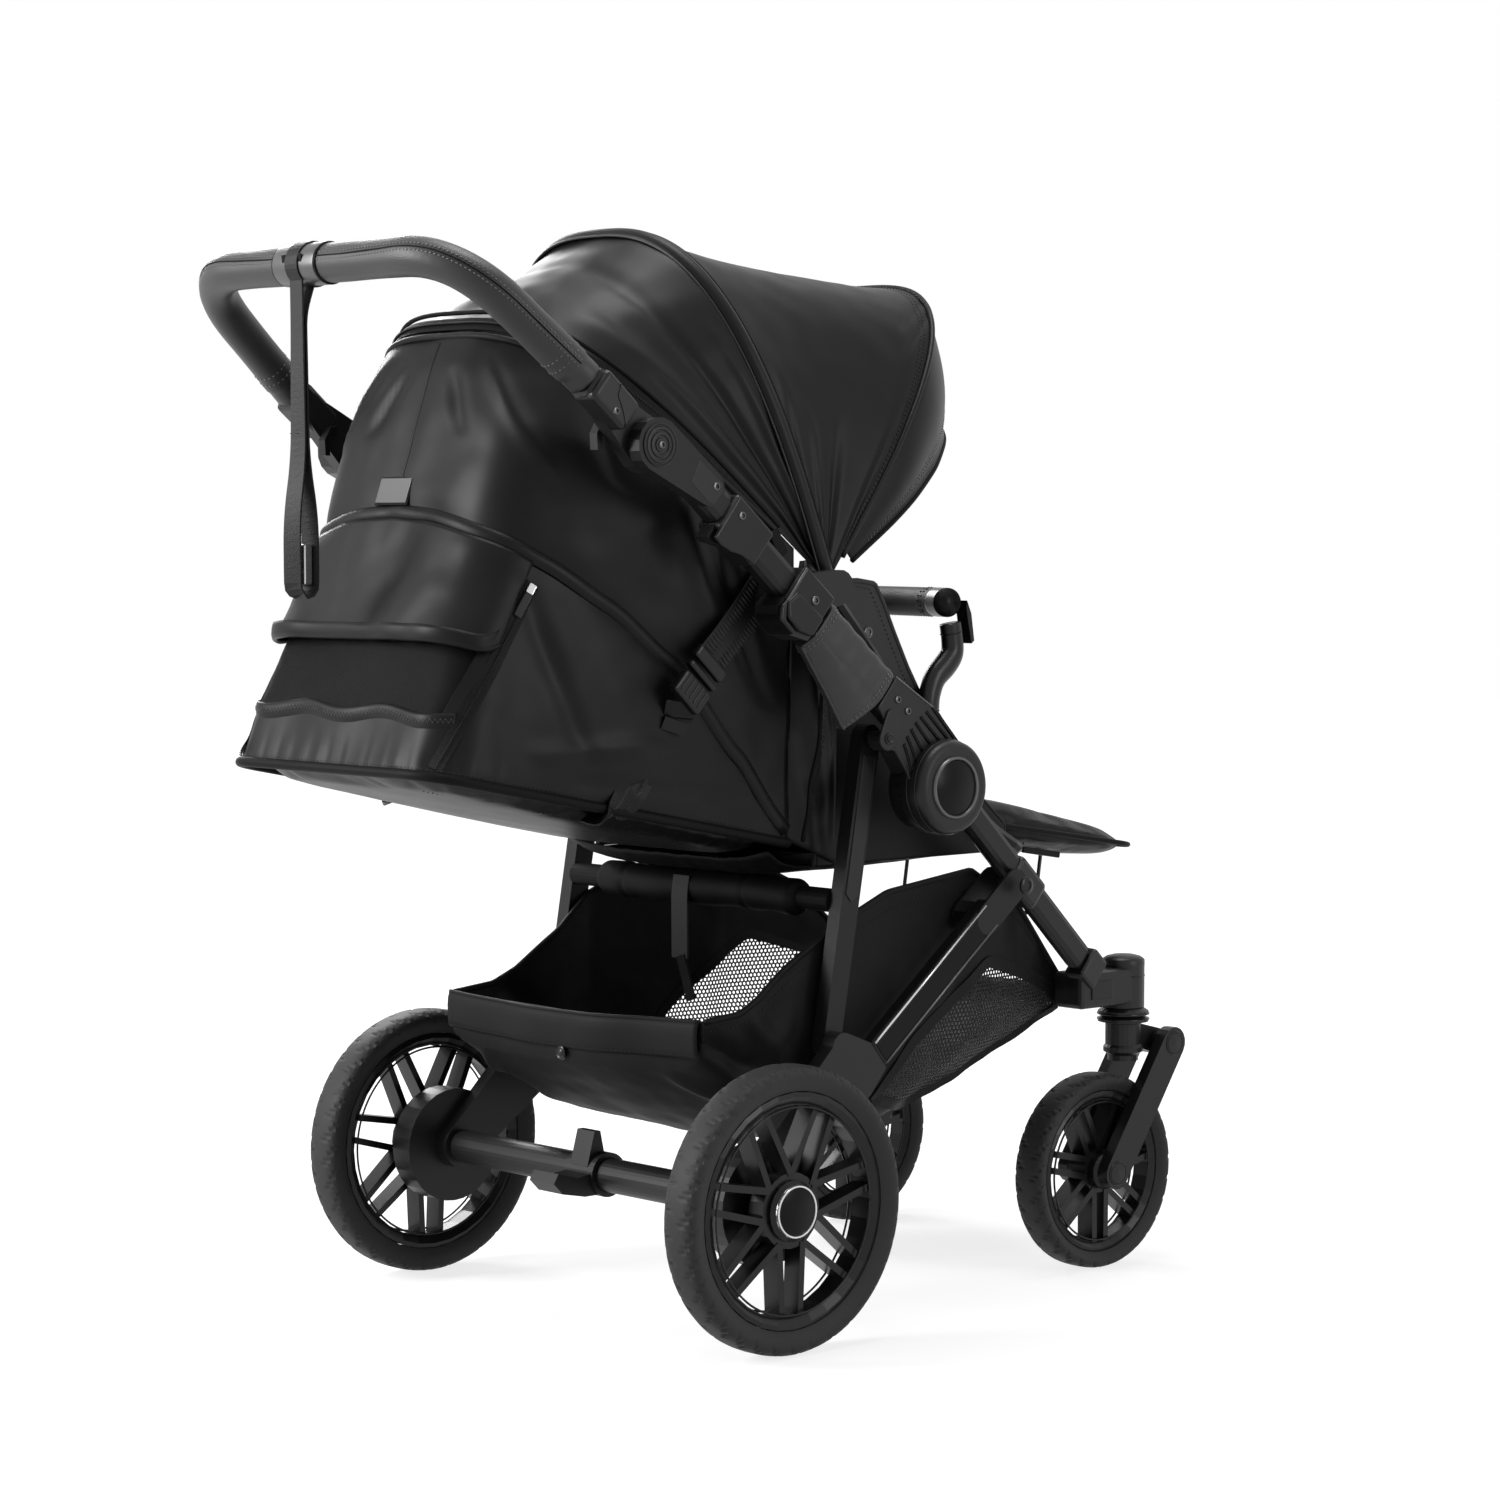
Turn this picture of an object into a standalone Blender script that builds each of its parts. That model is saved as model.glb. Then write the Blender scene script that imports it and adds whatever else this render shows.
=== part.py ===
"""Pram (pushchair) with a reclining seat unit, a folding frame and four wheels.

Metres, +Z up, +Y the way the pram drives, +X its right-hand side.  Heights are above the
ground.  Distances along Y are first measured from the rear axle, and the whole model is then
set back by FOOTPRINT_MIDDLE so that the origin lies under the middle of the pram.
"""
import math

import bmesh
import bpy
from mathutils import Matrix, Vector

# Gaps between pieces
GAP = 0.0004
SLIDE_GAP = 0.0006

# The whole pram
FOOTPRINT_MIDDLE = 0.167

# Rear wheels
REAR_WHEEL_RADIUS = 0.145
REAR_TRACK = 0.5854
REAR_TYRE_WIDTH = 0.043
REAR_TYRE_DEPTH = 0.026
REAR_RIM_DEPTH = 0.013
REAR_RIM_WIDTH = 0.034
REAR_HUB_RADIUS = 0.031
REAR_CAP_STAND = 0.0174

# Front wheels
WHEELBASE = 0.5589
FRONT_WHEEL_RADIUS = 0.1084
FRONT_TRACK = 0.3914
FRONT_TYRE_WIDTH = 0.040
FRONT_TYRE_DEPTH = 0.019
FRONT_RIM_DEPTH = 0.010
FRONT_RIM_WIDTH = 0.030
FRONT_HUB_RADIUS = 0.020

# Both kinds of wheel
SPOKE_PAIRS = 7
SPOKE_WIDTH = 0.0072
SPOKE_THICKNESS = 0.022
SPOKE_SPREAD = math.radians(19.5)
SPOKE_ROOT = 1.28
HUB_WEB = 1.24
WHEEL_STEPS = 40
RIM_STEPS = 32
TYRE_SEAT_GAP = 0.0004

# Rear axle, brake drums and pedal
AXLE_TUBE_RADIUS = 0.018
DRUM_RADIUS = 0.062
DRUM_GAP = 0.0005
PEDAL_X = 0.0
PEDAL_WIDTH = 0.046
PEDAL_WALL = 0.0055

# Side-view pivots of the folding frame, along Y from the rear axle and up from the ground
HUB = (0.253, 0.553)
REAR_LEG_TOP = (0.186, 0.606)
REAR_LEG_FOOT = (0.130, 0.290)
BRACE_TOP = (0.384, 0.441)
BRACE_FOOT = (0.180, 0.277)
HANDLE_HINGE = (-0.135, 0.902)
UPPER_TUBE_TOP = (-0.092, 0.880)
UPPER_TUBE_FOOT = (0.205, 0.626)

# Layers across the frame, as distances from the middle plane
UPPER_TUBE_X = 0.245
UPPER_TUBE_THICK = 0.026
UPPER_TUBE_HEIGHT = 0.034
HUB_RADIUS = 0.048
HUB_FACE_X = 0.281
HUB_SPLIT_X = 0.250
HUB_CORE_RADIUS = 0.046
HUB_CORE_INNER_X = 0.2285
REAR_LEG_X = 0.21625
REAR_LEG_THICK = 0.0175
REAR_LEG_HEIGHT = 0.024
BRACE_THICK = 0.017
BRACE_HEIGHT = 0.032
PIN_RADIUS = 0.006

# Front legs and the clamp that carries the brace
FRONT_LEG_TOP = (0.239, 0.287, 0.548)
FRONT_LEG_FOOT = (0.210, 0.520, 0.347)
FRONT_LEG_HEIGHT = 0.030
FRONT_LEG_THICK = 0.020
CLAMP_WALL = 0.0025
CLAMP_LENGTH = 0.058
CHEEK_THICK = 0.0030
CHEEK_RADIUS = 0.017
BRACE_SETBACK = 0.040

# Casters
CASTER_AXIS_Y = 0.607
CASTER_CYLINDER_RADIUS = 0.0237
CASTER_CYLINDER_TOP = 0.340
CASTER_CYLINDER_FOOT = 0.287
HOUSING_REAR_Y = 0.515
HOUSING_FOOT = 0.292
HOUSING_HEIGHT = 0.040
STEM_RADIUS = 0.0200
STEM_RING_RADIUS = 0.0285
STEM_FOOT_RADIUS = 0.0222
STEM_FOOT = 0.2270
ARM_PIVOT = (0.652, 0.245)
ARM_RADIUS = 0.018
ARM_THICK = 0.014
ARM_PIN_RADIUS = 0.012

# Seat cross tube between the rear legs
SEAT_CROSS_TUBE = (0.150, 0.437)
SEAT_CROSS_TUBE_RADIUS = 0.0125

# Handle
HANDLE_TUBE_RADIUS = 0.0195
HANDLE_REACH = 0.276
HANDLE_START = 0.098
HANDLE_ANGLE = math.radians(139.6)
HANDLE_OFFSET = -0.002
HANDLE_SETIN = 0.005
HANDLE_HALF_WIDTH = UPPER_TUBE_X - HANDLE_SETIN
HANDLE_SHOULDER_X = 0.215
HANDLE_CORNER_RADIUS = 0.065
KNUCKLE_RADIUS = 0.027
KNUCKLE_THICK = 0.034
KNUCKLE_SPLIT = 0.0003
STRAP_DROP = 0.312
STRAP_WIDTH = 0.021
STRAP_THICK = 0.0026
STRAP_X = -0.018

# Sliding and clamped pieces on the upper tube, as distances down from the tube's top end
RELEASE_START = 0.062
RELEASE_LENGTH = 0.062
RELEASE_WALL = 0.0045
ADAPTER_START = 0.176
ADAPTER_LENGTH = 0.052
ADAPTER_WALL = 0.0075
ADAPTER_INNER_X = 0.2033
ADAPTER_LOBE = ((-0.002, -0.018), (-0.003, -0.030), (0.005, -0.041), (0.029, -0.042), (0.0515, -0.031), (0.0515, -0.018))
ADAPTER_LOBE_THICK = 0.034
SLEEVE_START = 0.2315
SLEEVE_LENGTH = 0.1135
SLEEVE_WALL = 0.0055
SLEEVE_FLAP = ((0.0010, -0.018), (0.0030, -0.033), (0.1010, -0.0600), (0.1070, -0.0585), (0.1130, -0.018))
SLEEVE_FLAP_THICK = 0.012

# Seat unit
SEAT_HALF_WIDTH = 0.184
SEAT_WALL_X = 0.1745
SEAT_REAR_Y = 0.150
SEAT_FRONT_Y = 0.436
SEAT_FLOOR = 0.468
SEAT_PAD_THICK = 0.052
SEAT_WALL = 0.009
SEAT_TUBE_RADIUS = 0.006
SEAT_TUBE_X = 0.1969
SEAT_TUBE_MIDDLE = (0.300, 0.575)
SEAT_FRONT_TUBE = (0.4416, 0.472)
RECLINE_AXIS = (0.143, 0.492)
BACKREST_THICK = 0.052
BACKREST_SLOPE = math.radians(11.0)
BACKREST_SETBACK = 0.018
BACKREST_HEAD = 0.42
LEG_REST_BACK = (0.4480, 0.4975)
LEG_REST_LENGTH = 0.258
LEG_REST_HALF_WIDTH = 0.140
LEG_REST_THICK = 0.050
LEG_REST_TIP = 0.42
LEG_REST_SLOPE = math.radians(-9.0)
LEG_REST_STAY_DROP = 0.072

# Bumper bar
BUMPER_JOINT = (0.186, 0.336, 0.742)
BUMPER_BULGE = 0.037
BUMPER_RADIUS = 0.0155
BUMPER_ARM_RADIUS = 0.0110

# Hood: bows about the hood pivot, as angle up from the driving direction, reach and squareness
HOOD_PIVOT = (0.145, 0.765)
HOOD_HALF_WIDTH = 0.2030
HOOD_BOSS_RADIUS = 0.0075
HOOD_INNER_RADIUS = HOOD_BOSS_RADIUS + 0.0020
VISOR_INNER_RADIUS = 0.040
HOOD_SHELL = 0.0022
HOOD_NEST = 0.0065
HOOD_SEAM = 0.15
VISOR_SEAM = 0.35
REAR_BOW = (143.0, 0.420, 3.2)
MAIN_BOW = (110.6, 0.3842, 2.77)
FRONT_BOW = (52.7, 0.4043, 2.98)
VISOR_RIM = (31.0, 0.3533, 2.2)

# Rear skirt between the backrest and the hood's rear bow
SKIRT_FOOT_HALF_WIDTH = 0.175
SKIRT_FOOT_BACK = -0.343
SKIRT_FOOT_CORNER = 0.045
SKIRT_FOOT_HEIGHT = 0.492
SKIRT_FOOT_RISE = 0.195
SKIRT_SHELL = 0.0020
SKIRT_SEAM = 0.5
SKIRT_INNER_RADIUS = 0.060

# Basket stations: along Y, rim height, floor height, half width
BASKET_STATIONS = (
    (-0.047, 0.322, 0.322, 0.184),
    (-0.045, 0.322, 0.268, 0.184),
    (-0.022, 0.324, 0.250, 0.185),
    (0.013, 0.327, 0.224, 0.187),
    (0.047, 0.340, 0.203, 0.189),
    (0.086, 0.364, 0.188, 0.191),
    (0.110, 0.378, 0.187, 0.192),
    (0.165, 0.415, 0.180, 0.2056),
    (0.230, 0.440, 0.178, 0.2030),
    (0.360, 0.455, 0.217, 0.1980),
    (0.450, 0.410, 0.245, 0.1820),
    (0.500, 0.362, 0.264, 0.1690),
    (0.540, 0.315, 0.283, 0.1660),
    (0.554, 0.312, 0.312, 0.1600),
)
BASKET_WALL = 0.0030

# Colours
BLACK_CLOTH = (0.018, 0.018, 0.019, 1.0)
BLACK_PLASTIC = (0.030, 0.030, 0.031, 1.0)
DARK_METAL = (0.045, 0.045, 0.047, 1.0)
BLACK_LEATHER = (0.040, 0.040, 0.042, 1.0)
BLACK_RUBBER = (0.026, 0.026, 0.027, 1.0)

# Turns a flat outline drawn in XY so that it stands in the pram's side view
SIDE_ON = Matrix(((0, 0, 1), (1, 0, 0), (0, 1, 0)))

SIDES = (("left", -1), ("right", 1))

pram = bpy.data.collections.new("pram")
cutters = bpy.data.collections.new("cutters")
pivots = {}


def clear_scene():
    for item in list(bpy.data.objects):
        bpy.data.objects.remove(item, do_unlink=True)
    bpy.context.scene.collection.children.link(pram)
    bpy.context.scene.collection.children.link(cutters)


def add_pivot(body, parent, point):
    """An empty on the axis that a body turns or slides on."""
    empty = bpy.data.objects.new("axis_" + body, None)
    empty.empty_display_size = 0.03
    pram.objects.link(empty)
    if parent is None:
        empty.location = (point[0], point[1] - FOOTPRINT_MIDDLE, point[2])
    else:
        empty.parent = pivots[parent][0]
        empty.location = Vector(point) - pivots[parent][1]
    pivots[body] = (empty, Vector(point))


def give_finish(item, colour, roughness, metallic=0.0):
    finish = bpy.data.materials.new(item.name + "_finish")
    finish.use_nodes = True
    shader = finish.node_tree.nodes["Principled BSDF"]
    shader.inputs["Base Color"].default_value = colour
    shader.inputs["Roughness"].default_value = roughness
    shader.inputs["Metallic"].default_value = metallic
    item.data.materials.clear()
    item.data.materials.append(finish)


FINISHES = {
    "cloth": (BLACK_CLOTH, 0.9, 0.0),
    "plastic": (BLACK_PLASTIC, 0.5, 0.0),
    "metal": (DARK_METAL, 0.35, 0.8),
    "leather": (BLACK_LEATHER, 0.6, 0.0),
    "rubber": (BLACK_RUBBER, 0.75, 0.0),
}


def keep(item, name, body, finish):
    """Name a finished piece, hang it on its body's empty and give it its finish."""
    item.name = name
    item.data.name = name
    for owner in list(item.users_collection):
        owner.objects.unlink(item)
    pram.objects.link(item)
    empty, point = pivots[body]
    item.parent = empty
    item.matrix_parent_inverse = Matrix.Translation(-point)
    give_finish(item, *FINISHES[finish])
    return item


def as_cutter(item):
    for owner in list(item.users_collection):
        owner.objects.unlink(item)
    cutters.objects.link(item)
    item.location.y -= FOOTPRINT_MIDDLE
    item.hide_render = True
    item.display_type = "WIRE"
    return item


def combine(item, other, operation):
    """Boolean of a piece with a second shape, which becomes a cutter or a guide."""
    step = item.modifiers.new(operation.lower(), "BOOLEAN")
    step.operation = operation
    step.solver = "EXACT"
    step.object = as_cutter(other)
    return item


def mesh_item(name, shape):
    data = bpy.data.meshes.new(name)
    shape.to_mesh(data)
    shape.free()
    item = bpy.data.objects.new(name, data)
    bpy.context.scene.collection.objects.link(item)
    return item


def block(centre, size, bevel=0.0, turn=None, segments=2):
    """A box with rounded edges; turn is a 3 x 3 matrix of its own axes."""
    shape = bmesh.new()
    bmesh.ops.create_cube(shape, size=1.0)
    bmesh.ops.scale(shape, vec=size, verts=shape.verts)
    item = mesh_item("block", shape)
    item.location = centre
    if turn is not None:
        item.rotation_euler = turn.to_euler()
    if bevel > 0.0:
        rounding = item.modifiers.new("rounding", "BEVEL")
        rounding.width = bevel
        rounding.segments = segments
    return item


def along(start, end, up=(1, 0, 0)):
    """Axes of a bar from start to end: Z runs along it and X stays near the given direction."""
    z = (Vector(end) - Vector(start)).normalized()
    x = (Vector(up) - Vector(up).dot(z) * z).normalized()
    y = z.cross(x)
    return Matrix((x, y, z)).transposed()


def bar(start, end, thick, height, bevel):
    """A straight flat-oval bar; thick is across the pram, height is in its side view."""
    start, end = Vector(start), Vector(end)
    return block((start + end) / 2, (thick, height, (end - start).length), bevel, along(start, end))


def rod(start, end, radius, sides=20):
    """A round rod between two points."""
    start, end = Vector(start), Vector(end)
    shape = bmesh.new()
    bmesh.ops.create_cone(
        shape, cap_ends=True, segments=sides, radius1=radius, radius2=radius,
        depth=(end - start).length,
    )
    item = mesh_item("rod", shape)
    item.location = (start + end) / 2
    item.rotation_euler = along(start, end, (0, 1, 0) if abs((end - start).x) > 1e-6 else (1, 0, 0)).to_euler()
    return item


def outline_item(points, middle_x, thick):
    """A flat plate: an outline of (y, z) points standing in the side view, as a mesh."""
    curve = bpy.data.curves.new("plate", "CURVE")
    curve.dimensions = "2D"
    curve.fill_mode = "BOTH"
    curve.extrude = thick / 2
    spline = curve.splines.new("POLY")
    spline.points.add(len(points) - 1)
    for point, (y, z) in zip(spline.points, points):
        point.co = (y, z, 0, 1)
    spline.use_cyclic_u = True
    item = bpy.data.objects.new("plate", curve)
    bpy.context.scene.collection.objects.link(item)
    item.location.x = middle_x
    item.rotation_euler = SIDE_ON.to_euler()
    return curve_to_mesh(item)


def curve_to_mesh(item):
    """A curve as a welded mesh object in the same place."""
    bpy.context.view_layer.update()
    evaluated = item.evaluated_get(bpy.context.evaluated_depsgraph_get())
    data = bpy.data.meshes.new_from_object(evaluated)
    shape = bmesh.new()
    shape.from_mesh(data)
    bmesh.ops.remove_doubles(shape, verts=shape.verts, dist=0.00002)
    bmesh.ops.recalc_face_normals(shape, faces=shape.faces)
    shape.to_mesh(data)
    shape.free()
    solid = bpy.data.objects.new("solid", data)
    bpy.context.scene.collection.objects.link(solid)
    solid.matrix_world = item.matrix_world
    bpy.data.objects.remove(item, do_unlink=True)
    return solid


def arc(centre, radius, start, end, steps):
    """Points (y, z) of an arc, angles in degrees."""
    points = []
    for i in range(steps + 1):
        angle = math.radians(start + (end - start) * i / steps)
        points.append((centre[0] + radius * math.cos(angle), centre[1] + radius * math.sin(angle)))
    return points


def heading(start, end):
    return math.degrees(math.atan2(end[1] - start[1], end[0] - start[0]))


def capsule(start, end, start_radius, end_radius, steps=8):
    """Outline of an arm with a round end about each of two points."""
    angle = heading(start, end)
    return arc(start, start_radius, angle + 90, angle + 270, steps) + arc(
        end, end_radius, angle - 90, angle + 90, steps
    )


def tube(points, radius, resolution=2):
    """A round tube along points."""
    curve = bpy.data.curves.new("tube", "CURVE")
    curve.dimensions = "3D"
    curve.bevel_depth = radius
    curve.bevel_resolution = resolution
    curve.use_fill_caps = True
    spline = curve.splines.new("POLY")
    spline.points.add(len(points) - 1)
    for point, place in zip(spline.points, points):
        point.co = (*place, 1)
    item = bpy.data.objects.new("tube", curve)
    bpy.context.scene.collection.objects.link(item)
    return item


def smooth_path(points, reach, steps=5):
    """Points with each inner corner rounded by an arc-like curve that starts reach from it."""
    points = [Vector(p) for p in points]
    path = [points[0]]
    for before, corner, after in zip(points, points[1:], points[2:]):
        a = corner + (before - corner).normalized() * min(reach, (before - corner).length * 0.48)
        b = corner + (after - corner).normalized() * min(reach, (after - corner).length * 0.48)
        for i in range(steps + 1):
            t = i / steps
            path.append((1 - t) ** 2 * a + 2 * t * (1 - t) * corner + t * t * b)
    path.append(points[-1])
    return path


def turned(profile, centre, steps=WHEEL_STEPS, upright=False):
    """A turned piece: (radius, offset) points, about X through centre, or about Z if upright."""
    shape = bmesh.new()
    dots = [shape.verts.new((r, 0, h)) for r, h in profile]
    for a, b in zip(dots, dots[1:]):
        shape.edges.new((a, b))
    if profile[0][0] > 0.0:
        shape.edges.new((dots[-1], dots[0]))
    item = mesh_item("turned", shape)
    screw = item.modifiers.new("turn", "SCREW")
    screw.angle = 2 * math.pi
    screw.steps = steps
    screw.render_steps = steps
    screw.use_merge_vertices = True
    screw.merge_threshold = 0.00005
    screw.use_normal_calculate = True
    item.location = centre
    if not upright:
        item.rotation_euler = (0, math.pi / 2, 0)
    return item


def applied(item):
    """The same piece with its modifiers applied, as a plain closed mesh facing outwards."""
    bpy.context.view_layer.update()
    evaluated = item.evaluated_get(bpy.context.evaluated_depsgraph_get())
    data = bpy.data.meshes.new_from_object(evaluated)
    shape = bmesh.new()
    shape.from_mesh(data)
    bmesh.ops.remove_doubles(shape, verts=shape.verts, dist=0.00002)
    bmesh.ops.recalc_face_normals(shape, faces=shape.faces)
    shape.to_mesh(data)
    shape.free()
    solid = bpy.data.objects.new("solid", data)
    bpy.context.scene.collection.objects.link(solid)
    solid.matrix_world = item.matrix_world
    bpy.data.objects.remove(item, do_unlink=True)
    return solid


def loft_sheet(rings, thick, offset=-1.0):
    """An open sheet through rings of equal numbers of points, thickened by Solidify."""
    shape = bmesh.new()
    rows = [[shape.verts.new(p) for p in ring] for ring in rings]
    for row, after in zip(rows, rows[1:]):
        for a, b, c, d in zip(row, row[1:], after[1:], after):
            shape.faces.new((a, b, c, d))
    bmesh.ops.recalc_face_normals(shape, faces=shape.faces)
    item = mesh_item("sheet", shape)
    shell = item.modifiers.new("shell", "SOLIDIFY")
    shell.thickness = thick
    shell.offset = offset
    return item


def smooth(item, angle=35.0):
    if item.type == "MESH":
        item.data.shade_smooth()
        item.data.set_sharp_from_angle(angle=math.radians(angle))
    return item


def wheel_shapes(radius, tyre_width, tyre_depth, rim_depth, rim_width, hub_radius, hub_from, hub_to, side):
    """Outlines of a tyre and a rim as (radius, offset across) points."""
    seat = radius - tyre_depth
    half = tyre_width / 2
    lip = rim_width / 2
    tyre = [
        (seat + TYRE_SEAT_GAP, -lip * 0.9), (radius - 0.45 * tyre_depth, -half), (radius, -half * 0.5),
        (radius, half * 0.5), (radius - 0.45 * tyre_depth, half), (seat + TYRE_SEAT_GAP, lip * 0.9),
    ]
    rim = [
        (seat, lip * 0.9), (seat - 0.35 * rim_depth, lip), (seat - rim_depth, lip * 0.7),
        (seat - rim_depth, -lip * 0.7), (seat - 0.35 * rim_depth, -lip), (seat, -lip * 0.9),
    ]
    web = hub_radius * HUB_WEB
    deep = SPOKE_THICKNESS / 2 - 0.001
    hub = [
        (0.0, hub_to), (hub_radius * 0.86, hub_to), (hub_radius, hub_to - 0.004), (hub_radius, deep),
        (web, deep), (web, -deep), (hub_radius, -deep), (hub_radius, hub_from + 0.002),
        (hub_radius * 0.9, hub_from), (0.0, hub_from),
    ]
    return tyre, rim, [(r, side * h) for r, h in hub]


def add_wheel(name, body, centre, side, radius, tyre_width, tyre_depth, rim_depth, rim_width,
              hub_radius, hub_from, hub_to):
    """Tyre, and a rim whose spokes leave the hub in pairs that spread towards the rim."""
    tyre, rim, hub = wheel_shapes(
        radius, tyre_width, tyre_depth, rim_depth, rim_width, hub_radius, hub_from, hub_to, side,
    )
    tyre_item = applied(turned(tyre, centre))
    keep(smooth(tyre_item), name + "_tyre", body, "rubber")
    ring = applied(turned(rim, centre, steps=RIM_STEPS))
    combine(ring, applied(turned(hub, centre, steps=20)), "UNION")
    reach = radius - tyre_depth - rim_depth * 0.6
    for i in range(SPOKE_PAIRS):
        for lean in (-1, 1):
            root = 2 * math.pi * i / SPOKE_PAIRS + math.pi / 2
            tip = root + lean * SPOKE_SPREAD
            inner = hub_radius * SPOKE_ROOT - SPOKE_WIDTH / 2
            start = (centre[0], centre[1] + inner * math.cos(root), centre[2] + inner * math.sin(root))
            end = (centre[0], centre[1] + reach * math.cos(tip), centre[2] + reach * math.sin(tip))
            combine(ring, bar(start, end, SPOKE_THICKNESS, SPOKE_WIDTH, 0.0), "UNION")
    keep(smooth(ring), name + "_rim", body, "plastic")


def tube_direction():
    start = Vector((0.0, *UPPER_TUBE_TOP))
    end = Vector((0.0, *UPPER_TUBE_FOOT))
    return (end - start).normalized()


def on_tube(distance, x=UPPER_TUBE_X, side=1):
    """A point on the upper tube's middle line, a distance down from its top end."""
    point = Vector((0.0, *UPPER_TUBE_TOP)) + tube_direction() * distance
    return Vector((side * x, point.y, point.z))


def tube_sleeve(side, start, length, wall, bevel, gap):
    """A hollow sleeve round the upper tube."""
    a, b = on_tube(start, side=side), on_tube(start + length, side=side)
    outer = bar(a, b, UPPER_TUBE_THICK + 2 * wall, UPPER_TUBE_HEIGHT + 2 * wall, bevel)
    reach = tube_direction() * 0.02
    inner = bar(a - reach, b + reach, UPPER_TUBE_THICK + 2 * gap, UPPER_TUBE_HEIGHT + 2 * gap, 0.008)
    return combine(outer, inner, "DIFFERENCE")


def below_tube(side, start, outline, thick):
    """A plate under the upper tube: its outline runs along the tube from start, and across it."""
    down = tube_direction()
    across = Vector((0, -down.z, down.y))
    points = [on_tube(start + a) + across * w for a, w in outline]
    return outline_item([(p.y, p.z) for p in points], side * UPPER_TUBE_X, thick)


def add_front_frame():
    """Front legs with their hub cores, brace clamps and caster housings."""
    for side_name, side in SIDES:
        top = Vector((side * FRONT_LEG_TOP[0], *FRONT_LEG_TOP[1:]))
        foot = Vector((side * FRONT_LEG_FOOT[0], *FRONT_LEG_FOOT[1:]))
        core = rod((side * HUB_CORE_INNER_X, *HUB), (side * (HUB_SPLIT_X - GAP), *HUB), HUB_CORE_RADIUS, 28)
        leg = combine(core, bar(top, foot, FRONT_LEG_THICK, FRONT_LEG_HEIGHT, 0.007), "UNION")
        keep(smooth(leg), "front_leg_" + side_name, "chassis", "metal")

        t = (top.z - BRACE_TOP[1]) / (top.z - foot.z)
        middle = top.lerp(foot, t)
        half = (foot - top).normalized() * CLAMP_LENGTH / 2
        clamp = bar(middle - half, middle + half, FRONT_LEG_THICK + 2 * CLAMP_WALL,
                    FRONT_LEG_HEIGHT + 2 * CLAMP_WALL, 0.006)
        room = bar(middle - 2 * half, middle + 2 * half, FRONT_LEG_THICK + 2 * GAP,
                   FRONT_LEG_HEIGHT + 2 * GAP, 0.007)
        keep(combine(clamp, room, "DIFFERENCE"), "brace_clamp_" + side_name, "chassis", "plastic")

        x = side * FRONT_TRACK / 2
        width = 2 * CASTER_CYLINDER_RADIUS - 0.004
        box_length = CASTER_AXIS_Y - HOUSING_REAR_Y
        housing = block(
            (x, HOUSING_REAR_Y + box_length / 2, HOUSING_FOOT + HOUSING_HEIGHT / 2),
            (width, box_length, HOUSING_HEIGHT), 0.005,
        )
        combine(housing, rod((x, CASTER_AXIS_Y, CASTER_CYLINDER_FOOT), (x, CASTER_AXIS_Y, CASTER_CYLINDER_TOP),
                             CASTER_CYLINDER_RADIUS, 28), "UNION")
        reach = (foot - top).normalized()
        combine(housing, bar(foot + reach * GAP, foot + reach * 0.030, FRONT_LEG_THICK + 0.007,
                             FRONT_LEG_HEIGHT + 0.008, 0.004), "UNION")
        keep(housing, "caster_housing_" + side_name, "chassis", "plastic")


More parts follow.
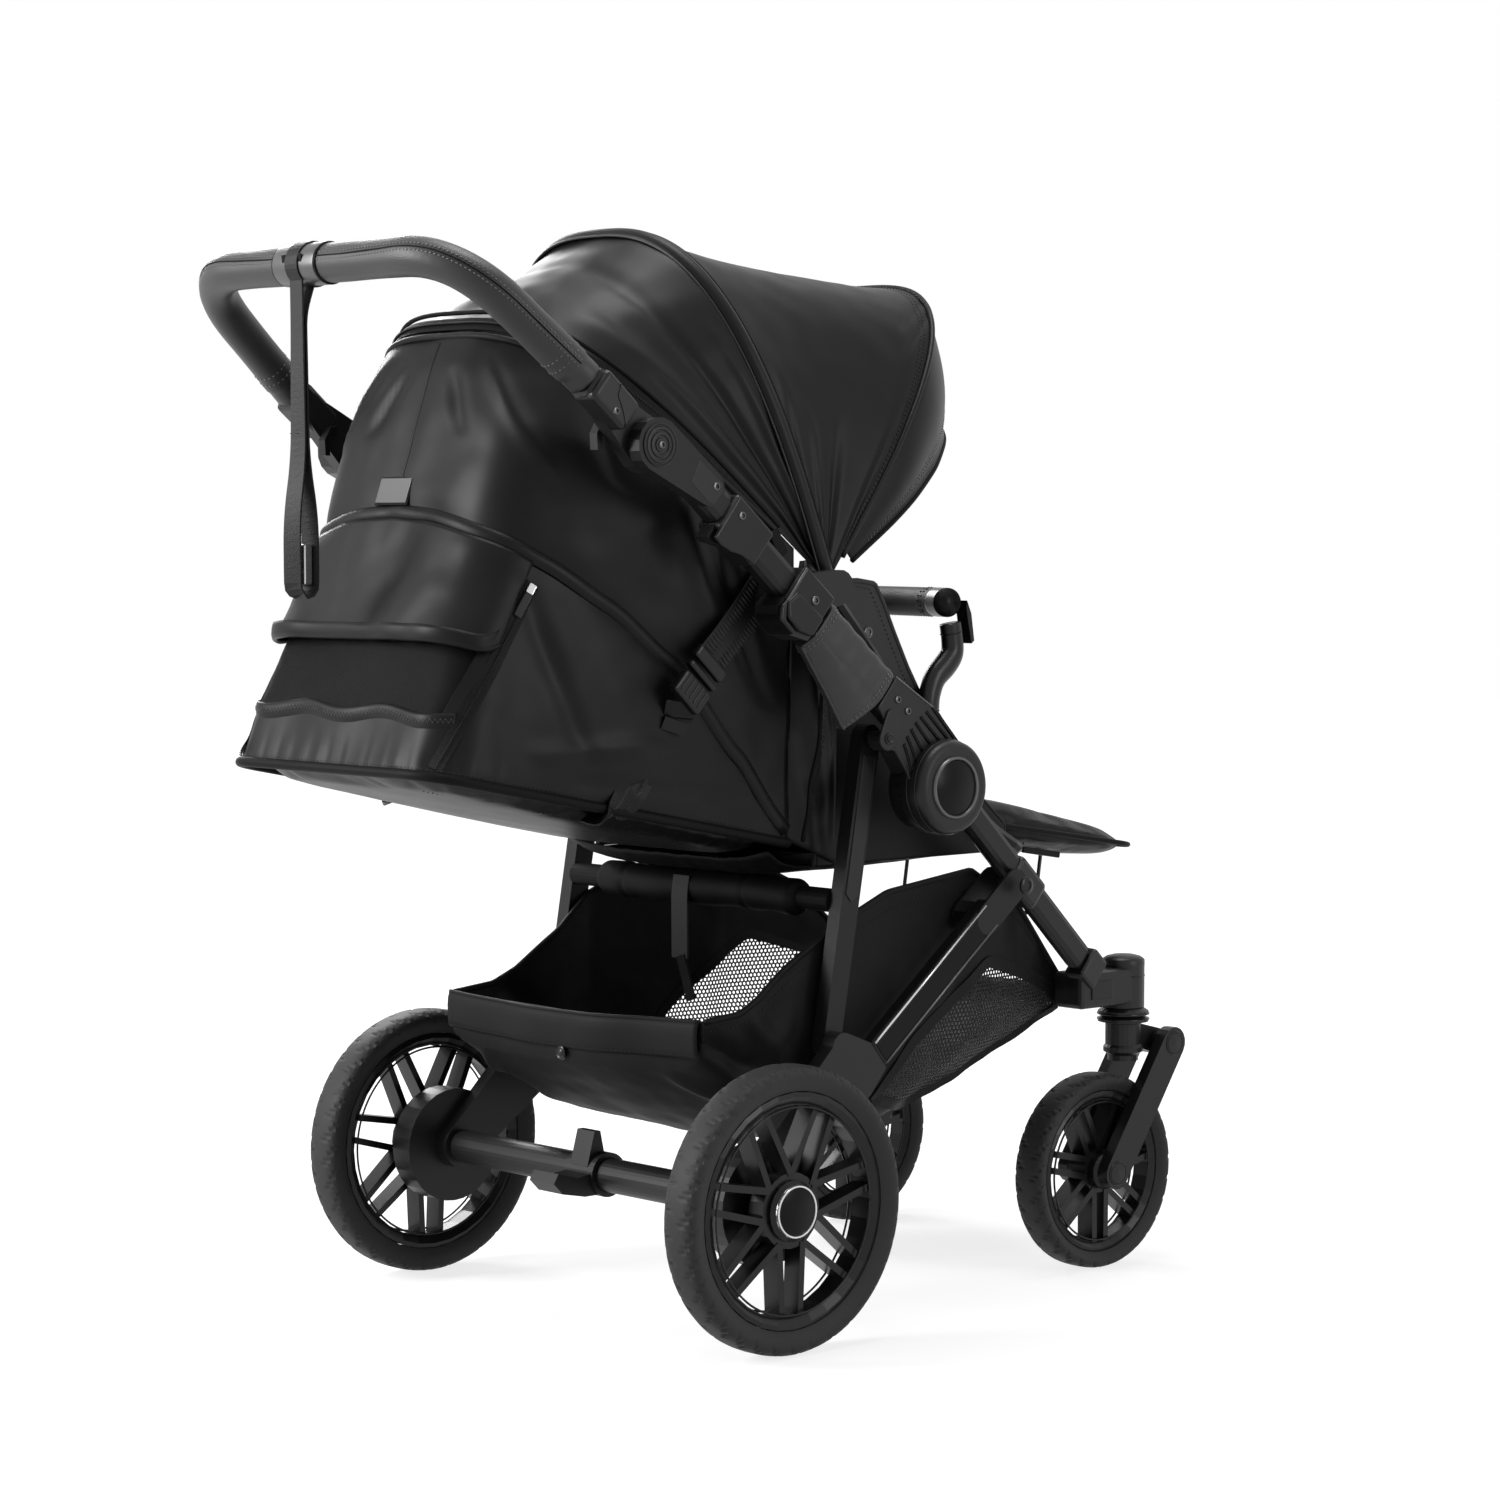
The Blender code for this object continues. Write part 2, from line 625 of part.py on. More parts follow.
def add_casters():
    """Swivelling stems with their rings, the sprung arms and the front wheels."""
    for side_name, side in SIDES:
        x = side * FRONT_TRACK / 2
        body = "caster_" + side_name
        top = CASTER_CYLINDER_FOOT - GAP
        profile = [
            (0.0, top), (0.0225, top), (STEM_RING_RADIUS, top - 0.004), (STEM_RING_RADIUS, top - 0.007),
            (0.0235, top - 0.010), (STEM_RING_RADIUS, top - 0.013), (STEM_RING_RADIUS, top - 0.016),
            (STEM_RADIUS, top - 0.018), (STEM_RADIUS, STEM_FOOT + 0.018), (STEM_FOOT_RADIUS, STEM_FOOT + 0.015),
            (STEM_FOOT_RADIUS, STEM_FOOT + 0.010), (0.017, STEM_FOOT + 0.006), (0.017, STEM_FOOT), (0.0, STEM_FOOT),
        ]
        stem = applied(turned(profile, (x, CASTER_AXIS_Y, 0.0), steps=24, upright=True))
        lug = outline_item(capsule((CASTER_AXIS_Y, ARM_PIVOT[1] + 0.014), ARM_PIVOT, 0.012, 0.0145), x, 0.022)
        combine(stem, lug, "UNION")
        keep(smooth(stem), "caster_stem_" + side_name, body, "plastic")

        arm_x = FRONT_TYRE_WIDTH / 2 + 0.003 + ARM_THICK / 2
        arm = outline_item(capsule(ARM_PIVOT, (WHEELBASE, FRONT_WHEEL_RADIUS), ARM_RADIUS, ARM_RADIUS), x + side * arm_x,
                           ARM_THICK)
        combine(arm, outline_item(capsule(ARM_PIVOT, (WHEELBASE, FRONT_WHEEL_RADIUS), ARM_RADIUS, ARM_RADIUS),
                                  x - side * arm_x, ARM_THICK), "UNION")
        room = 0.011 + SLIDE_GAP
        for way in (-1, 1):
            combine(arm, rod((x + way * room, *ARM_PIVOT), (x + way * (arm_x + 0.002), *ARM_PIVOT), ARM_PIN_RADIUS, 16),
                    "UNION")
        combine(arm, rod((x - arm_x, *ARM_PIVOT), (x + arm_x, *ARM_PIVOT), 0.004, 10), "UNION")
        bore = rod((x - 0.012, *ARM_PIVOT), (x + 0.012, *ARM_PIVOT), 0.0045, 12)
        combine(stem, bore, "DIFFERENCE")
        keep(smooth(arm), "fork_" + side_name, "fork_" + side_name, "plastic")

        hub_half = FRONT_TYRE_WIDTH / 2 + 0.003 - GAP
        add_wheel("front_wheel_" + side_name, "front_wheel_" + side_name, (x, WHEELBASE, FRONT_WHEEL_RADIUS), side,
                  FRONT_WHEEL_RADIUS, FRONT_TYRE_WIDTH, FRONT_TYRE_DEPTH, FRONT_RIM_DEPTH, FRONT_RIM_WIDTH,
                  FRONT_HUB_RADIUS, -hub_half, hub_half)


def add_rear_frame():
    """Braces, axle carriers with brake drums, the axle tube, pedal and rear wheels."""
    brace_x = REAR_LEG_X + REAR_LEG_THICK / 2 + GAP + BRACE_THICK / 2
    top, foot = Vector((0, *BRACE_TOP)), Vector((0, *BRACE_FOOT))
    down = (foot - top).normalized()
    across = Vector((0, -down.z, down.y))
    leg_top, leg_foot = Vector(FRONT_LEG_TOP), Vector(FRONT_LEG_FOOT)
    t = (leg_top.z - BRACE_TOP[1]) / (leg_top.z - leg_foot.z)
    clamp_x = leg_top.lerp(leg_foot, t).x
    lean = abs(leg_top.x - leg_foot.x) / (leg_foot - leg_top).length * CHEEK_RADIUS * 2.2
    clamp_half = FRONT_LEG_THICK / 2 + CLAMP_WALL + lean + SLIDE_GAP
    for side_name, side in SIDES:
        offset = Vector((side * brace_x, 0, 0))
        start = top + down * BRACE_SETBACK
        brace = bar(start + offset, foot - down * GAP + offset, BRACE_THICK, BRACE_HEIGHT, 0.003)
        for way in (-1, 1):
            cheek_x = side * (clamp_x + way * (clamp_half + CHEEK_THICK / 2))
            end = top + down * (BRACE_SETBACK + 0.014)
            combine(brace, outline_item(capsule(BRACE_TOP, (end.y, end.z), CHEEK_RADIUS, CHEEK_RADIUS), cheek_x,
                                        CHEEK_THICK), "UNION")
        near = top + down * (BRACE_SETBACK + 0.004)
        far = top + down * (BRACE_SETBACK + 0.020)
        lift = Vector((side * clamp_x, 0, 0))
        combine(brace, bar(near + lift, far + lift, 2 * clamp_half + CHEEK_THICK, 2 * CHEEK_RADIUS - 0.006, 0.0),
                "UNION")
        keep(brace, "brace_" + side_name, "rear_frame", "metal")

        edge = BRACE_HEIGHT / 2 + 0.002
        upper, lower = foot + across * edge, foot - across * edge
        if upper.z < lower.z:
            upper, lower = lower, upper
        outline = (
            arc(REAR_LEG_FOOT, 0.015, 70, 175, 6)
            + arc((0.0, REAR_WHEEL_RADIUS), 0.024, 140, 300, 8)
            + [(lower.y - 0.022, lower.z - 0.026), (lower.y, lower.z), (upper.y, upper.z)]
        )
        outline.reverse()
        carrier = outline_item(outline, side * brace_x, BRACE_THICK)
        wheel_x = REAR_TRACK / 2
        hub_start = -REAR_TYRE_WIDTH / 2 - 0.001
        drum_face = wheel_x + hub_start - DRUM_GAP
        drum_back = brace_x + BRACE_THICK / 2 - 0.002
        combine(carrier, rod((side * drum_back, 0, REAR_WHEEL_RADIUS), (side * drum_face, 0, REAR_WHEEL_RADIUS),
                             DRUM_RADIUS, 32), "UNION")
        keep(smooth(carrier), "axle_carrier_" + side_name, "rear_frame", "plastic")

        add_wheel("rear_wheel_" + side_name, "rear_wheel_" + side_name, (side * wheel_x, 0, REAR_WHEEL_RADIUS), side,
                  REAR_WHEEL_RADIUS, REAR_TYRE_WIDTH, REAR_TYRE_DEPTH, REAR_RIM_DEPTH, REAR_RIM_WIDTH,
                  REAR_HUB_RADIUS, hub_start, REAR_CAP_STAND)
    inner = brace_x - BRACE_THICK / 2 - GAP
    axle = rod((-inner, 0, REAR_WHEEL_RADIUS), (inner, 0, REAR_WHEEL_RADIUS), AXLE_TUBE_RADIUS, 28)
    keep(smooth(axle), "rear_axle", "rear_frame", "metal")

    centre = (0.0, REAR_WHEEL_RADIUS)
    half = PEDAL_WIDTH / 2
    sleeve = rod((PEDAL_X - half, *centre), (PEDAL_X + half, *centre), AXLE_TUBE_RADIUS + PEDAL_WALL, 28)
    toe = outline_item(
        [(0.0, centre[1] + 0.006), (-0.040, centre[1] + 0.001), (-0.066, centre[1] + 0.008),
         (-0.072, centre[1] - 0.002), (-0.060, centre[1] - 0.014), (-0.030, centre[1] - 0.020), (0.0, centre[1] - 0.020)][::-1],
        PEDAL_X, PEDAL_WIDTH - 0.006)
    paddle = outline_item(
        [(0.004, centre[1] + 0.010), (-0.004, centre[1] + 0.046), (-0.012, centre[1] + 0.046), (-0.022, centre[1] + 0.010)],
        PEDAL_X, PEDAL_WIDTH - 0.018)
    bore = rod((PEDAL_X - 0.05, *centre), (PEDAL_X + 0.05, *centre), AXLE_TUBE_RADIUS + SLIDE_GAP, 28)
    combine(sleeve, toe, "UNION")
    combine(sleeve, paddle, "UNION")
    combine(sleeve, bore, "DIFFERENCE")
    keep(smooth(sleeve), "brake_pedal", "brake_pedal", "plastic")


def add_rear_legs():
    """Rear legs, each with its top pin, and the padded cross tube under the seat."""
    leg_outer = REAR_LEG_X + REAR_LEG_THICK / 2
    bracket_inner = UPPER_TUBE_X - UPPER_TUBE_THICK / 2
    for side_name, side in SIDES:
        half = REAR_LEG_HEIGHT / 2
        leg = outline_item(capsule(REAR_LEG_TOP, REAR_LEG_FOOT, half + 0.001, half), side * REAR_LEG_X, REAR_LEG_THICK)
        combine(leg, rod((side * REAR_LEG_X, *REAR_LEG_TOP), (side * (bracket_inner - GAP), *REAR_LEG_TOP),
                         PIN_RADIUS, 14), "UNION")
        keep(leg, "rear_leg_" + side_name, "rear_legs", "metal")
    inner = leg_outer - REAR_LEG_THICK - GAP
    cross = rod((-inner, *SEAT_CROSS_TUBE), (inner, *SEAT_CROSS_TUBE), SEAT_CROSS_TUBE_RADIUS, 20)
    keep(smooth(cross), "seat_cross_tube", "rear_legs", "cloth")


def add_upper_frame():
    """Hub brackets, upper tubes with their lower knuckles, sleeves, adapters and releases."""
    down = tube_direction()
    for side_name, side in SIDES:
        inner = UPPER_TUBE_X - UPPER_TUBE_THICK / 2
        outer = UPPER_TUBE_X + UPPER_TUBE_THICK / 2
        edge = UPPER_TUBE_HEIGHT / 2 + 0.001
        across = Vector((0, -down.z, down.y))
        end = Vector((0, *UPPER_TUBE_FOOT)) + down * GAP
        high, low = end + across * edge, end - across * edge
        outline = [
            (high.y, high.z), (low.y, low.z),
            *arc(REAR_LEG_TOP, 0.0135, 150, 285, 6),
            *arc(HUB, HUB_RADIUS - 0.004, 165, 60, 6),
        ]
        plate = outline_item(outline[::-1], side * (inner + outer + 0.004) / 2, UPPER_TUBE_THICK + 0.004)
        pocket = rod((side * (inner - 0.02), *HUB), (side * HUB_SPLIT_X, *HUB), HUB_CORE_RADIUS + 0.0015, 28)
        combine(plate, pocket, "DIFFERENCE")
        disc = applied(turned(
            [(0.0, side * HUB_FACE_X), (HUB_RADIUS - 0.004, side * HUB_FACE_X),
             (HUB_RADIUS, side * (HUB_FACE_X - 0.004)), (HUB_RADIUS, side * HUB_SPLIT_X), (0.0, side * HUB_SPLIT_X)],
            (0, *HUB), steps=32))
        combine(plate, disc, "UNION")
        keep(smooth(plate), "hub_bracket_" + side_name, "upper_frame", "plastic")

        reach = (Vector((0, *UPPER_TUBE_FOOT)) - Vector((0, *UPPER_TUBE_TOP))).length
        upper = bar(on_tube(0.0, side=side), on_tube(reach, side=side), UPPER_TUBE_THICK, UPPER_TUBE_HEIGHT, 0.008)
        knuckle_x = UPPER_TUBE_X + KNUCKLE_THICK / 4 + KNUCKLE_SPLIT / 2
        centre = on_tube(0.030)
        knuckle = outline_item(capsule(HANDLE_HINGE, (centre.y, centre.z), KNUCKLE_RADIUS, UPPER_TUBE_HEIGHT / 2 + 0.001),
                               side * knuckle_x, KNUCKLE_THICK / 2 - KNUCKLE_SPLIT / 2)
        combine(upper, knuckle, "UNION")
        keep(smooth(upper), "upper_tube_" + side_name, "upper_frame", "metal")

        sleeve = tube_sleeve(side, SLEEVE_START, SLEEVE_LENGTH, SLEEVE_WALL, 0.009, GAP)
        combine(sleeve, below_tube(side, SLEEVE_START, SLEEVE_FLAP, SLEEVE_FLAP_THICK), "UNION")
        keep(sleeve, "leather_sleeve_" + side_name, "upper_frame", "leather")

        adapter = tube_sleeve(side, ADAPTER_START, ADAPTER_LENGTH, ADAPTER_WALL, 0.005, GAP)
        lug_half = (inner - SLEEVE_WALL - GAP - ADAPTER_INNER_X) / 2
        spot = on_tube(ADAPTER_START + ADAPTER_LENGTH / 2)
        lug = outline_item(capsule((spot.y, spot.z), (HOOD_PIVOT[0] - 0.004, HOOD_PIVOT[1] - 0.004), 0.024, 0.018),
                           side * (ADAPTER_INNER_X + lug_half), 2 * lug_half)
        combine(adapter, lug, "UNION")
        combine(adapter, below_tube(side, ADAPTER_START, ADAPTER_LOBE, ADAPTER_LOBE_THICK), "UNION")
        keep(adapter, "adapter_" + side_name, "upper_frame", "plastic")

        release = tube_sleeve(side, RELEASE_START, RELEASE_LENGTH, RELEASE_WALL, 0.004, SLIDE_GAP)
        hook_top, hook_foot = on_tube(RELEASE_START), on_tube(RELEASE_START + RELEASE_LENGTH * 0.8)
        below = across * -(UPPER_TUBE_HEIGHT / 2 + SLIDE_GAP + 0.001)
        deep = across * -(UPPER_TUBE_HEIGHT / 2 + RELEASE_WALL + 0.013)
        corners = [hook_top + below, hook_top + deep, hook_top + deep + down * 0.008,
                   hook_top + below * 1.25 + down * 0.030, hook_foot + below]
        trigger = outline_item([(c.y, c.z) for c in corners], side * UPPER_TUBE_X, UPPER_TUBE_THICK * 0.7)
        combine(release, trigger, "UNION")
        keep(release, "fold_release_" + side_name, "fold_release_" + side_name, "plastic")


def handle_point(x, reach):
    """A point of the handle plane: x across, reach out from the hinge axis."""
    away = Vector((0, math.cos(HANDLE_ANGLE), math.sin(HANDLE_ANGLE)))
    normal = Vector((0, -away.z, away.y)) * -1
    point = Vector((0, *HANDLE_HINGE)) + away * reach + normal * HANDLE_OFFSET
    return Vector((x, point.y, point.z))


def add_handle():
    """Leather-wrapped bar, upper knuckles, tilt levers and the wrist strap."""
    corners = [
        handle_point(HANDLE_HALF_WIDTH, HANDLE_START), handle_point(HANDLE_SHOULDER_X, HANDLE_REACH),
        handle_point(-HANDLE_SHOULDER_X, HANDLE_REACH), handle_point(-HANDLE_HALF_WIDTH, HANDLE_START),
    ]
    path = smooth_path(corners, HANDLE_CORNER_RADIUS * 1.25, 7)
    keep(tube(path, HANDLE_TUBE_RADIUS, 3), "handle_bar", "handle", "leather")
    for side_name, side in SIDES:
        end = handle_point(HANDLE_HALF_WIDTH, HANDLE_START)
        inner_x = UPPER_TUBE_X - KNUCKLE_THICK / 4 - KNUCKLE_SPLIT / 2
        knuckle = outline_item(
            capsule(HANDLE_HINGE, (handle_point(0, 0.055).y, handle_point(0, 0.055).z), KNUCKLE_RADIUS, 0.017),
            side * inner_x, KNUCKLE_THICK / 2 - KNUCKLE_SPLIT / 2)
        neck = handle_point(UPPER_TUBE_X * side, 0.058)
        tip = Vector((side * HANDLE_HALF_WIDTH, end.y, end.z))
        reach = (tip - neck).normalized()
        combine(knuckle, bar(neck, tip - reach * GAP, 0.030, 0.034, 0.006), "UNION")
        keep(knuckle, "handle_knuckle_" + side_name, "handle", "plastic")

        lever_axis = tilt_lever_axis()
        lever = outline_item(
            [(lever_axis[0] + dy, lever_axis[1] + dz) for dy, dz in
             ((0.004, 0.005), (-0.005, 0.004), (-0.013, -0.010), (-0.012, -0.026), (-0.006, -0.026),
              (-0.006, -0.012), (0.003, -0.005))],
            side * (UPPER_TUBE_X - KNUCKLE_THICK / 2 - 0.006), 0.011)
        keep(lever, "tilt_lever_" + side_name, "tilt_lever_" + side_name, "plastic")

    top = handle_point(STRAP_X, HANDLE_REACH)
    loop = HANDLE_TUBE_RADIUS + GAP
    half = STRAP_WIDTH / 2
    ring = outline_item(arc((top.y, top.z), loop + STRAP_THICK, 0, 345, 23)[::1] + arc((top.y, top.z), loop, 345, 0, 23),
                        STRAP_X, STRAP_WIDTH)
    tail_y = top.y
    tail_top = top.z - loop - STRAP_THICK / 2
    tail = block((STRAP_X, tail_y, tail_top - STRAP_DROP / 2), (STRAP_WIDTH, STRAP_THICK * 2.4, STRAP_DROP), 0.0)
    combine(ring, tail, "UNION")
    keep(ring, "wrist_strap", "wrist_strap", "cloth")


def tilt_lever_axis():
    point = handle_point(0, 0.066)
    return (point.y + 0.014, point.z - 0.020)


def seat_wall_outline():
    """Side wall of the seat in side view: pan, front edge, wing and the edge by the hood pivot."""
    return [
        (SEAT_REAR_Y, SEAT_FLOOR), (SEAT_FRONT_Y, SEAT_FLOOR), (SEAT_FRONT_Y, SEAT_FLOOR + 0.030),
        (0.375, 0.552), (0.305, 0.632), (0.258, 0.712), (0.232, 0.762), (0.200, 0.760), (0.160, 0.700), (SEAT_REAR_Y, 0.560),
    ]


def add_seat():
    """Seat tube, padded seat with side walls, harness buckle, backrest and leg rest."""
    x = SEAT_TUBE_X
    half_path = [(x, *HOOD_PIVOT), (x, 0.215, 0.690), (x, *SEAT_TUBE_MIDDLE), (x, 0.395, 0.497),
                 (x, *SEAT_FRONT_TUBE)]
    corners = half_path + [(-px, py, pz) for px, py, pz in half_path[::-1]]
    frame = curve_to_mesh(tube(smooth_path(corners, 0.016, 3), SEAT_TUBE_RADIUS, 1))
    for side in (-1, 1):
        boss = rod((side * (x - SEAT_TUBE_RADIUS), *HOOD_PIVOT), (side * (x + SEAT_TUBE_RADIUS), *HOOD_PIVOT),
                   HOOD_BOSS_RADIUS, 16)
        combine(frame, boss, "UNION")
    keep(smooth(frame), "seat_frame", "seat", "metal")

    middle_y = (SEAT_REAR_Y + SEAT_FRONT_Y - 0.006) / 2
    size = (2 * SEAT_HALF_WIDTH, SEAT_FRONT_Y - 0.006 - SEAT_REAR_Y, SEAT_PAD_THICK)
    level = Matrix.Identity(3)
    pan = applied(cushion((0, middle_y, SEAT_FLOOR + SEAT_PAD_THICK / 2), size, level, 0.8, 1.0, 1.0))
    for side in (-1, 1):
        wall = outline_item([(y, z) for y, z in seat_wall_outline()[::-1]], side * SEAT_WALL_X, SEAT_WALL)
        combine(pan, wall, "UNION")
    keep(pan, "seat_base", "seat", "cloth")

    buckle = block((0, 0.300, SEAT_FLOOR + SEAT_PAD_THICK + GAP + 0.012), (0.052, 0.058, 0.024), 0.007)
    keep(buckle, "harness_buckle", "seat", "plastic")

    back = Vector((0, -math.cos(BACKREST_SLOPE), math.sin(BACKREST_SLOPE)))
    up = Vector((0, math.sin(BACKREST_SLOPE), math.cos(BACKREST_SLOPE)))
    turn = Matrix((Vector((1, 0, 0)), back * -1, up)).transposed()
    inset = SKIRT_SHELL + GAP
    length = (RECLINE_AXIS[0] - SKIRT_FOOT_BACK - 3 * inset) / math.cos(BACKREST_SLOPE) - BACKREST_SETBACK
    centre = Vector((0, *RECLINE_AXIS)) + back * (length / 2 + BACKREST_SETBACK)
    size = (2 * (SKIRT_FOOT_HALF_WIDTH - inset), length, BACKREST_THICK)
    keep(cushion(centre, size, turn, 0.75, BACKREST_HEAD, 1.0), "backrest", "backrest", "cloth")

    out = Vector((0, math.cos(LEG_REST_SLOPE), math.sin(LEG_REST_SLOPE)))
    up = Vector((0, -out.z, out.y))
    turn = Matrix((Vector((1, 0, 0)), out, up)).transposed()
    centre = Vector((0, *LEG_REST_BACK)) + out * LEG_REST_LENGTH / 2
    size = (2 * LEG_REST_HALF_WIDTH, LEG_REST_LENGTH, LEG_REST_THICK)
    keep(cushion(centre, size, turn, 0.95, 1.22, LEG_REST_TIP), "leg_rest", "leg_rest", "cloth")
    stay_top = Vector((0, *LEG_REST_BACK)) + out * 0.125 - up * (LEG_REST_THICK * 0.395)
    rail = 0.75 * LEG_REST_HALF_WIDTH
    drop = up * -LEG_REST_STAY_DROP
    wire = [
        Vector((rail, 0, 0)) + stay_top, Vector((rail, 0, 0)) + stay_top + drop,
        Vector((-rail, 0, 0)) + stay_top + drop, Vector((-rail, 0, 0)) + stay_top,
    ]
    keep(tube(smooth_path(wire, 0.012, 3), 0.0022), "leg_rest_stay", "leg_rest", "metal")


def cushion(centre, size, turn, edge, back, front):
    """A crowned pad: its rim is thinner than its middle, and it tapers from back to front."""
    shape = bmesh.new()
    bmesh.ops.create_cube(shape, size=1.0)
    bmesh.ops.subdivide_edges(shape, edges=shape.edges, cuts=2, use_grid_fill=True)
    for vert in shape.verts:
        rim = max(abs(vert.co.x), abs(vert.co.y)) > 0.45
        taper = back + (front - back) * (vert.co.y + 0.5)
        vert.co.x *= size[0]
        vert.co.y *= size[1]
        vert.co.z *= size[2] * (edge if rim else 1.0) * taper
    item = mesh_item("cushion", shape)
    item.location = centre
    item.rotation_euler = turn.to_euler()
    rounding = item.modifiers.new("rounding", "SUBSURF")
    rounding.levels = 1
    rounding.render_levels = 1
    return smooth(item, 60)


def bumper_foot():
    """Two (y, z) points on the line along which a bumper arm meets the seat tube square on."""
    upper, lower = Vector((0.215, 0.690)), Vector(SEAT_TUBE_MIDDLE)
    run = (lower - upper).normalized()
    square = Vector((-run.y, run.x))
    spot = lower - run * 0.0255
    return spot + square * (SEAT_TUBE_RADIUS * 0.93 + GAP), spot + square * 0.0215


def add_bumper():
    """Leather bumper bar between two S-shaped arms, and its release latches."""
    jx, jy, jz = BUMPER_JOINT
    path = []
    steps = 14
    for i in range(steps + 1):
        x = jx * (1 - 2 * i / steps)
        path.append(Vector((x, jy + BUMPER_BULGE * (1 - (x / jx) ** 2), jz)))
    keep(tube(path, BUMPER_RADIUS, 3), "bumper_bar", "bumper", "leather")
    for side_name, side in SIDES:
        arm_x = side * (HOOD_HALF_WIDTH - BUMPER_ARM_RADIUS - 0.0005)
        top = jz - BUMPER_RADIUS - GAP * 2
        foot = bumper_foot()
        points = [(arm_x, *foot[0]), (arm_x, *foot[1]), (arm_x, 0.306, 0.629), (arm_x, 0.322, 0.652), (arm_x, 0.350, 0.680),
                  (arm_x, 0.340, 0.706), (arm_x, 0.3355, top - 0.004), (arm_x, 0.3350, top)]
        keep(tube(smooth_path(points, 0.012, 2), BUMPER_ARM_RADIUS), "bumper_arm_" + side_name, "seat", "plastic")
        latch = outline_item(
            [(0.3557, 0.7440), (0.3622, 0.7300), (0.3667, 0.7010), (0.3627, 0.6980), (0.3572, 0.7220), (0.3547, 0.7360)],
            side * (jx + 0.002), 0.016)
        keep(latch, "bumper_latch_" + side_name, "bumper_latch_" + side_name, "plastic")


def bow(angle, reach, square, nest=0.0, start=0.0, steps=14):
    """Points of a U-shaped bow about the hood pivot, from the right side over to the left."""
    points = []
    reach = reach - nest
    first = math.asin((start / reach) ** (square / 2))
    turn = math.radians(angle)
    for i in range(steps + 1):
        t = first + (math.pi - 2 * first) * i / steps
        x = (HOOD_HALF_WIDTH - nest) * math.copysign(abs(math.cos(t)) ** (2 / square), math.cos(t))
        out = reach * abs(math.sin(t)) ** (2 / square)
        points.append(Vector((x, HOOD_PIVOT[0] + out * math.cos(turn), HOOD_PIVOT[1] + out * math.sin(turn))))
    return points


def hood_shell(back, front, nest, steps, seam=HOOD_SEAM, start=HOOD_INNER_RADIUS):
    """Cloth stretched between two bows."""
    a = bow(back[0] - seam, back[1], back[2], nest, start)
    b = bow(front[0] + HOOD_SEAM, front[1], front[2], nest, start)
    rings = [[p.lerp(q, i / steps) for p, q in zip(a, b)] for i in range(steps + 1)]
    return smooth(loft_sheet(rings, HOOD_SHELL), 60)


def add_hood():
    """Hood cloth between its bows, and the skirt that hangs from the rear one."""
    keep(hood_shell(REAR_BOW, MAIN_BOW, 0.0, 4), "hood_rear", "seat", "cloth")
    keep(hood_shell(MAIN_BOW, FRONT_BOW, HOOD_NEST, 6), "hood_main", "hood", "cloth")
    keep(hood_shell(FRONT_BOW, VISOR_RIM, HOOD_NEST, 3, VISOR_SEAM, VISOR_INNER_RADIUS), "hood_visor", "hood", "cloth")

    top = bow(REAR_BOW[0] + SKIRT_SEAM, REAR_BOW[1], REAR_BOW[2], 0.0, SKIRT_INNER_RADIUS)
    foot = []
    for p in rounded_u(SKIRT_FOOT_HALF_WIDTH, RECLINE_AXIS[0] - 0.030, SKIRT_FOOT_BACK, SKIRT_FOOT_CORNER, len(top)):
        foot.append(Vector((p[0], p[1], SKIRT_FOOT_HEIGHT - SKIRT_FOOT_RISE * (p[1] - RECLINE_AXIS[0]))))
    rings = [[a.lerp(b, i / 5) for a, b in zip(foot, top)] for i in range(6)]
    keep(smooth(loft_sheet(rings, SKIRT_SHELL), 60), "rear_skirt", "seat", "cloth")


def rounded_u(half_width, front, back, corner, count):
    """Evenly spaced points (x, y) round three sides of a rectangle, from its right front end."""
    side = front - (back + corner)
    bend = corner * math.pi / 2
    across = 2 * (half_width - corner)
    total = 2 * side + 2 * bend + across
    points = []
    for i in range(count):
        s = total * min(i, count - 1 - i) / (count - 1)
        if s < side:
            x, y = half_width, front - s
        elif s < side + bend:
            t = (s - side) / corner
            x, y = half_width - corner + corner * math.cos(t), back + corner - corner * math.sin(t)
        else:
            x, y = half_width - corner - (s - side - bend), back
        points.append((x if i <= (count - 1) / 2 else -x, y))
    return points


def add_basket():
    """Open shopping basket: a sheet through U-shaped stations, closed by its end walls."""
    rings = []
    steps = 10
    for y, rim, floor, half in BASKET_STATIONS:
        ring = []
        for i in range(steps + 1):
            t = math.pi * i / steps
            x = half * math.copysign(abs(math.cos(t)) ** 0.35, math.cos(t))
            z = rim + (floor - rim) * abs(math.sin(t)) ** 0.35
            ring.append(Vector((x, y, z)))
        rings.append(ring)
    keep(smooth(loft_sheet(rings, BASKET_WALL, offset=0.0), 60), "basket", "chassis", "cloth")


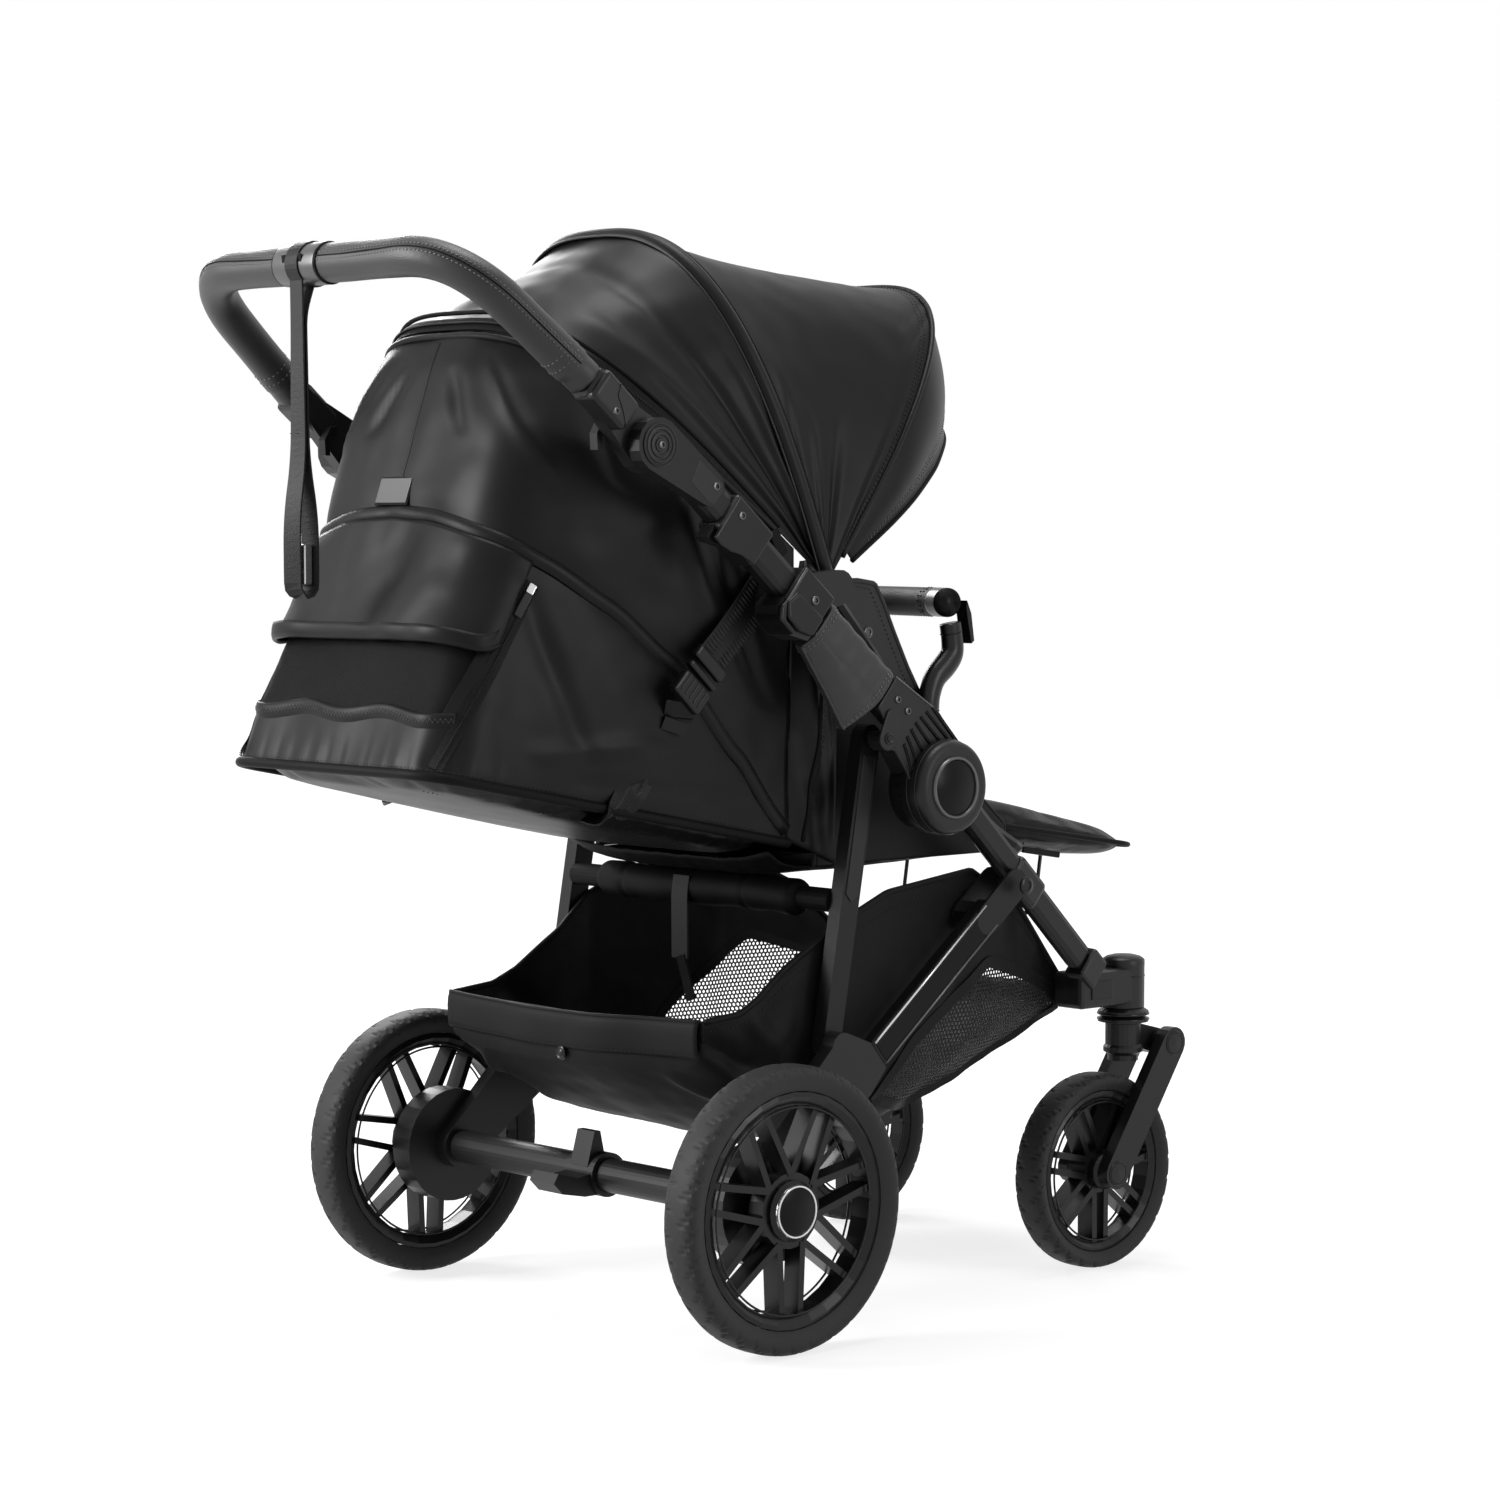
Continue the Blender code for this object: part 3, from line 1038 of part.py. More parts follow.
def add_pivots():
    front_axis = (WHEELBASE, FRONT_WHEEL_RADIUS)
    rear_axis = (0.0, REAR_WHEEL_RADIUS)
    add_pivot("chassis", None, (0, 0, 0))
    add_pivot("rear_frame", "chassis", (0, *BRACE_TOP))
    add_pivot("brake_pedal", "rear_frame", (PEDAL_X, *rear_axis))
    add_pivot("upper_frame", "chassis", (0, *HUB))
    add_pivot("rear_legs", "upper_frame", (0, *REAR_LEG_TOP))
    add_pivot("handle", "upper_frame", (0, *HANDLE_HINGE))
    strap = handle_point(STRAP_X, HANDLE_REACH)
    add_pivot("wrist_strap", "handle", strap)
    add_pivot("seat", "upper_frame", (0, *HOOD_PIVOT))
    add_pivot("backrest", "seat", (0, *RECLINE_AXIS))
    add_pivot("leg_rest", "seat", (0, *SEAT_FRONT_TUBE))
    add_pivot("hood", "seat", (0, *HOOD_PIVOT))
    add_pivot("bumper", "seat", (-BUMPER_JOINT[0], BUMPER_JOINT[1], BUMPER_JOINT[2]))
    for side_name, side in SIDES:
        x = side * FRONT_TRACK / 2
        add_pivot("rear_wheel_" + side_name, "rear_frame", (side * REAR_TRACK / 2, *rear_axis))
        add_pivot("caster_" + side_name, "chassis", (x, CASTER_AXIS_Y, CASTER_CYLINDER_FOOT))
        add_pivot("fork_" + side_name, "caster_" + side_name, (x, *ARM_PIVOT))
        add_pivot("front_wheel_" + side_name, "fork_" + side_name, (x, *front_axis))
        add_pivot("fold_release_" + side_name, "upper_frame", on_tube(RELEASE_START, side=side))
        lever = tilt_lever_axis()
        add_pivot("tilt_lever_" + side_name, "handle", (side * UPPER_TUBE_X, *lever))
        add_pivot("bumper_latch_" + side_name, "bumper", (side * BUMPER_JOINT[0], 0.3580, 0.740))


def build_pram():
    clear_scene()
    add_pivots()
    add_front_frame()
    add_casters()
    add_rear_frame()
    add_rear_legs()
    add_upper_frame()
    add_handle()
    add_seat()
    add_bumper()
    add_hood()
    add_basket()


build_pram()
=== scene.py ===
import bmesh
import bpy
import math
from mathutils import Matrix, Vector, noise


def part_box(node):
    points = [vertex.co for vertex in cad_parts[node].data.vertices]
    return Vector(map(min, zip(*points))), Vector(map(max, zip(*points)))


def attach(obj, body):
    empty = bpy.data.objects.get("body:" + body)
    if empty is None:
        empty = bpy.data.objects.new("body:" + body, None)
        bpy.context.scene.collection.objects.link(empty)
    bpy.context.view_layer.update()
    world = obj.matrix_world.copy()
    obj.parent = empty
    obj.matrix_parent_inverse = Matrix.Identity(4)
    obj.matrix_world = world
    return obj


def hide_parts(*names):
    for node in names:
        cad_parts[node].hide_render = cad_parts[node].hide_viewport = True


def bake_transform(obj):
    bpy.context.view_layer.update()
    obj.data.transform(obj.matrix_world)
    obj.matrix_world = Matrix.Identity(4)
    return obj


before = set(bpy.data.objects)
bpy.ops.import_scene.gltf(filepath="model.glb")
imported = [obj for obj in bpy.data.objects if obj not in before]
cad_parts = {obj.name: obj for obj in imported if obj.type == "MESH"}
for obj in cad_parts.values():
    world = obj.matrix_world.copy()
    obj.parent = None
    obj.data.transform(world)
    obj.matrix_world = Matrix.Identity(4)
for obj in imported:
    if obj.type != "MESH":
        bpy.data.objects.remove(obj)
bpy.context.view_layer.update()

# Camera, solved from the wheels and tubes in the photograph, for a square image
CAMERA_PLACE = (3.0390, -2.7108, 0.8283)
CAMERA_TILT = 86.554
CAMERA_TURN = 47.709
CAMERA_LENS = 91.12
SENSOR_WIDTH = 36.0

# Side-view places below are measured from the rear axle, as in the CAD source
wheel_low, wheel_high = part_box("rear_wheel_right_tyre")
AXLE_Y = (wheel_low.y + wheel_high.y) / 2
SIDES = (("left", -1), ("right", 1))


def at(x, y, z):
    return Vector((x, y + AXLE_Y, z))


# Folding frame
HUB = (0.253, 0.553)
HUB_FACE_X = 0.281
REAR_LEG_TOP = (0.186, 0.606)
REAR_LEG_FOOT = (0.130, 0.290)
BRACE_TOP = (0.384, 0.441)
BRACE_FOOT = (0.180, 0.277)
BRACE_OUTER_X = 0.2424
UPPER_TUBE_TOP = (-0.092, 0.880)
UPPER_TUBE_FOOT = (0.205, 0.626)
UPPER_TUBE_X = 0.245
UPPER_TUBE_FACE_X = 0.258
KNUCKLE_FACE_X = 0.2622

# Handle
HANDLE_HINGE = (-0.135, 0.902)
HANDLE_ANGLE = math.radians(139.6)
HANDLE_OFFSET = -0.002
HANDLE_REACH = 0.276
HANDLE_START = 0.098
HANDLE_HALF_WIDTH = 0.240
HANDLE_SHOULDER_X = 0.215
HANDLE_CORNER = 0.081
HANDLE_RADIUS = 0.0195
STRAP_X = -0.018
STRAP_FOOT = 0.752

# Hood bows about the hood pivot, as angle up from the driving direction, reach and squareness
HOOD_PIVOT = (0.145, 0.765)
HOOD_HALF_WIDTH = 0.203
HOOD_NEST = 0.0065
REAR_BOW = (143.0, 0.420, 3.2)
MAIN_BOW = (110.6, 0.3842, 2.77)
FRONT_BOW = (52.7, 0.4043, 2.98)
VISOR_RIM = (31.0, 0.3533, 2.2)

# Skirt foot, a U round the back of the seat
FOOT_HALF_WIDTH = 0.175
FOOT_FRONT = 0.113
FOOT_BACK = -0.343
FOOT_CORNER = 0.045
RECLINE_AXIS = (0.143, 0.492)
FOOT_RISE = 0.195

# Wheels
REAR_WHEEL = dict(radius=0.145, width=0.043, depth=0.026, rim=0.034, grooves=34)
FRONT_WHEEL = dict(radius=0.1084, width=0.040, depth=0.019, rim=0.030, grooves=28)
WHEELBASE = 0.5589

# Basket stations: along Y, rim height, floor height, half width
BASKET_STATIONS = (
    (-0.047, 0.322, 0.322, 0.184), (-0.045, 0.322, 0.268, 0.184), (-0.022, 0.324, 0.250, 0.185),
    (0.013, 0.327, 0.224, 0.187), (0.047, 0.340, 0.203, 0.189), (0.086, 0.364, 0.188, 0.191),
    (0.110, 0.378, 0.187, 0.192), (0.165, 0.415, 0.180, 0.2056), (0.230, 0.440, 0.178, 0.2030),
    (0.360, 0.455, 0.217, 0.1980), (0.450, 0.410, 0.245, 0.1820), (0.500, 0.362, 0.264, 0.1690),
    (0.540, 0.315, 0.283, 0.1660), (0.554, 0.312, 0.312, 0.1600),
)


# Materials

def node(tree, kind, **values):
    """A new shader node, with values for its settings and its unlinked inputs."""
    made = tree.nodes.new(kind)
    for name, value in values.items():
        if hasattr(made, name):
            setattr(made, name, value)
        else:
            made.inputs[name.replace("_", " ").title()].default_value = value
    return made


def surface(name, colour, rough, metallic=0.0, patch=0.15, patch_size=9.0, grain=0.0, grain_size=600.0,
            specular=0.22, rough_swing=0.08, alpha=1.0, rows=None):
    """A finish with mottled colour and roughness, and a fine grain, or rows of ribs, in its bump."""
    material = bpy.data.materials.new(name)
    material.use_nodes = True
    tree = material.node_tree
    shader = tree.nodes["Principled BSDF"]
    shader.inputs["Metallic"].default_value = metallic
    shader.inputs["Specular IOR Level"].default_value = specular
    shader.inputs["Alpha"].default_value = alpha
    place = node(tree, "ShaderNodeTexCoord")
    cloud = node(tree, "ShaderNodeTexNoise", scale=patch_size, detail=5.0)
    tree.links.new(place.outputs["Object"], cloud.inputs["Vector"])
    tint = node(tree, "ShaderNodeMix", data_type="RGBA")
    tint.inputs["A"].default_value = [c * (1 - patch) for c in colour] + [1.0]
    tint.inputs["B"].default_value = [c * (1 + patch) for c in colour] + [1.0]
    tree.links.new(cloud.outputs["Fac"], tint.inputs["Factor"])
    tree.links.new(tint.outputs["Result"], shader.inputs["Base Color"])
    spread = node(tree, "ShaderNodeMapRange", to_min=rough - rough_swing, to_max=rough + rough_swing)
    tree.links.new(cloud.outputs["Fac"], spread.inputs["Value"])
    tree.links.new(spread.outputs["Result"], shader.inputs["Roughness"])
    if grain:
        if rows is None:
            fine = node(tree, "ShaderNodeTexNoise", scale=grain_size, detail=3.0)
        else:
            fine = node(tree, "ShaderNodeTexWave", bands_direction=rows, scale=grain_size)
        tree.links.new(place.outputs["Object"], fine.inputs["Vector"])
        bump = node(tree, "ShaderNodeBump", strength=grain, distance=0.0006)
        tree.links.new(fine.outputs["Fac"], bump.inputs["Height"])
        tree.links.new(bump.outputs["Normal"], shader.inputs["Normal"])
    return material


def leather_surface(name, colour, rough):
    """Leather look: small raised cells between fine creases."""
    material = surface(name, colour, rough, patch=0.10, patch_size=14.0, specular=0.30)
    tree = material.node_tree
    place = node(tree, "ShaderNodeTexCoord")
    cells = node(tree, "ShaderNodeTexVoronoi", feature="DISTANCE_TO_EDGE", scale=420.0)
    tree.links.new(place.outputs["Object"], cells.inputs["Vector"])
    bump = node(tree, "ShaderNodeBump", strength=0.35, distance=0.0007)
    tree.links.new(cells.outputs["Distance"], bump.inputs["Height"])
    tree.links.new(bump.outputs["Normal"], tree.nodes["Principled BSDF"].inputs["Normal"])
    return material


SATIN = surface("satin_cloth", (0.0042, 0.0042, 0.0045), 0.44, patch=0.2, grain=0.14, grain_size=900,
                specular=0.15)
# Near-black lining cloth for piping, the sling and the cross tube's roll; also laid on the tyres' tread slits
# and the main bow band's front cord as painted shade.
LINING_AND_SHADE = surface("lining_cloth_and_shade", (0.0026, 0.0026, 0.0028), 0.60, patch=0.2, grain=0.2, grain_size=700,
                 specular=0.10)
CANVAS = surface("basket_cloth", (0.0060, 0.0060, 0.0063), 0.58, patch=0.2, grain=0.3, grain_size=650,
                 specular=0.12)
NET = surface("window_net", (0.0034, 0.0034, 0.0036), 0.60, patch=0.12, grain=0.5, grain_size=1300,
              specular=0.08, alpha=0.80)
MESH = surface("basket_mesh", (0.0190, 0.0190, 0.0195), 0.50, grain=0.2, grain_size=1500, specular=0.14)
BINDING = surface("binding_tape", (0.0045, 0.0045, 0.0048), 0.55, grain=0.5, grain_size=420, rows="X",
                  specular=0.12)
WEBBING = surface("ribbed_webbing", (0.0080, 0.0080, 0.0084), 0.48, grain=0.5, grain_size=700, specular=0.18)
PLASTIC = surface("moulded_plastic", (0.0110, 0.0110, 0.0114), 0.40, patch=0.10, grain=0.14,
                  grain_size=1200, specular=0.26)
SMOOTH = surface("smooth_plastic", (0.0075, 0.0075, 0.0079), 0.30, patch=0.08, rough_swing=0.04,
                 specular=0.24)
# Gloss black for the hub discs, the wheel caps, the leg rest's bar, the clamp's ring, the brace panels and
# part lines; also the painted shade in the slots of the bracket covers and the handle clamp.
GLOSS_BLACK_AND_SLOT_SHADE = surface("gloss_black_and_slot_shade", (0.0012, 0.0012, 0.0014), 0.26, patch=0.05, rough_swing=0.04, specular=0.12)
TUBE = surface("anodised_tube", (0.0130, 0.0130, 0.0134), 0.36, metallic=0.20, patch=0.06, grain=0.08,
               grain_size=1500)
# Bright metal for the zip sliders, the wrist strap's slider and the wheel caps' rings; also the painted
# highlight along the braces' top edges.
BRIGHT_AND_HIGHLIGHT = surface("bright_trim_and_highlight", (0.62, 0.62, 0.63), 0.20, metallic=0.85, patch=0.04, rough_swing=0.04)
GREY = surface("grey_clamp", (0.100, 0.100, 0.102), 0.34, metallic=0.3, patch=0.06)
# Satin grey for the hub rings, the adapters' lips and the window's zigzag stitches; also painted highlights
# along the braces' foot edges and the bracket covers' rising edges.
SATIN_EDGE_AND_HIGHLIGHT = surface("satin_edge_and_highlight", (0.12, 0.12, 0.122), 0.30, metallic=0.6, patch=0.05)
RUBBER = surface("tyre_rubber", (0.0260, 0.0260, 0.0265), 0.60, patch=0.18, grain=0.25, grain_size=500,
                 rough_swing=0.1, specular=0.25)
THREAD = surface("pale_thread", (0.24, 0.24, 0.24), 0.60, patch=0.15)
DARK_THREAD = surface("dark_thread", (0.0160, 0.0160, 0.0165), 0.60, patch=0.1)
STEEL = surface("dark_steel", (0.085, 0.085, 0.087), 0.26, metallic=0.8, patch=0.04, rough_swing=0.04)
# Grey cord for the ribs across the webbing; also the main bow band's rear cord, a painted highlight.
GREY_CORD_AND_HIGHLIGHT = surface("grey_cord_and_highlight", (0.030, 0.030, 0.031), 0.42, patch=0.1)
LEATHER = leather_surface("leather_look", (0.0130, 0.0130, 0.0134), 0.56)
GREY_LEATHER = leather_surface("grey_leather_look", (0.0420, 0.0420, 0.0430), 0.44)


# Mesh making

FLEXING = []


def place_piece(name, verts, faces, finish, body, flat=False):
    data = bpy.data.meshes.new(name)
    data.from_pydata([tuple(v) for v in verts], [], faces)
    data.update()
    data.materials.append(finish)
    if not flat:
        data.shade_smooth()
    item = bpy.data.objects.new(name, data)
    bpy.context.scene.collection.objects.link(item)
    if body == "skirt":
        FLEXING.append(item)
        return item
    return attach(item, body)


def bend_skirt():
    """Applies the modifiers of the skirt and its trim and bakes their placement into their meshes."""
    for item in FLEXING:
        apply_all(item)
        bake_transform(item)


def grid_faces(rows, columns, wrap=False):
    faces = []
    for i in range(rows - 1):
        for j in range(columns if wrap else columns - 1):
            k = (j + 1) % columns
            faces.append((i * columns + j, i * columns + k, (i + 1) * columns + k, (i + 1) * columns + j))
    return faces


def solidify(item, thick, offset=-1.0):
    shell = item.modifiers.new("shell", "SOLIDIFY")
    shell.thickness = thick
    shell.offset = offset
    shell.use_even_offset = False
    return item


def grid_normals(rows):
    count, wide = len(rows), len(rows[0])
    made = []
    for i in range(count):
        line = []
        for j in range(wide):
            down = rows[min(i + 1, count - 1)][j] - rows[max(i - 1, 0)][j]
            along = rows[i][min(j + 1, wide - 1)] - rows[i][max(j - 1, 0)]
            normal = along.cross(down)
            line.append(normal.normalized() if normal.length > 1e-12 else Vector((0, 0, 0)))
        made.append(line)
    return made


def out_from(rows, centre, height):
    """Moves each point of a sheet outwards, away from centre, by height(u, v, point)."""
    normals = grid_normals(rows)
    middle = rows[len(rows) // 2][len(rows[0]) // 2]
    sign = 1 if (middle - centre).dot(normals[len(rows) // 2][len(rows[0]) // 2]) > 0 else -1
    moved = []
    for i, row in enumerate(rows):
        v = i / (len(rows) - 1)
        moved.append([p + normals[i][j] * sign * height(j / (len(row) - 1), v, p) for j, p in enumerate(row)])
    return moved


def line_length(points):
    return sum((b - a).length for a, b in zip(points, points[1:]))


def cloth_sheet(name, rows, finish, body, thick=0.0014, offset=0.0):
    """A cloth sheet through rows of points."""
    verts = [p for row in rows for p in row]
    item = place_piece(name, verts, grid_faces(len(rows), len(rows[0])), finish, body)
    return solidify(item, thick, offset)


def side_vectors(points):
    """A frame at each point of a line that turns as little as it can."""
    made = []
    last = Vector((0, 0, 1))
    for i in range(len(points)):
        ahead = (points[min(i + 1, len(points) - 1)] - points[max(i - 1, 0)]).normalized()
        across = last - ahead * last.dot(ahead)
        if across.length < 1e-6:
            across = ahead.orthogonal()
        across.normalize()
        last = across
        made.append((across, ahead.cross(across)))
    return made


def rope(name, points, radius, finish, body, sides=10, flatten=1.0, radii=None):
    """A tube along a line of points, closed at its ends."""
    frames = side_vectors(points)
    verts = []
    for i, (p, (a, b)) in enumerate(zip(points, frames)):
        r = radii[i] if radii else radius
        for k in range(sides):
            turn = 2 * math.pi * k / sides
            verts.append(p + a * r * math.cos(turn) * flatten + b * r * math.sin(turn))
    faces = grid_faces(len(points), sides, wrap=True)
    faces.append(tuple(range(sides))[::-1])
    faces.append(tuple(range((len(points) - 1) * sides, len(points) * sides)))
    return place_piece(name, verts, faces, finish, body)


def ribbon(name, points, across, width, thick, finish, body):
    """A flat strap along a line of points; across is the direction of its width, or one for each point."""
    ways = across if isinstance(across, list) else [across] * len(points)
    verts = []
    for i, p in enumerate(points):
        ahead = (points[min(i + 1, len(points) - 1)] - points[max(i - 1, 0)]).normalized()
        way = (ways[i] - ahead * ways[i].dot(ahead)).normalized()
        up = ahead.cross(way)
        for s, t in ((-1, -1), (1, -1), (1, 1), (-1, 1)):
            verts.append(p + way * s * width / 2 + up * t * thick / 2)
    faces = grid_faces(len(points), 4, wrap=True)
    faces.append((3, 2, 1, 0))
    faces.append(tuple(range(4 * len(points) - 4, 4 * len(points))))
    item = place_piece(name, verts, faces, finish, body, flat=True)
    soften(item, min(thick, width) * 0.3, 2)
    return item


def soften(item, width, segments=2, angle=30):
    bevel = item.modifiers.new("edges", "BEVEL")
    bevel.width = width
    bevel.segments = segments
    bevel.limit_method = "ANGLE"
    bevel.angle_limit = math.radians(angle)
    return item


def even(points, count):
    """The same line with evenly spaced points."""
    lengths = [0.0]
    for a, b in zip(points, points[1:]):
        lengths.append(lengths[-1] + (b - a).length)
    made, k = [], 0
    for i in range(count):
        want = lengths[-1] * i / (count - 1)
        while k < len(points) - 2 and lengths[k + 1] < want:
            k += 1
        span = lengths[k + 1] - lengths[k]
        made.append(points[k].lerp(points[k + 1], min(1.0, (want - lengths[k]) / span if span else 0.0)))
    return made


def stitches(name, lines, body, finish=None, length=0.0034, gap=0.0020, radius=0.00050):
    """Rows of small stitches along lines of points."""
    verts, faces = [], []
    for line in lines:
        total = line_length(line)
        count = max(2, int(total / (length + gap)))
        marks = even(line, 2 * count)
        for i in range(count):
            a, b = marks[2 * i], marks[2 * i + 1]
            b = a + (b - a).normalized() * length
            ahead = (b - a).normalized()
            across = ahead.orthogonal().normalized()
            up = ahead.cross(across)
            start = len(verts)
            verts.append(a)
            for k in range(6):
                turn = math.pi * k / 3
                verts.append((a + b) / 2 + (across * math.cos(turn) + up * math.sin(turn)) * radius)
            verts.append(b)
            for k in range(6):
                n = (k + 1) % 6
                faces.append((start, start + 1 + n, start + 1 + k))
                faces.append((start + 7, start + 1 + k, start + 1 + n))
    place_piece(name, verts, faces, finish or DARK_THREAD, body)


def lathe(name, profile, centre, finish, body, axis="x", steps=48, side=1):
    """A turned piece: profile is (radius, distance along the axis) points."""
    verts = []
    for r, h in profile:
        for k in range(steps):
            turn = 2 * math.pi * k / steps
            if axis == "x":
                verts.append(centre + Vector((side * h, r * math.cos(turn), r * math.sin(turn))))
            else:
                verts.append(centre + Vector((r * math.cos(turn), r * math.sin(turn), h)))
    faces = grid_faces(len(profile), steps, wrap=True)
    faces.append(tuple(range(steps)))
    faces.append(tuple(range((len(profile) - 1) * steps, len(profile) * steps))[::-1])
    item = place_piece(name, verts, faces, finish, body)
    item.data.set_sharp_from_angle(angle=math.radians(40))
    tidy_normals(item)
    return item


def tidy_normals(item, merge=0.0):
    """Turns all faces outwards, after joining points that lie closer than merge."""
    shape = bmesh.new()
    shape.from_mesh(item.data)
    if merge:
        bmesh.ops.remove_doubles(shape, verts=shape.verts, dist=merge)
    bmesh.ops.recalc_face_normals(shape, faces=shape.faces)
    shape.to_mesh(item.data)
    shape.free()


def plate(name, outline, x, thick, finish, body, edge=0.0012, segments=2):
    """A flat piece in side view: outline is (y, z) points from the rear axle, x its middle."""
    verts = [at(x - thick / 2, y, z) for y, z in outline] + [at(x + thick / 2, y, z) for y, z in outline]
    count = len(outline)
    faces = [tuple(range(count)), tuple(range(count, 2 * count))[::-1]]
    faces += [(i, (i + 1) % count, count + (i + 1) % count, count + i) for i in range(count)]
    item = place_piece(name, verts, faces, finish, body, flat=True)
    tidy_normals(item)
    return soften(item, edge, segments, 35)


def box_piece(name, centre, size, turn, finish, body, edge=0.002):
    """A block with rounded edges, turned by a 3x3 matrix or about X by an angle."""
    matrix = turn if isinstance(turn, Matrix) else Matrix.Rotation(turn, 3, "X")
    verts = []
    for sx in (-1, 1):
        for sy in (-1, 1):
            for sz in (-1, 1):
                verts.append(centre + matrix @ Vector((sx * size[0] / 2, sy * size[1] / 2, sz * size[2] / 2)))
    faces = [(0, 1, 3, 2), (4, 6, 7, 5), (0, 4, 5, 1), (2, 3, 7, 6), (0, 2, 6, 4), (1, 5, 7, 3)]
    item = place_piece(name, verts, faces, finish, body, flat=True)
    tidy_normals(item)
    soften(item, edge, 3)


def screw(name, centre, side, radius, body):
    """A domed screw head with a round socket, its axis along X."""
    profile = [(radius * 1.0, -0.0010), (radius * 1.0, 0.0002), (radius * 0.86, 0.0012),
               (radius * 0.55, 0.0016), (radius * 0.50, 0.0016), (radius * 0.46, 0.0002), (0.0001, 0.0002)]
    lathe(name, profile, centre, STEEL, body, steps=24, side=side)


def arc(centre, radius, start, end, steps):
    made = []
    for i in range(steps + 1):
        turn = math.radians(start + (end - start) * i / steps)
        made.append((centre[0] + radius * math.cos(turn), centre[1] + radius * math.sin(turn)))
    return made


def capsule(a, b, ra, rb):
    """Outline round two circles."""
    heading = math.degrees(math.atan2(b[1] - a[1], b[0] - a[0]))
    return arc(a, ra, heading + 90, heading + 270, 10) + arc(b, rb, heading - 90, heading + 90, 10)


def full_turn(steps):
    """Angles once round, with the first again at the end."""
    return [2 * math.pi * k / steps for k in range(steps + 1)]


def side_view(points):
    """The points as pairs of y and z, with y from the rear axle, the way plate takes them."""
    return [(p.y - AXLE_Y, p.z) for p in points]


def moved_x(points, x):
    return [p + Vector((x, 0, 0)) for p in points]


def ripple(p, size, depth, seed=0.0):
    """Height of a soft unevenness that covers a whole sheet."""
    return depth * noise.noise(p / size + Vector((seed, seed * 1.7, seed * 0.6)))


def crease(u, v, start, end, width, depth):
    """Height of a fold along a line in a sheet's own (u, v), fading at both ends."""
    ax, ay = start
    bx, by = end[0] - ax, end[1] - ay
    along = ((u - ax) * bx + (v - ay) * by) / (bx * bx + by * by)
    if along < -0.2 or along > 1.2:
        return 0.0
    off = abs((u - ax) * by - (v - ay) * bx) / math.hypot(bx, by)
    fade = max(0.0, 1 - abs(2 * along - 1) ** 3 / 2.7)
    return depth * fade * math.exp(-(off / width) ** 2)


def on_tube(distance, x=UPPER_TUBE_X, side=1):
    start, end = at(0, *UPPER_TUBE_TOP), at(0, *UPPER_TUBE_FOOT)
    point = start + (end - start).normalized() * distance
    return Vector((side * x, point.y, point.z))


def smooth_line(corners, rounding, steps=6):
    """Corner points joined by straight stretches and rounded bends."""
    made = [corners[0]]
    for a, b, c in zip(corners, corners[1:], corners[2:]):
        reach = min(rounding, (b - a).length / 2.05, (c - b).length / 2.05)
        p, q = b + (a - b).normalized() * reach, b + (c - b).normalized() * reach
        for i in range(steps + 1):
            t = i / steps
            made.append(p * (1 - t) ** 2 + b * 2 * t * (1 - t) + q * t ** 2)
    made.append(corners[-1])
    return made


# Hood, skirt and their trim

def bow_line(bow, count, start=0.012, nest=0.0):
    """Evenly spaced points along a bow, from the right side over to the left."""
    angle, reach, square = bow
    reach -= nest
    first = math.asin((start / reach) ** (square / 2))
    turn = math.radians(angle)
    dense = []
    for i in range(400):
        t = first + (math.pi - 2 * first) * i / 399
        x = (HOOD_HALF_WIDTH - nest) * math.copysign(abs(math.cos(t)) ** (2 / square), math.cos(t))
        out = reach * abs(math.sin(t)) ** (2 / square)
        dense.append(at(x, HOOD_PIVOT[0] + out * math.cos(turn), HOOD_PIVOT[1] + out * math.sin(turn)))
    return even(dense, count)


def foot_line(count, half=FOOT_HALF_WIDTH, back=FOOT_BACK, drop=0.0):
    """Evenly spaced points round the skirt's foot, from the right front end to the left one."""
    dense = [(half, FOOT_FRONT)]
    dense += [(half - FOOT_CORNER + FOOT_CORNER * math.cos(t), back + FOOT_CORNER - FOOT_CORNER * math.sin(t))
              for t in [math.pi / 2 * k / 12 for k in range(13)]]
    dense += [(-x, y) for x, y in dense[::-1]]
    points = [at(x, y, RECLINE_AXIS[1] - FOOT_RISE * (y - RECLINE_AXIS[0]) - drop) for x, y in dense]
    return even(points, count)


HOOD_MIDDLE = at(0, 0.05, 0.80)
WIDE = 161
BODY_MIDDLE = at(0, -0.05, 0.70)
SKIRT_TOP = bow_line((143.5, REAR_BOW[1], REAR_BOW[2]), WIDE, 0.060)
SKIRT_FOOT = foot_line(WIDE)


def skirt_point(u, t):
    k = min(max(u, 0.0), 1.0) * (WIDE - 1)
    i = min(int(k), WIDE - 2)
    top = SKIRT_TOP[i].lerp(SKIRT_TOP[i + 1], k - i)
    foot = SKIRT_FOOT[i].lerp(SKIRT_FOOT[i + 1], k - i)
    return foot.lerp(top, t)


def skirt_out(u, t):
    """The outward direction of the skirt's surface."""
    d = 0.004
    along = skirt_point(u + d, t) - skirt_point(u - d, t)
    up = skirt_point(u, t + d) - skirt_point(u, t - d)
    normal = along.cross(up).normalized()
    return normal if normal.dot(skirt_point(u, t) - BODY_MIDDLE) > 0 else -normal


def from_table(table, u):
    """A value read off (u, value) points, the same on both sides of the middle."""
    u = min(u, 1 - u)
    for (a, p), (b, q) in zip(table, table[1:]):
        if u <= b:
            s = (u - a) / (b - a)
            s = s * s * (3 - 2 * s) * 0.35 + s * 0.65
            return p + (q - p) * s
    return table[-1][1]


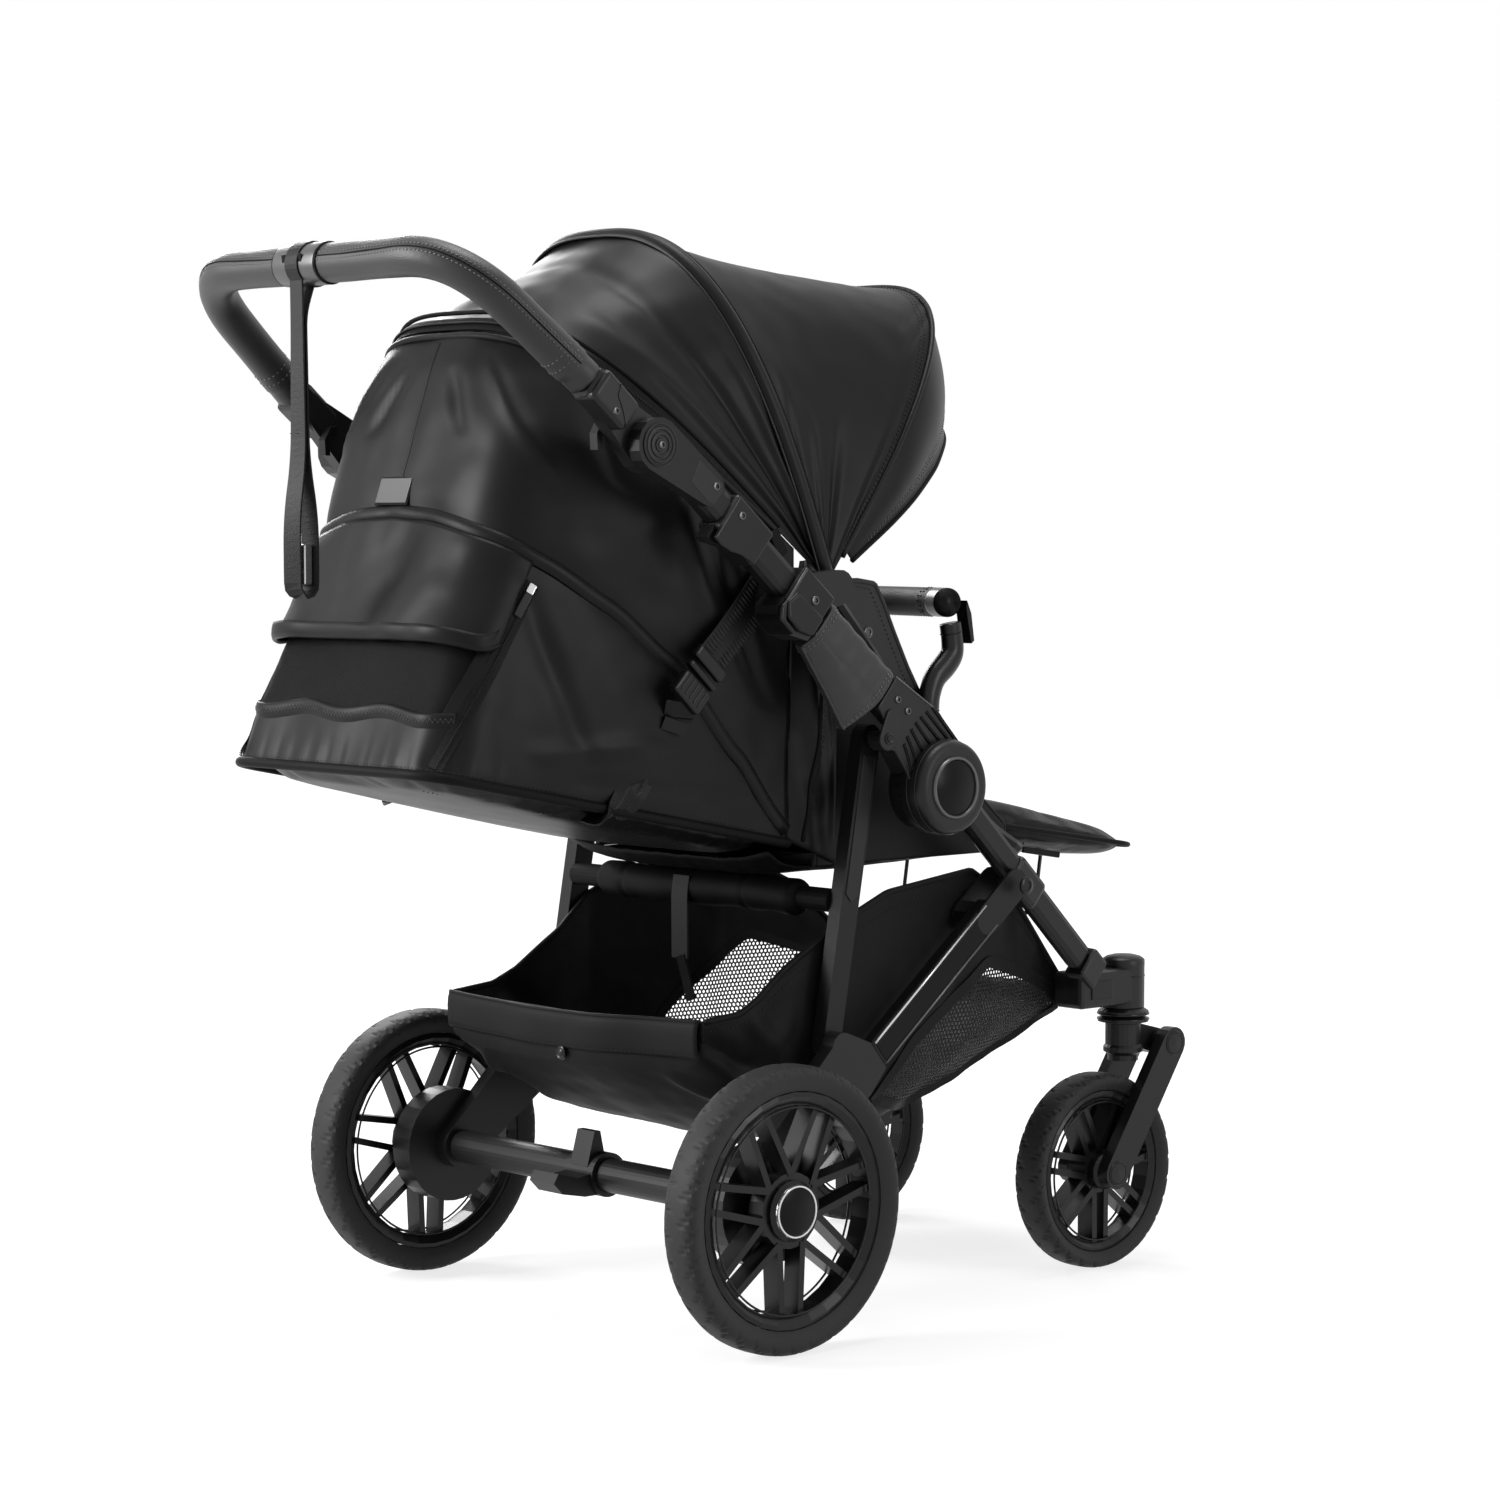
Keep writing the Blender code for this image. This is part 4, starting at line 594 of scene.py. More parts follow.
# The arched seam, from the lower front corner up over the back, as shares of the skirt's length and height
ARCH = ((0.0, 0.03), (0.06, 0.23), (0.148, 0.425), (0.232, 0.50), (0.312, 0.535), (0.382, 0.556),
        (0.45, 0.578), (0.5, 0.586))
FLAP_EDGE = 0.292
WINDOW_FOOT = 0.122
ZIP_TOP = (0.318, 0.50)
ZIP_FOOT = (0.372, 0.0)


def zip_u(t):
    s = (t - ZIP_FOOT[1]) / (ZIP_TOP[1] - ZIP_FOOT[1])
    return ZIP_FOOT[0] + (ZIP_TOP[0] - ZIP_FOOT[0]) * s


# Folds as start and end in the sheet's (u, v), width and depth
SKIRT_FOLDS = (
    ((0.41, 0.93), (0.34, 0.74), 0.012, 0.0050),
    ((0.46, 0.90), (0.43, 0.78), 0.010, -0.0040),
    ((0.30, 0.92), (0.26, 0.80), 0.016, -0.0045),
    ((0.20, 0.95), (0.10, 0.55), 0.022, 0.0060),
    ((0.14, 0.93), (0.05, 0.50), 0.014, -0.0055),
)
SKIRT_LOWER_FOLDS = (
    ((0.315, 0.42), (0.24, 0.14), 0.012, -0.0042),
    ((0.27, 0.10), (0.16, 0.20), 0.018, 0.0040),
    ((0.22, 0.05), (0.06, 0.12), 0.02, -0.0030),
)


def skirt_height(u, t):
    """Relief of the skirt's cloth: gathers at its foot, pulls at the arched seam and soft dents."""
    side = min(u, 1 - u)
    p = skirt_point(u, t)
    height = ripple(p, 0.085, 0.0045, 3.0) + ripple(p, 0.032, 0.0012, 9.0)
    foot = math.exp(-(t / 0.055) ** 2)
    if side > 0.30:
        height += foot * 0.0016 * math.sin(u * 330 + 2.0 * math.sin(u * 41))
    arch = from_table(ARCH, u)
    if t > arch:
        above = (t - arch) / (1 - arch)
        height += 0.010 * math.sin(math.pi * min(1.0, above)) * math.exp(-((side - 0.36) / 0.16) ** 2)
        for fold in SKIRT_FOLDS:
            height += crease(side, t, *fold)
    else:
        height += 0.009 * math.sin(math.pi * t / max(arch, 0.05)) * math.exp(-((side - 0.19) / 0.09) ** 2)
        for fold in SKIRT_LOWER_FOLDS:
            height += crease(side, t, *fold)
    pull = math.exp(-((t - arch) / 0.03) ** 2)
    height -= pull * 0.0020
    return height * min(1.0, t / 0.03 + 0.3)


def skirt_line(points, lift, count=60):
    """A line over the skirt through (u, t) points, lifted off it."""
    dense = []
    for (u, t), (w, s) in zip(points, points[1:]):
        for k in range(20):
            a, b = u + (w - u) * k / 20, t + (s - t) * k / 20
            dense.append(skirt_point(a, b) + skirt_out(a, b) * (skirt_height(a, b) + lift))
    a, b = points[-1]
    dense.append(skirt_point(a, b) + skirt_out(a, b) * (skirt_height(a, b) + lift))
    return even(dense, count)


def make_skirt():
    tall = 81
    shares = [j / (WIDE - 1) for j in range(WIDE)]
    rows = []
    for i in range(tall):
        t = i / (tall - 1)
        rows.append([skirt_point(u, t) + skirt_out(u, t) * skirt_height(u, t) for u in shares])
    item = cloth_sheet("skirt_cloth", rows, SATIN, "skirt", 0.0012)
    item.data.materials.append(NET)
    for face in item.data.polygons:
        i, j = divmod(face.index, WIDE - 1)
        t, u = (i + 0.5) / (tall - 1), (j + 0.5) / (WIDE - 1)
        edge = zip_u(t) + 0.012
        if window_foot(u) < t < FLAP_EDGE + 0.03 and edge < u < 1 - edge:
            face.material_index = 1
    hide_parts("rear_skirt")

    make_arch_band()
    make_flap()
    make_zips()
    make_rim()
    make_label()

    # Middle seam of the upper panel
    seam = skirt_line([(0.5, 0.62), (0.5, 0.98)], 0.0004)
    rope("skirt_middle_seam", seam, 0.0010, DARK_THREAD, "skirt", 6)
    lines = [moved_x(seam, w) for w in (-0.0038, 0.0038)]
    stitches("skirt_middle_stitches", lines, "skirt")
    make_window_edge()


def make_arch_band():
    """Arched casing, a half-round band with a line of stitches under it."""
    count = 121
    middle = [(u, from_table(ARCH, u)) for u in [0.004 + 0.992 * k / (count - 1) for k in range(count)]]
    profile = [(-0.0085, 0.0004), (-0.0070, 0.0028), (-0.0035, 0.0048), (0.0, 0.0054), (0.0035, 0.0048),
               (0.0070, 0.0028), (0.0085, 0.0004)]
    rows = []
    spine = [skirt_point(u, t) for u, t in middle]
    for k, (u, t) in enumerate(middle):
        out = skirt_out(u, t)
        ahead = (spine[min(k + 1, count - 1)] - spine[max(k - 1, 0)]).normalized()
        across = out.cross(ahead).normalized()
        pucker = 1 + 0.16 * noise.noise(Vector((u * 60, 0.3, 0)))
        base = spine[k] + out * skirt_height(u, t)
        rows.append([base + across * w + out * (h * pucker + 0.0008) for w, h in profile])
    cloth_sheet("skirt_arch_band", rows, SATIN, "skirt", 0.0008, 1.0)
    lines = [[row[0] + (row[0] - row[2]).normalized() * 0.0012 for row in rows],
             [row[-1] + (row[-1] - row[-3]).normalized() * 0.0012 for row in rows]]
    stitches("skirt_arch_stitches", lines, "skirt")


# Sections across a hem, as height along the cloth and lift off it
WINDOW_HEM = ((-0.0100, -0.0006), (-0.0060, 0.0012), (0.0, 0.0018), (0.0060, 0.0012), (0.0100, -0.0006))
FLAP_HEM = ((0.0130, 0.0012), (0.0080, 0.0026), (0.0010, 0.0032), (-0.0030, 0.0018), (-0.0034, -0.0010),
            (0.0020, -0.0030))
WINDOW_LEFT = 0.362
WINDOW_WIDTH = 0.276


def window_foot(u):
    """Height of the window's wavy lower edge, as a share of the skirt."""
    return WINDOW_FOOT + 0.008 * math.sin(u * 60)


def make_window_edge():
    """Hems that bind the net: along its foot, with a zigzag of stitches, and beside each zip."""
    places = [WINDOW_LEFT + WINDOW_WIDTH * k / 60 for k in range(61)]
    low = [(u, window_foot(u)) for u in places]
    middle = skirt_line(low, 0.0010, 121)
    out = skirt_out(0.5, WINDOW_FOOT)
    rows = [[p + Vector((0, 0, w)) + out * h for p in middle] for w, h in WINDOW_HEM]
    cloth_sheet("window_hem", rows, SATIN, "skirt", 0.0010)
    zigzag = [p + out * 0.0030 + Vector((0, 0, 0.0034 if k % 2 else -0.0006))
              for k, p in enumerate(even(middle, 131))]
    stitches("window_stitches", [[a, b] for a, b in zip(zigzag, zigzag[1:])], "skirt", SATIN_EDGE_AND_HIGHLIGHT, 0.0014, 0.0,
             0.00035)
    for name, side in SIDES:
        spots = []
        for k in range(61):
            t = WINDOW_FOOT + (FLAP_EDGE + 0.03 - WINDOW_FOOT) * k / 60
            u = zip_u(t) + 0.0120
            spots.append((u if side > 0 else 1 - u, t))
        line = skirt_line(spots, 0.0010, 80)
        ahead = (line[-1] - line[0]).normalized()
        ways = [skirt_out(*spots[round(k / 79 * 60)]).cross(ahead).normalized() for k in range(80)]
        ribbon("window_facing_" + name, line, ways, 0.0130, 0.0014, SATIN, "skirt")


def make_flap():
    """The loose flap over the window, with a rounded lower hem that stands off the skirt."""
    wide, tall = 90, 30
    left, right = ZIP_TOP[0] + 0.008, 1 - ZIP_TOP[0] - 0.008
    rows = []
    for i in range(tall):
        s = i / (tall - 1)
        row = []
        for j in range(wide):
            w = j / (wide - 1)
            foot_left, foot_right = zip_u(FLAP_EDGE) + 0.001, 1 - zip_u(FLAP_EDGE) - 0.001
            u = left + (right - left) * w
            u = u * s + (foot_left + (foot_right - foot_left) * w) * (1 - s)
            arch = from_table(ARCH, u) - 0.014
            corner = max(0.0, abs(2 * w - 1) - 0.86) / 0.14
            low = FLAP_EDGE + 0.030 * corner ** 2
            t = low + (arch - low) * s
            away = 0.0045 + 0.0105 * (1 - s) ** 2.2 * (1 - abs(2 * w - 1) ** 6)
            p = skirt_point(u, t)
            fold = ripple(p, 0.05, 0.0035, 5.0) * (1 - s * 0.6) + 0.0030 * math.sin(w * 9) * (1 - s)
            row.append(p + skirt_out(u, t) * (skirt_height(u, t) + away + fold))
        rows.append(row)
    item = cloth_sheet("skirt_flap", rows, SATIN, "skirt", 0.0016)
    out = skirt_out(0.5, 0.3)
    fold = [[p + out * h + Vector((0, 0, w)) for p in rows[0]] for w, h in FLAP_HEM]
    cloth_sheet("skirt_flap_hem", fold, SATIN, "skirt", 0.0012)
    stitches("skirt_flap_stitches", [[p + out * 0.0016 + Vector((0, 0, 0.0115)) for p in rows[0]]], "skirt")


def make_zips():
    """A zip down each side of the window: tapes, teeth and a plain pull."""
    for name, side in SIDES:
        steps = 80
        points = []
        for k in range(steps + 1):
            t = 0.015 + (ZIP_TOP[1] - 0.035) * k / steps
            u = zip_u(t)
            u = u if side > 0 else 1 - u
            points.append((u, t))
        line = skirt_line(points, 0.0016, 120)
        out = skirt_out(points[40][0], 0.3)
        ahead = (line[-1] - line[0]).normalized()
        across = out.cross(ahead).normalized()
        ways = [skirt_out(*points[round(k / 119 * steps)]).cross(ahead).normalized() for k in range(120)]
        ribbon("zip_tape_" + name, line, ways, 0.0150, 0.0010, BINDING, "skirt")
        stitches("zip_teeth_" + name, [[p + out * 0.0009 for p in line]], "skirt", PLASTIC, 0.0016, 0.0006,
                 0.0016)
        stitches("zip_stitches_" + name, [[p + way * w for p, way in zip(line, ways)]
                                          for w in (-0.0062, 0.0062)], "skirt")
        head = line[-5] + out * 0.0030
        turn = Matrix((across, out, ahead)).transposed()
        box_piece("zip_slider_" + name, head, (0.0080, 0.0040, 0.0110), turn, BRIGHT_AND_HIGHLIGHT, "skirt", 0.0014)
        pull = line[-10] + out * 0.0050
        box_piece("zip_pull_" + name, pull - ahead * 0.010, (0.0085, 0.0022, 0.0260), turn, PLASTIC,
                  "skirt", 0.0010)


def make_rim():
    """Thick piping round the foot of the skirt."""
    rim = foot_line(141, FOOT_HALF_WIDTH + 0.0015, FOOT_BACK - 0.0015, 0.0010)
    rope("skirt_rim_piping", rim, 0.0052, LINING_AND_SHADE, "skirt", 12)
    upper = [p + (p - BODY_MIDDLE).normalized() * 0.001 + Vector((0, 0, 0.0075)) for p in rim]
    stitches("skirt_rim_stitches", [upper], "skirt")


def make_label():
    """A bare plate sewn on the back of the hood."""
    u, t = 0.507, 0.632
    p, out = skirt_point(u, t), skirt_out(u, t)
    along = (skirt_point(u + 0.01, t) - skirt_point(u - 0.01, t)).normalized()
    up = along.cross(out).normalized()
    turn = Matrix((along, out, up)).transposed()
    base = p + out * (skirt_height(u, t) + 0.0012)
    box_piece("label_backing", base, (0.0540, 0.0022, 0.0300), turn, BINDING, "skirt", 0.0008)
    box_piece("label_plate", base + out * 0.0014, (0.0500, 0.0016, 0.0260), turn, GREY, "skirt", 0.0006)


# Folds as start and end in the sheet's (u, v), width and depth
HOOD_REAR_FOLDS = (
    ((0.03, 0.35), (0.34, 0.30), 0.07, 0.0060),
    ((0.04, 0.62), (0.30, 0.58), 0.05, -0.0050),
    ((0.05, 0.82), (0.26, 0.84), 0.05, 0.0035),
    ((0.30, 0.15), (0.50, 0.45), 0.06, 0.0040),
    ((0.36, 0.60), (0.52, 0.75), 0.05, -0.0035),
)


def hood_rear_height(u, v, p):
    side = min(u, 1 - u)
    height = ripple(p, 0.10, 0.0050, 1.0) + ripple(p, 0.03, 0.0010, 4.0)
    for fold in HOOD_REAR_FOLDS:
        height += crease(side, v, *fold)
    edge = min(1.0, v / 0.06, (1 - v) / 0.06)
    return (height - 0.004 * math.sin(math.pi * v)) * edge


# Folds as start and end in the sheet's (u, v), width and depth
HOOD_MAIN_FOLDS = (
    ((0.02, 0.10), (0.20, 0.16), 0.035, -0.0040),
    ((0.02, 0.28), (0.16, 0.34), 0.04, 0.0030),
    ((0.02, 0.55), (0.16, 0.52), 0.05, -0.0040),
    ((0.03, 0.85), (0.26, 0.93), 0.03, 0.0028),
    ((0.30, 0.90), (0.36, 0.99), 0.008, -0.0030),
    ((0.33, 0.88), (0.385, 0.99), 0.008, -0.0030),
)


def hood_main_height(u, v, p):
    side = min(u, 1 - u)
    height = ripple(p, 0.11, 0.0030, 2.0) + ripple(p, 0.03, 0.0008, 6.0)
    height -= 0.0085 * math.sin(math.pi * v) * (0.4 + 0.6 * min(1.0, side / 0.2))
    for fold in HOOD_MAIN_FOLDS:
        height += crease(side, v, *fold)
    edge = min(1.0, v / 0.04, (1 - v) / 0.03)
    return min(height * edge, 0.002)


def visor_height(u, v, p):
    side = min(u, 1 - u)
    height = 0.0065 * math.sin(math.pi * min(1.0, v / 0.9)) * min(1.0, side / 0.12)
    return (height + ripple(p, 0.07, 0.0022, 8.0)) * min(1.0, v / 0.05 + 0.2)


def between(first, last, count):
    return [[p.lerp(q, i / (count - 1)) for p, q in zip(first, last)] for i in range(count)]


def near_bow(bow, turn, reach=0.0):
    """A bow turned about the hood's pivot by some degrees, and longer by reach."""
    return bow[0] + turn, bow[1] + reach, bow[2]


def hood_panel(name, node_name, edges, count, height, body, thick):
    """A stretched panel between two bows, in place of a CAD node."""
    rows = out_from(between(*edges, count), HOOD_MIDDLE, height)
    item = cloth_sheet(name, rows, SATIN, body, thick)
    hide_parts(node_name)
    return rows


def make_hood():
    edges = bow_line(near_bow(REAR_BOW, -0.3), WIDE), bow_line(near_bow(MAIN_BOW, 0.3), WIDE)
    hood_panel("hood_rear_cloth", "hood_rear", edges, 50, hood_rear_height, "seat", 0.0012)

    nest = HOOD_NEST - 0.0035
    edges = [bow_line(bow, WIDE, 0.016, nest) for bow in (near_bow(MAIN_BOW, -0.3), FRONT_BOW)]
    rows = hood_panel("hood_main_cloth", "hood_main", edges, 60, hood_main_height, "hood", 0.0012)
    make_front_seam(rows)

    edges = [bow_line(bow, WIDE, 0.044, nest) for bow in (near_bow(FRONT_BOW, -0.2), VISOR_RIM)]
    rows = hood_panel("hood_visor_cloth", "hood_visor", edges, 34, visor_height, "hood", 0.0014)
    lifted = out_from(rows, HOOD_MIDDLE, lambda u, v, p: 0.0010)
    stitches("visor_edge_stitches", [lifted[-9][6:-6], lifted[-7][6:-6]], "hood", THREAD)
    rope("visor_edge_piping", rows[-1], 0.0028, LINING_AND_SHADE, "hood", 10)
    make_bow_band()
    make_rear_bow_trim()


def make_front_seam(rows):
    """The sewn-in front bow: a low rounded casing with stitches beside it."""
    lifted = out_from(rows, HOOD_MIDDLE, lambda u, v, p: 0.0012)
    rope("front_bow_casing", lifted[-1][3:-3], 0.0030, SATIN, "hood", 10)
    stitches("front_bow_stitches", [lifted[-3][4:-4], lifted[-4][4:-4]], "hood", DARK_THREAD)


def make_bow_band():
    """Padded band over the main bow, with a pale cord along its rear edge as painted highlight and a
    near-black cord along its front edge as painted shade of a groove.
    """
    count = 181
    spine = bow_line(MAIN_BOW, count, 0.010)
    turn = math.radians(MAIN_BOW[0])
    forward = Vector((0, math.sin(turn), -math.cos(turn)))
    profile = [(-0.0085, 0.0005), (-0.0070, 0.0034), (-0.0035, 0.0056), (0.0, 0.0063), (0.0035, 0.0056),
               (0.0070, 0.0034), (0.0085, 0.0005)]
    rows, low, high = [], [], []
    for k, p in enumerate(spine):
        ahead = (spine[min(k + 1, count - 1)] - spine[max(k - 1, 0)]).normalized()
        out = forward.cross(ahead).normalized()
        if out.dot(p - HOOD_MIDDLE) < 0:
            out = -out
        swell = 1 + 0.05 * noise.noise(Vector((k * 0.11, 0, 0)))
        rows.append([p + forward * w * swell + out * (h * swell - 0.0006) for w, h in profile])
        low.append(p - forward * 0.0098 + out * 0.0018)
        high.append(p + forward * 0.0100 + out * 0.0004)
    cloth_sheet("main_bow_band", rows, SATIN, "seat", 0.0008, 1.0)
    # Painted highlight: the pale grey rear cord stands for the light line along the band's rear edge.
    rope("main_bow_rear_highlight_cord", low, 0.0014, GREY_CORD_AND_HIGHLIGHT, "seat", 8)
    # Painted shade: the near-black front cord stands for the dark groove along the band's front edge.
    rope("main_bow_front_groove_shade", high, 0.0017, LINING_AND_SHADE, "seat", 8)
    stitches("main_bow_stitches", [[p + (q - p) * 0.25 for p, q in zip(high, low)]], "seat", DARK_THREAD,
             0.0020, 0.0012, 0.0006)


def make_rear_bow_trim():
    """Zip, its covering lip and the piping where the skirt meets the rear bow."""
    count = 161
    for label, shift, lift, radius, finish in (
            ("rear_bow_piping", 0.9, 0.0016, 0.0036, SATIN), ("rear_bow_lip", -3.2, 0.0022, 0.0024, LINING_AND_SHADE)):
        line = bow_line(near_bow(REAR_BOW, shift, lift), count, 0.090)
        rope(label, line, radius, finish, "seat", 10)
    tape = bow_line(near_bow(REAR_BOW, -1.1, 0.0022), count, 0.100)
    turn = math.radians(REAR_BOW[0])
    ribbon("rear_bow_zip_tape", tape, Vector((0, math.sin(turn), -math.cos(turn))), 0.0150, 0.0010, BINDING,
           "seat")
    outer = bow_line(near_bow(REAR_BOW, -1.1, 0.0040), count, 0.100)
    stitches("rear_bow_zip_teeth", [outer], "seat", PLASTIC, 0.0017, 0.0007, 0.0016)
    for name, side in SIDES:
        line = bow_line(near_bow(REAR_BOW, 0.4, 0.002), count, 0.090)
        end = line[0 if side > 0 else -1]
        box_piece("rear_bow_tab_" + name, end + Vector((side * 0.002, 0, -0.012)), (0.003, 0.014, 0.030),
                  0.5, LINING_AND_SHADE, "seat", 0.0012)


# Seat, backrest and leg rest

# The most that a point of a pad moves when it is blown up
PAD_SWELL = 0.006


def pad_from(name, cad_node, body, shrink):
    """A stuffed pad: the CAD solid is remeshed, shrunk, blown up as cloth and smoothed."""
    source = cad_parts[cad_node]
    item = bpy.data.objects.new(name, source.data.copy())
    bpy.context.scene.collection.objects.link(item)
    item.data.materials.clear()
    remesh = item.modifiers.new("remesh", "REMESH")
    remesh.mode = "VOXEL"
    remesh.voxel_size = 0.006
    apply_all(item)
    normals = [v.normal.copy() for v in item.data.vertices]
    for vert, normal in zip(item.data.vertices, normals):
        vert.co = vert.co - normal * shrink
    blow_up(item, PAD_SWELL)
    rounding = item.modifiers.new("rounding", "SUBSURF")
    rounding.levels = 1
    rounding.render_levels = 1
    apply_all(item)
    item.data.materials.append(SATIN)
    item.data.shade_smooth()
    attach(item, body)
    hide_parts(cad_node)


def apply_all(item):
    graph = bpy.context.evaluated_depsgraph_get()
    made = bpy.data.meshes.new_from_object(item.evaluated_get(graph))
    item.modifiers.clear()
    item.data = made


def blow_up(item, cap):
    """Cloth with inner pressure; no point moves more than cap."""
    rest = [v.co.copy() for v in item.data.vertices]
    cloth = item.modifiers.new("cloth", "CLOTH")
    cloth.settings.use_pressure = True
    cloth.settings.uniform_pressure_force = 4.0
    cloth.settings.effector_weights.gravity = 0.0
    cloth.settings.quality = 4
    cloth.point_cache.frame_start = 1
    cloth.point_cache.frame_end = 20
    for step in range(1, 21):
        bpy.context.scene.frame_set(step)
    graph = bpy.context.evaluated_depsgraph_get()
    moved = [v.co.copy() for v in item.evaluated_get(graph).data.vertices]
    item.modifiers.clear()
    for vert, start, end in zip(item.data.vertices, rest, moved):
        way = end - start
        vert.co = start + (way if way.length <= cap else way * (cap / way.length))
    bpy.context.scene.frame_set(1)


SIDE_CLOTH_BACK = ((0.1120, 0.4990), (0.1085, 0.5600), (0.1050, 0.6250), (0.1010, 0.6900), (0.0990, 0.7400),
                   (0.1060, 0.7880))
SIDE_CLOTH_FRONT = ((0.1750, 0.4720), (0.1750, 0.5500), (0.1780, 0.6200), (0.1860, 0.6900),
                    (0.1880, 0.7420), (0.1500, 0.7900))


def make_seat():
    """Seat pan with side walls, harness, backrest tub and leg rest."""
    wall = [(0.150, 0.470), (0.433, 0.470), (0.4335, 0.499), (0.4035, 0.524), (0.375, 0.551), (0.338, 0.592),
            (0.305, 0.631), (0.279, 0.672), (0.258, 0.711), (0.243, 0.741), (0.231, 0.7605), (0.2155, 0.764),
            (0.200, 0.759), (0.178, 0.729), (0.160, 0.699), (0.151, 0.630), (0.150, 0.560)]
    for name, side in SIDES:
        panel = plate("seat_wall_" + name, wall, side * 0.1745, 0.0078, SATIN, "seat", 0.0030, 3)
        if side > 0:
            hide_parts("seat_base")
        front = even([at(side * 0.1745, y, z) for y, z in wall[1:13]], 60)
        rope("seat_wall_piping_" + name, front, 0.0036, LINING_AND_SHADE, "seat", 10)
        make_side_cloth(name, side)
        make_wing(name, side)
    pan = pad_piece("seat_pad", (0, 0.290, 0.495), (0.336, 0.272, 0.044), 0.0, SATIN, "seat", 0.80)
    for k, y in enumerate((0.225, 0.300, 0.370)):
        places = [-0.13 + 0.26 * i / 24 for i in range(25)]
        groove = [at(x, y + 0.004 * math.cos(x * 20), 0.5185) for x in places]
        stitches("seat_pad_channel_%d" % k, [groove], "seat", DARK_THREAD)
    for name, side in SIDES:
        strap = even(smooth_line([at(side * 0.150, 0.175, 0.522), at(side * 0.10, 0.220, 0.530),
                                  at(side * 0.030, 0.292, 0.533)], 0.03), 24)
        ribbon("lap_strap_" + name, strap, Vector((0, 0.8, 0.6)), 0.024, 0.0018, WEBBING, "seat")
    make_sling()
    crotch = even([at(0, 0.385, 0.523), at(0, 0.345, 0.530), at(0, 0.312, 0.531)], 12)
    ribbon("crotch_strap", crotch, Vector((1, 0, 0)), 0.030, 0.0018, WEBBING, "seat")

    pad_from("backrest_tub", "backrest", "backrest", 0.0030)
    seam = [at(0.163 * math.sin(w), y, tub_foot(y) + 0.016 * (1 - math.cos(w)) * 0.4)
            for y, w in [(-0.305 + 0.39 * i / 40, 0.9 - 0.2 * math.cos(i / 6)) for i in range(41)]]
    stitches("backrest_seam", [seam], "backrest", DARK_THREAD)

    pad_from("leg_rest_pad", "leg_rest", "leg_rest", 0.0026)
    make_leg_rest_trim()


SLING = ((0.094, 0.4770), (0.112, 0.4640), (0.132, 0.4585), (0.150, 0.4575), (0.175, 0.4580), (0.240, 0.4585),
         (0.320, 0.4600), (0.390, 0.4625), (0.425, 0.4690))


def make_sling():
    """Cloth that hangs under the seat, from the backrest's foot over the cross tube to the front."""
    profile = even([at(0, y, z) for y, z in SLING], 40)
    rows = []
    for p in profile:
        row = []
        for j in range(41):
            w = 2 * j / 40 - 1
            rise = 0.0120 * abs(w) ** 5
            row.append(p + Vector((0.166 * w, 0, rise + ripple(p + Vector((w, 0, 0)), 0.06, 0.0014, 31.0))))
        rows.append(row)
    item = cloth_sheet("seat_sling", rows[::-1], LINING_AND_SHADE, "seat", 0.0014)


# Folds as start and end in the sheet's (u, v), width and depth
SIDE_CLOTH_FOLDS = (
    ((0.10, 0.95), (0.45, 0.30), 0.10, 0.0050),
    ((0.35, 0.90), (0.85, 0.42), 0.09, -0.0050),
    ((0.55, 0.75), (0.95, 0.20), 0.10, 0.0045),
    ((0.05, 0.45), (0.70, 0.05), 0.10, -0.0040),
)


def side_cloth_point(v, w, side):
    """A point of the side cloth: v runs from the seat wall's foot up, w from the skirt's edge forward."""
    back = from_line(SIDE_CLOTH_BACK, v)
    front = from_line(SIDE_CLOTH_FRONT, v)
    y, z = back[0] + (front[0] - back[0]) * w, back[1] + (front[1] - back[1]) * w
    edge = skirt_edge_x(z)
    x = edge + (0.1800 - edge) * w
    puff = 0.0120 * math.sin(math.pi * min(1.0, w * 1.15)) * math.sin(math.pi * min(1.0, 0.12 + v))
    p = at(x, y, z)
    for fold in SIDE_CLOTH_FOLDS:
        puff += crease(w, v, *fold)
    puff += ripple(p, 0.035, 0.0030, 21.0) * min(1.0, 4 * w, 4 * (1 - w))
    return at(side * (x + puff), y, z)


def from_line(table, v):
    """A (y, z) point read off a line of points, by its share."""
    k = min(max(v, 0.0), 1.0) * (len(table) - 1)
    i = min(int(k), len(table) - 2)
    return [a + (b - a) * (k - i) for a, b in zip(table[i], table[i + 1])]


def skirt_edge_x(z):
    top, foot = SKIRT_TOP[0], SKIRT_FOOT[0]
    share = min(1.0, max(0.0, (z - foot.z) / (top.z - foot.z)))
    return foot.x + (top.x - foot.x) * share - 0.0010


def make_side_cloth(name, side):
    """Loose cloth between the skirt's front edge and the seat wall, with its piped seam."""
    rows = [[side_cloth_point(i / 48, j / 26, side) for j in range(27)] for i in range(49)]
    item = cloth_sheet("side_cloth_" + name, rows, SATIN, "seat", 0.0012)
    line = [side_cloth_point(0.02 + 0.94 * k / 40, 0.30 + 0.16 * math.sin(math.pi * k / 40), side)
            for k in range(41)]
    rope("side_cloth_piping_" + name, moved_x(line, side * 0.0012), 0.0022, LINING_AND_SHADE, "seat", 8)
    row = [p + Vector((side * 0.0008, 0.0060, 0)) for p in line]
    stitches("side_cloth_stitches_" + name, [row], "seat", DARK_THREAD)


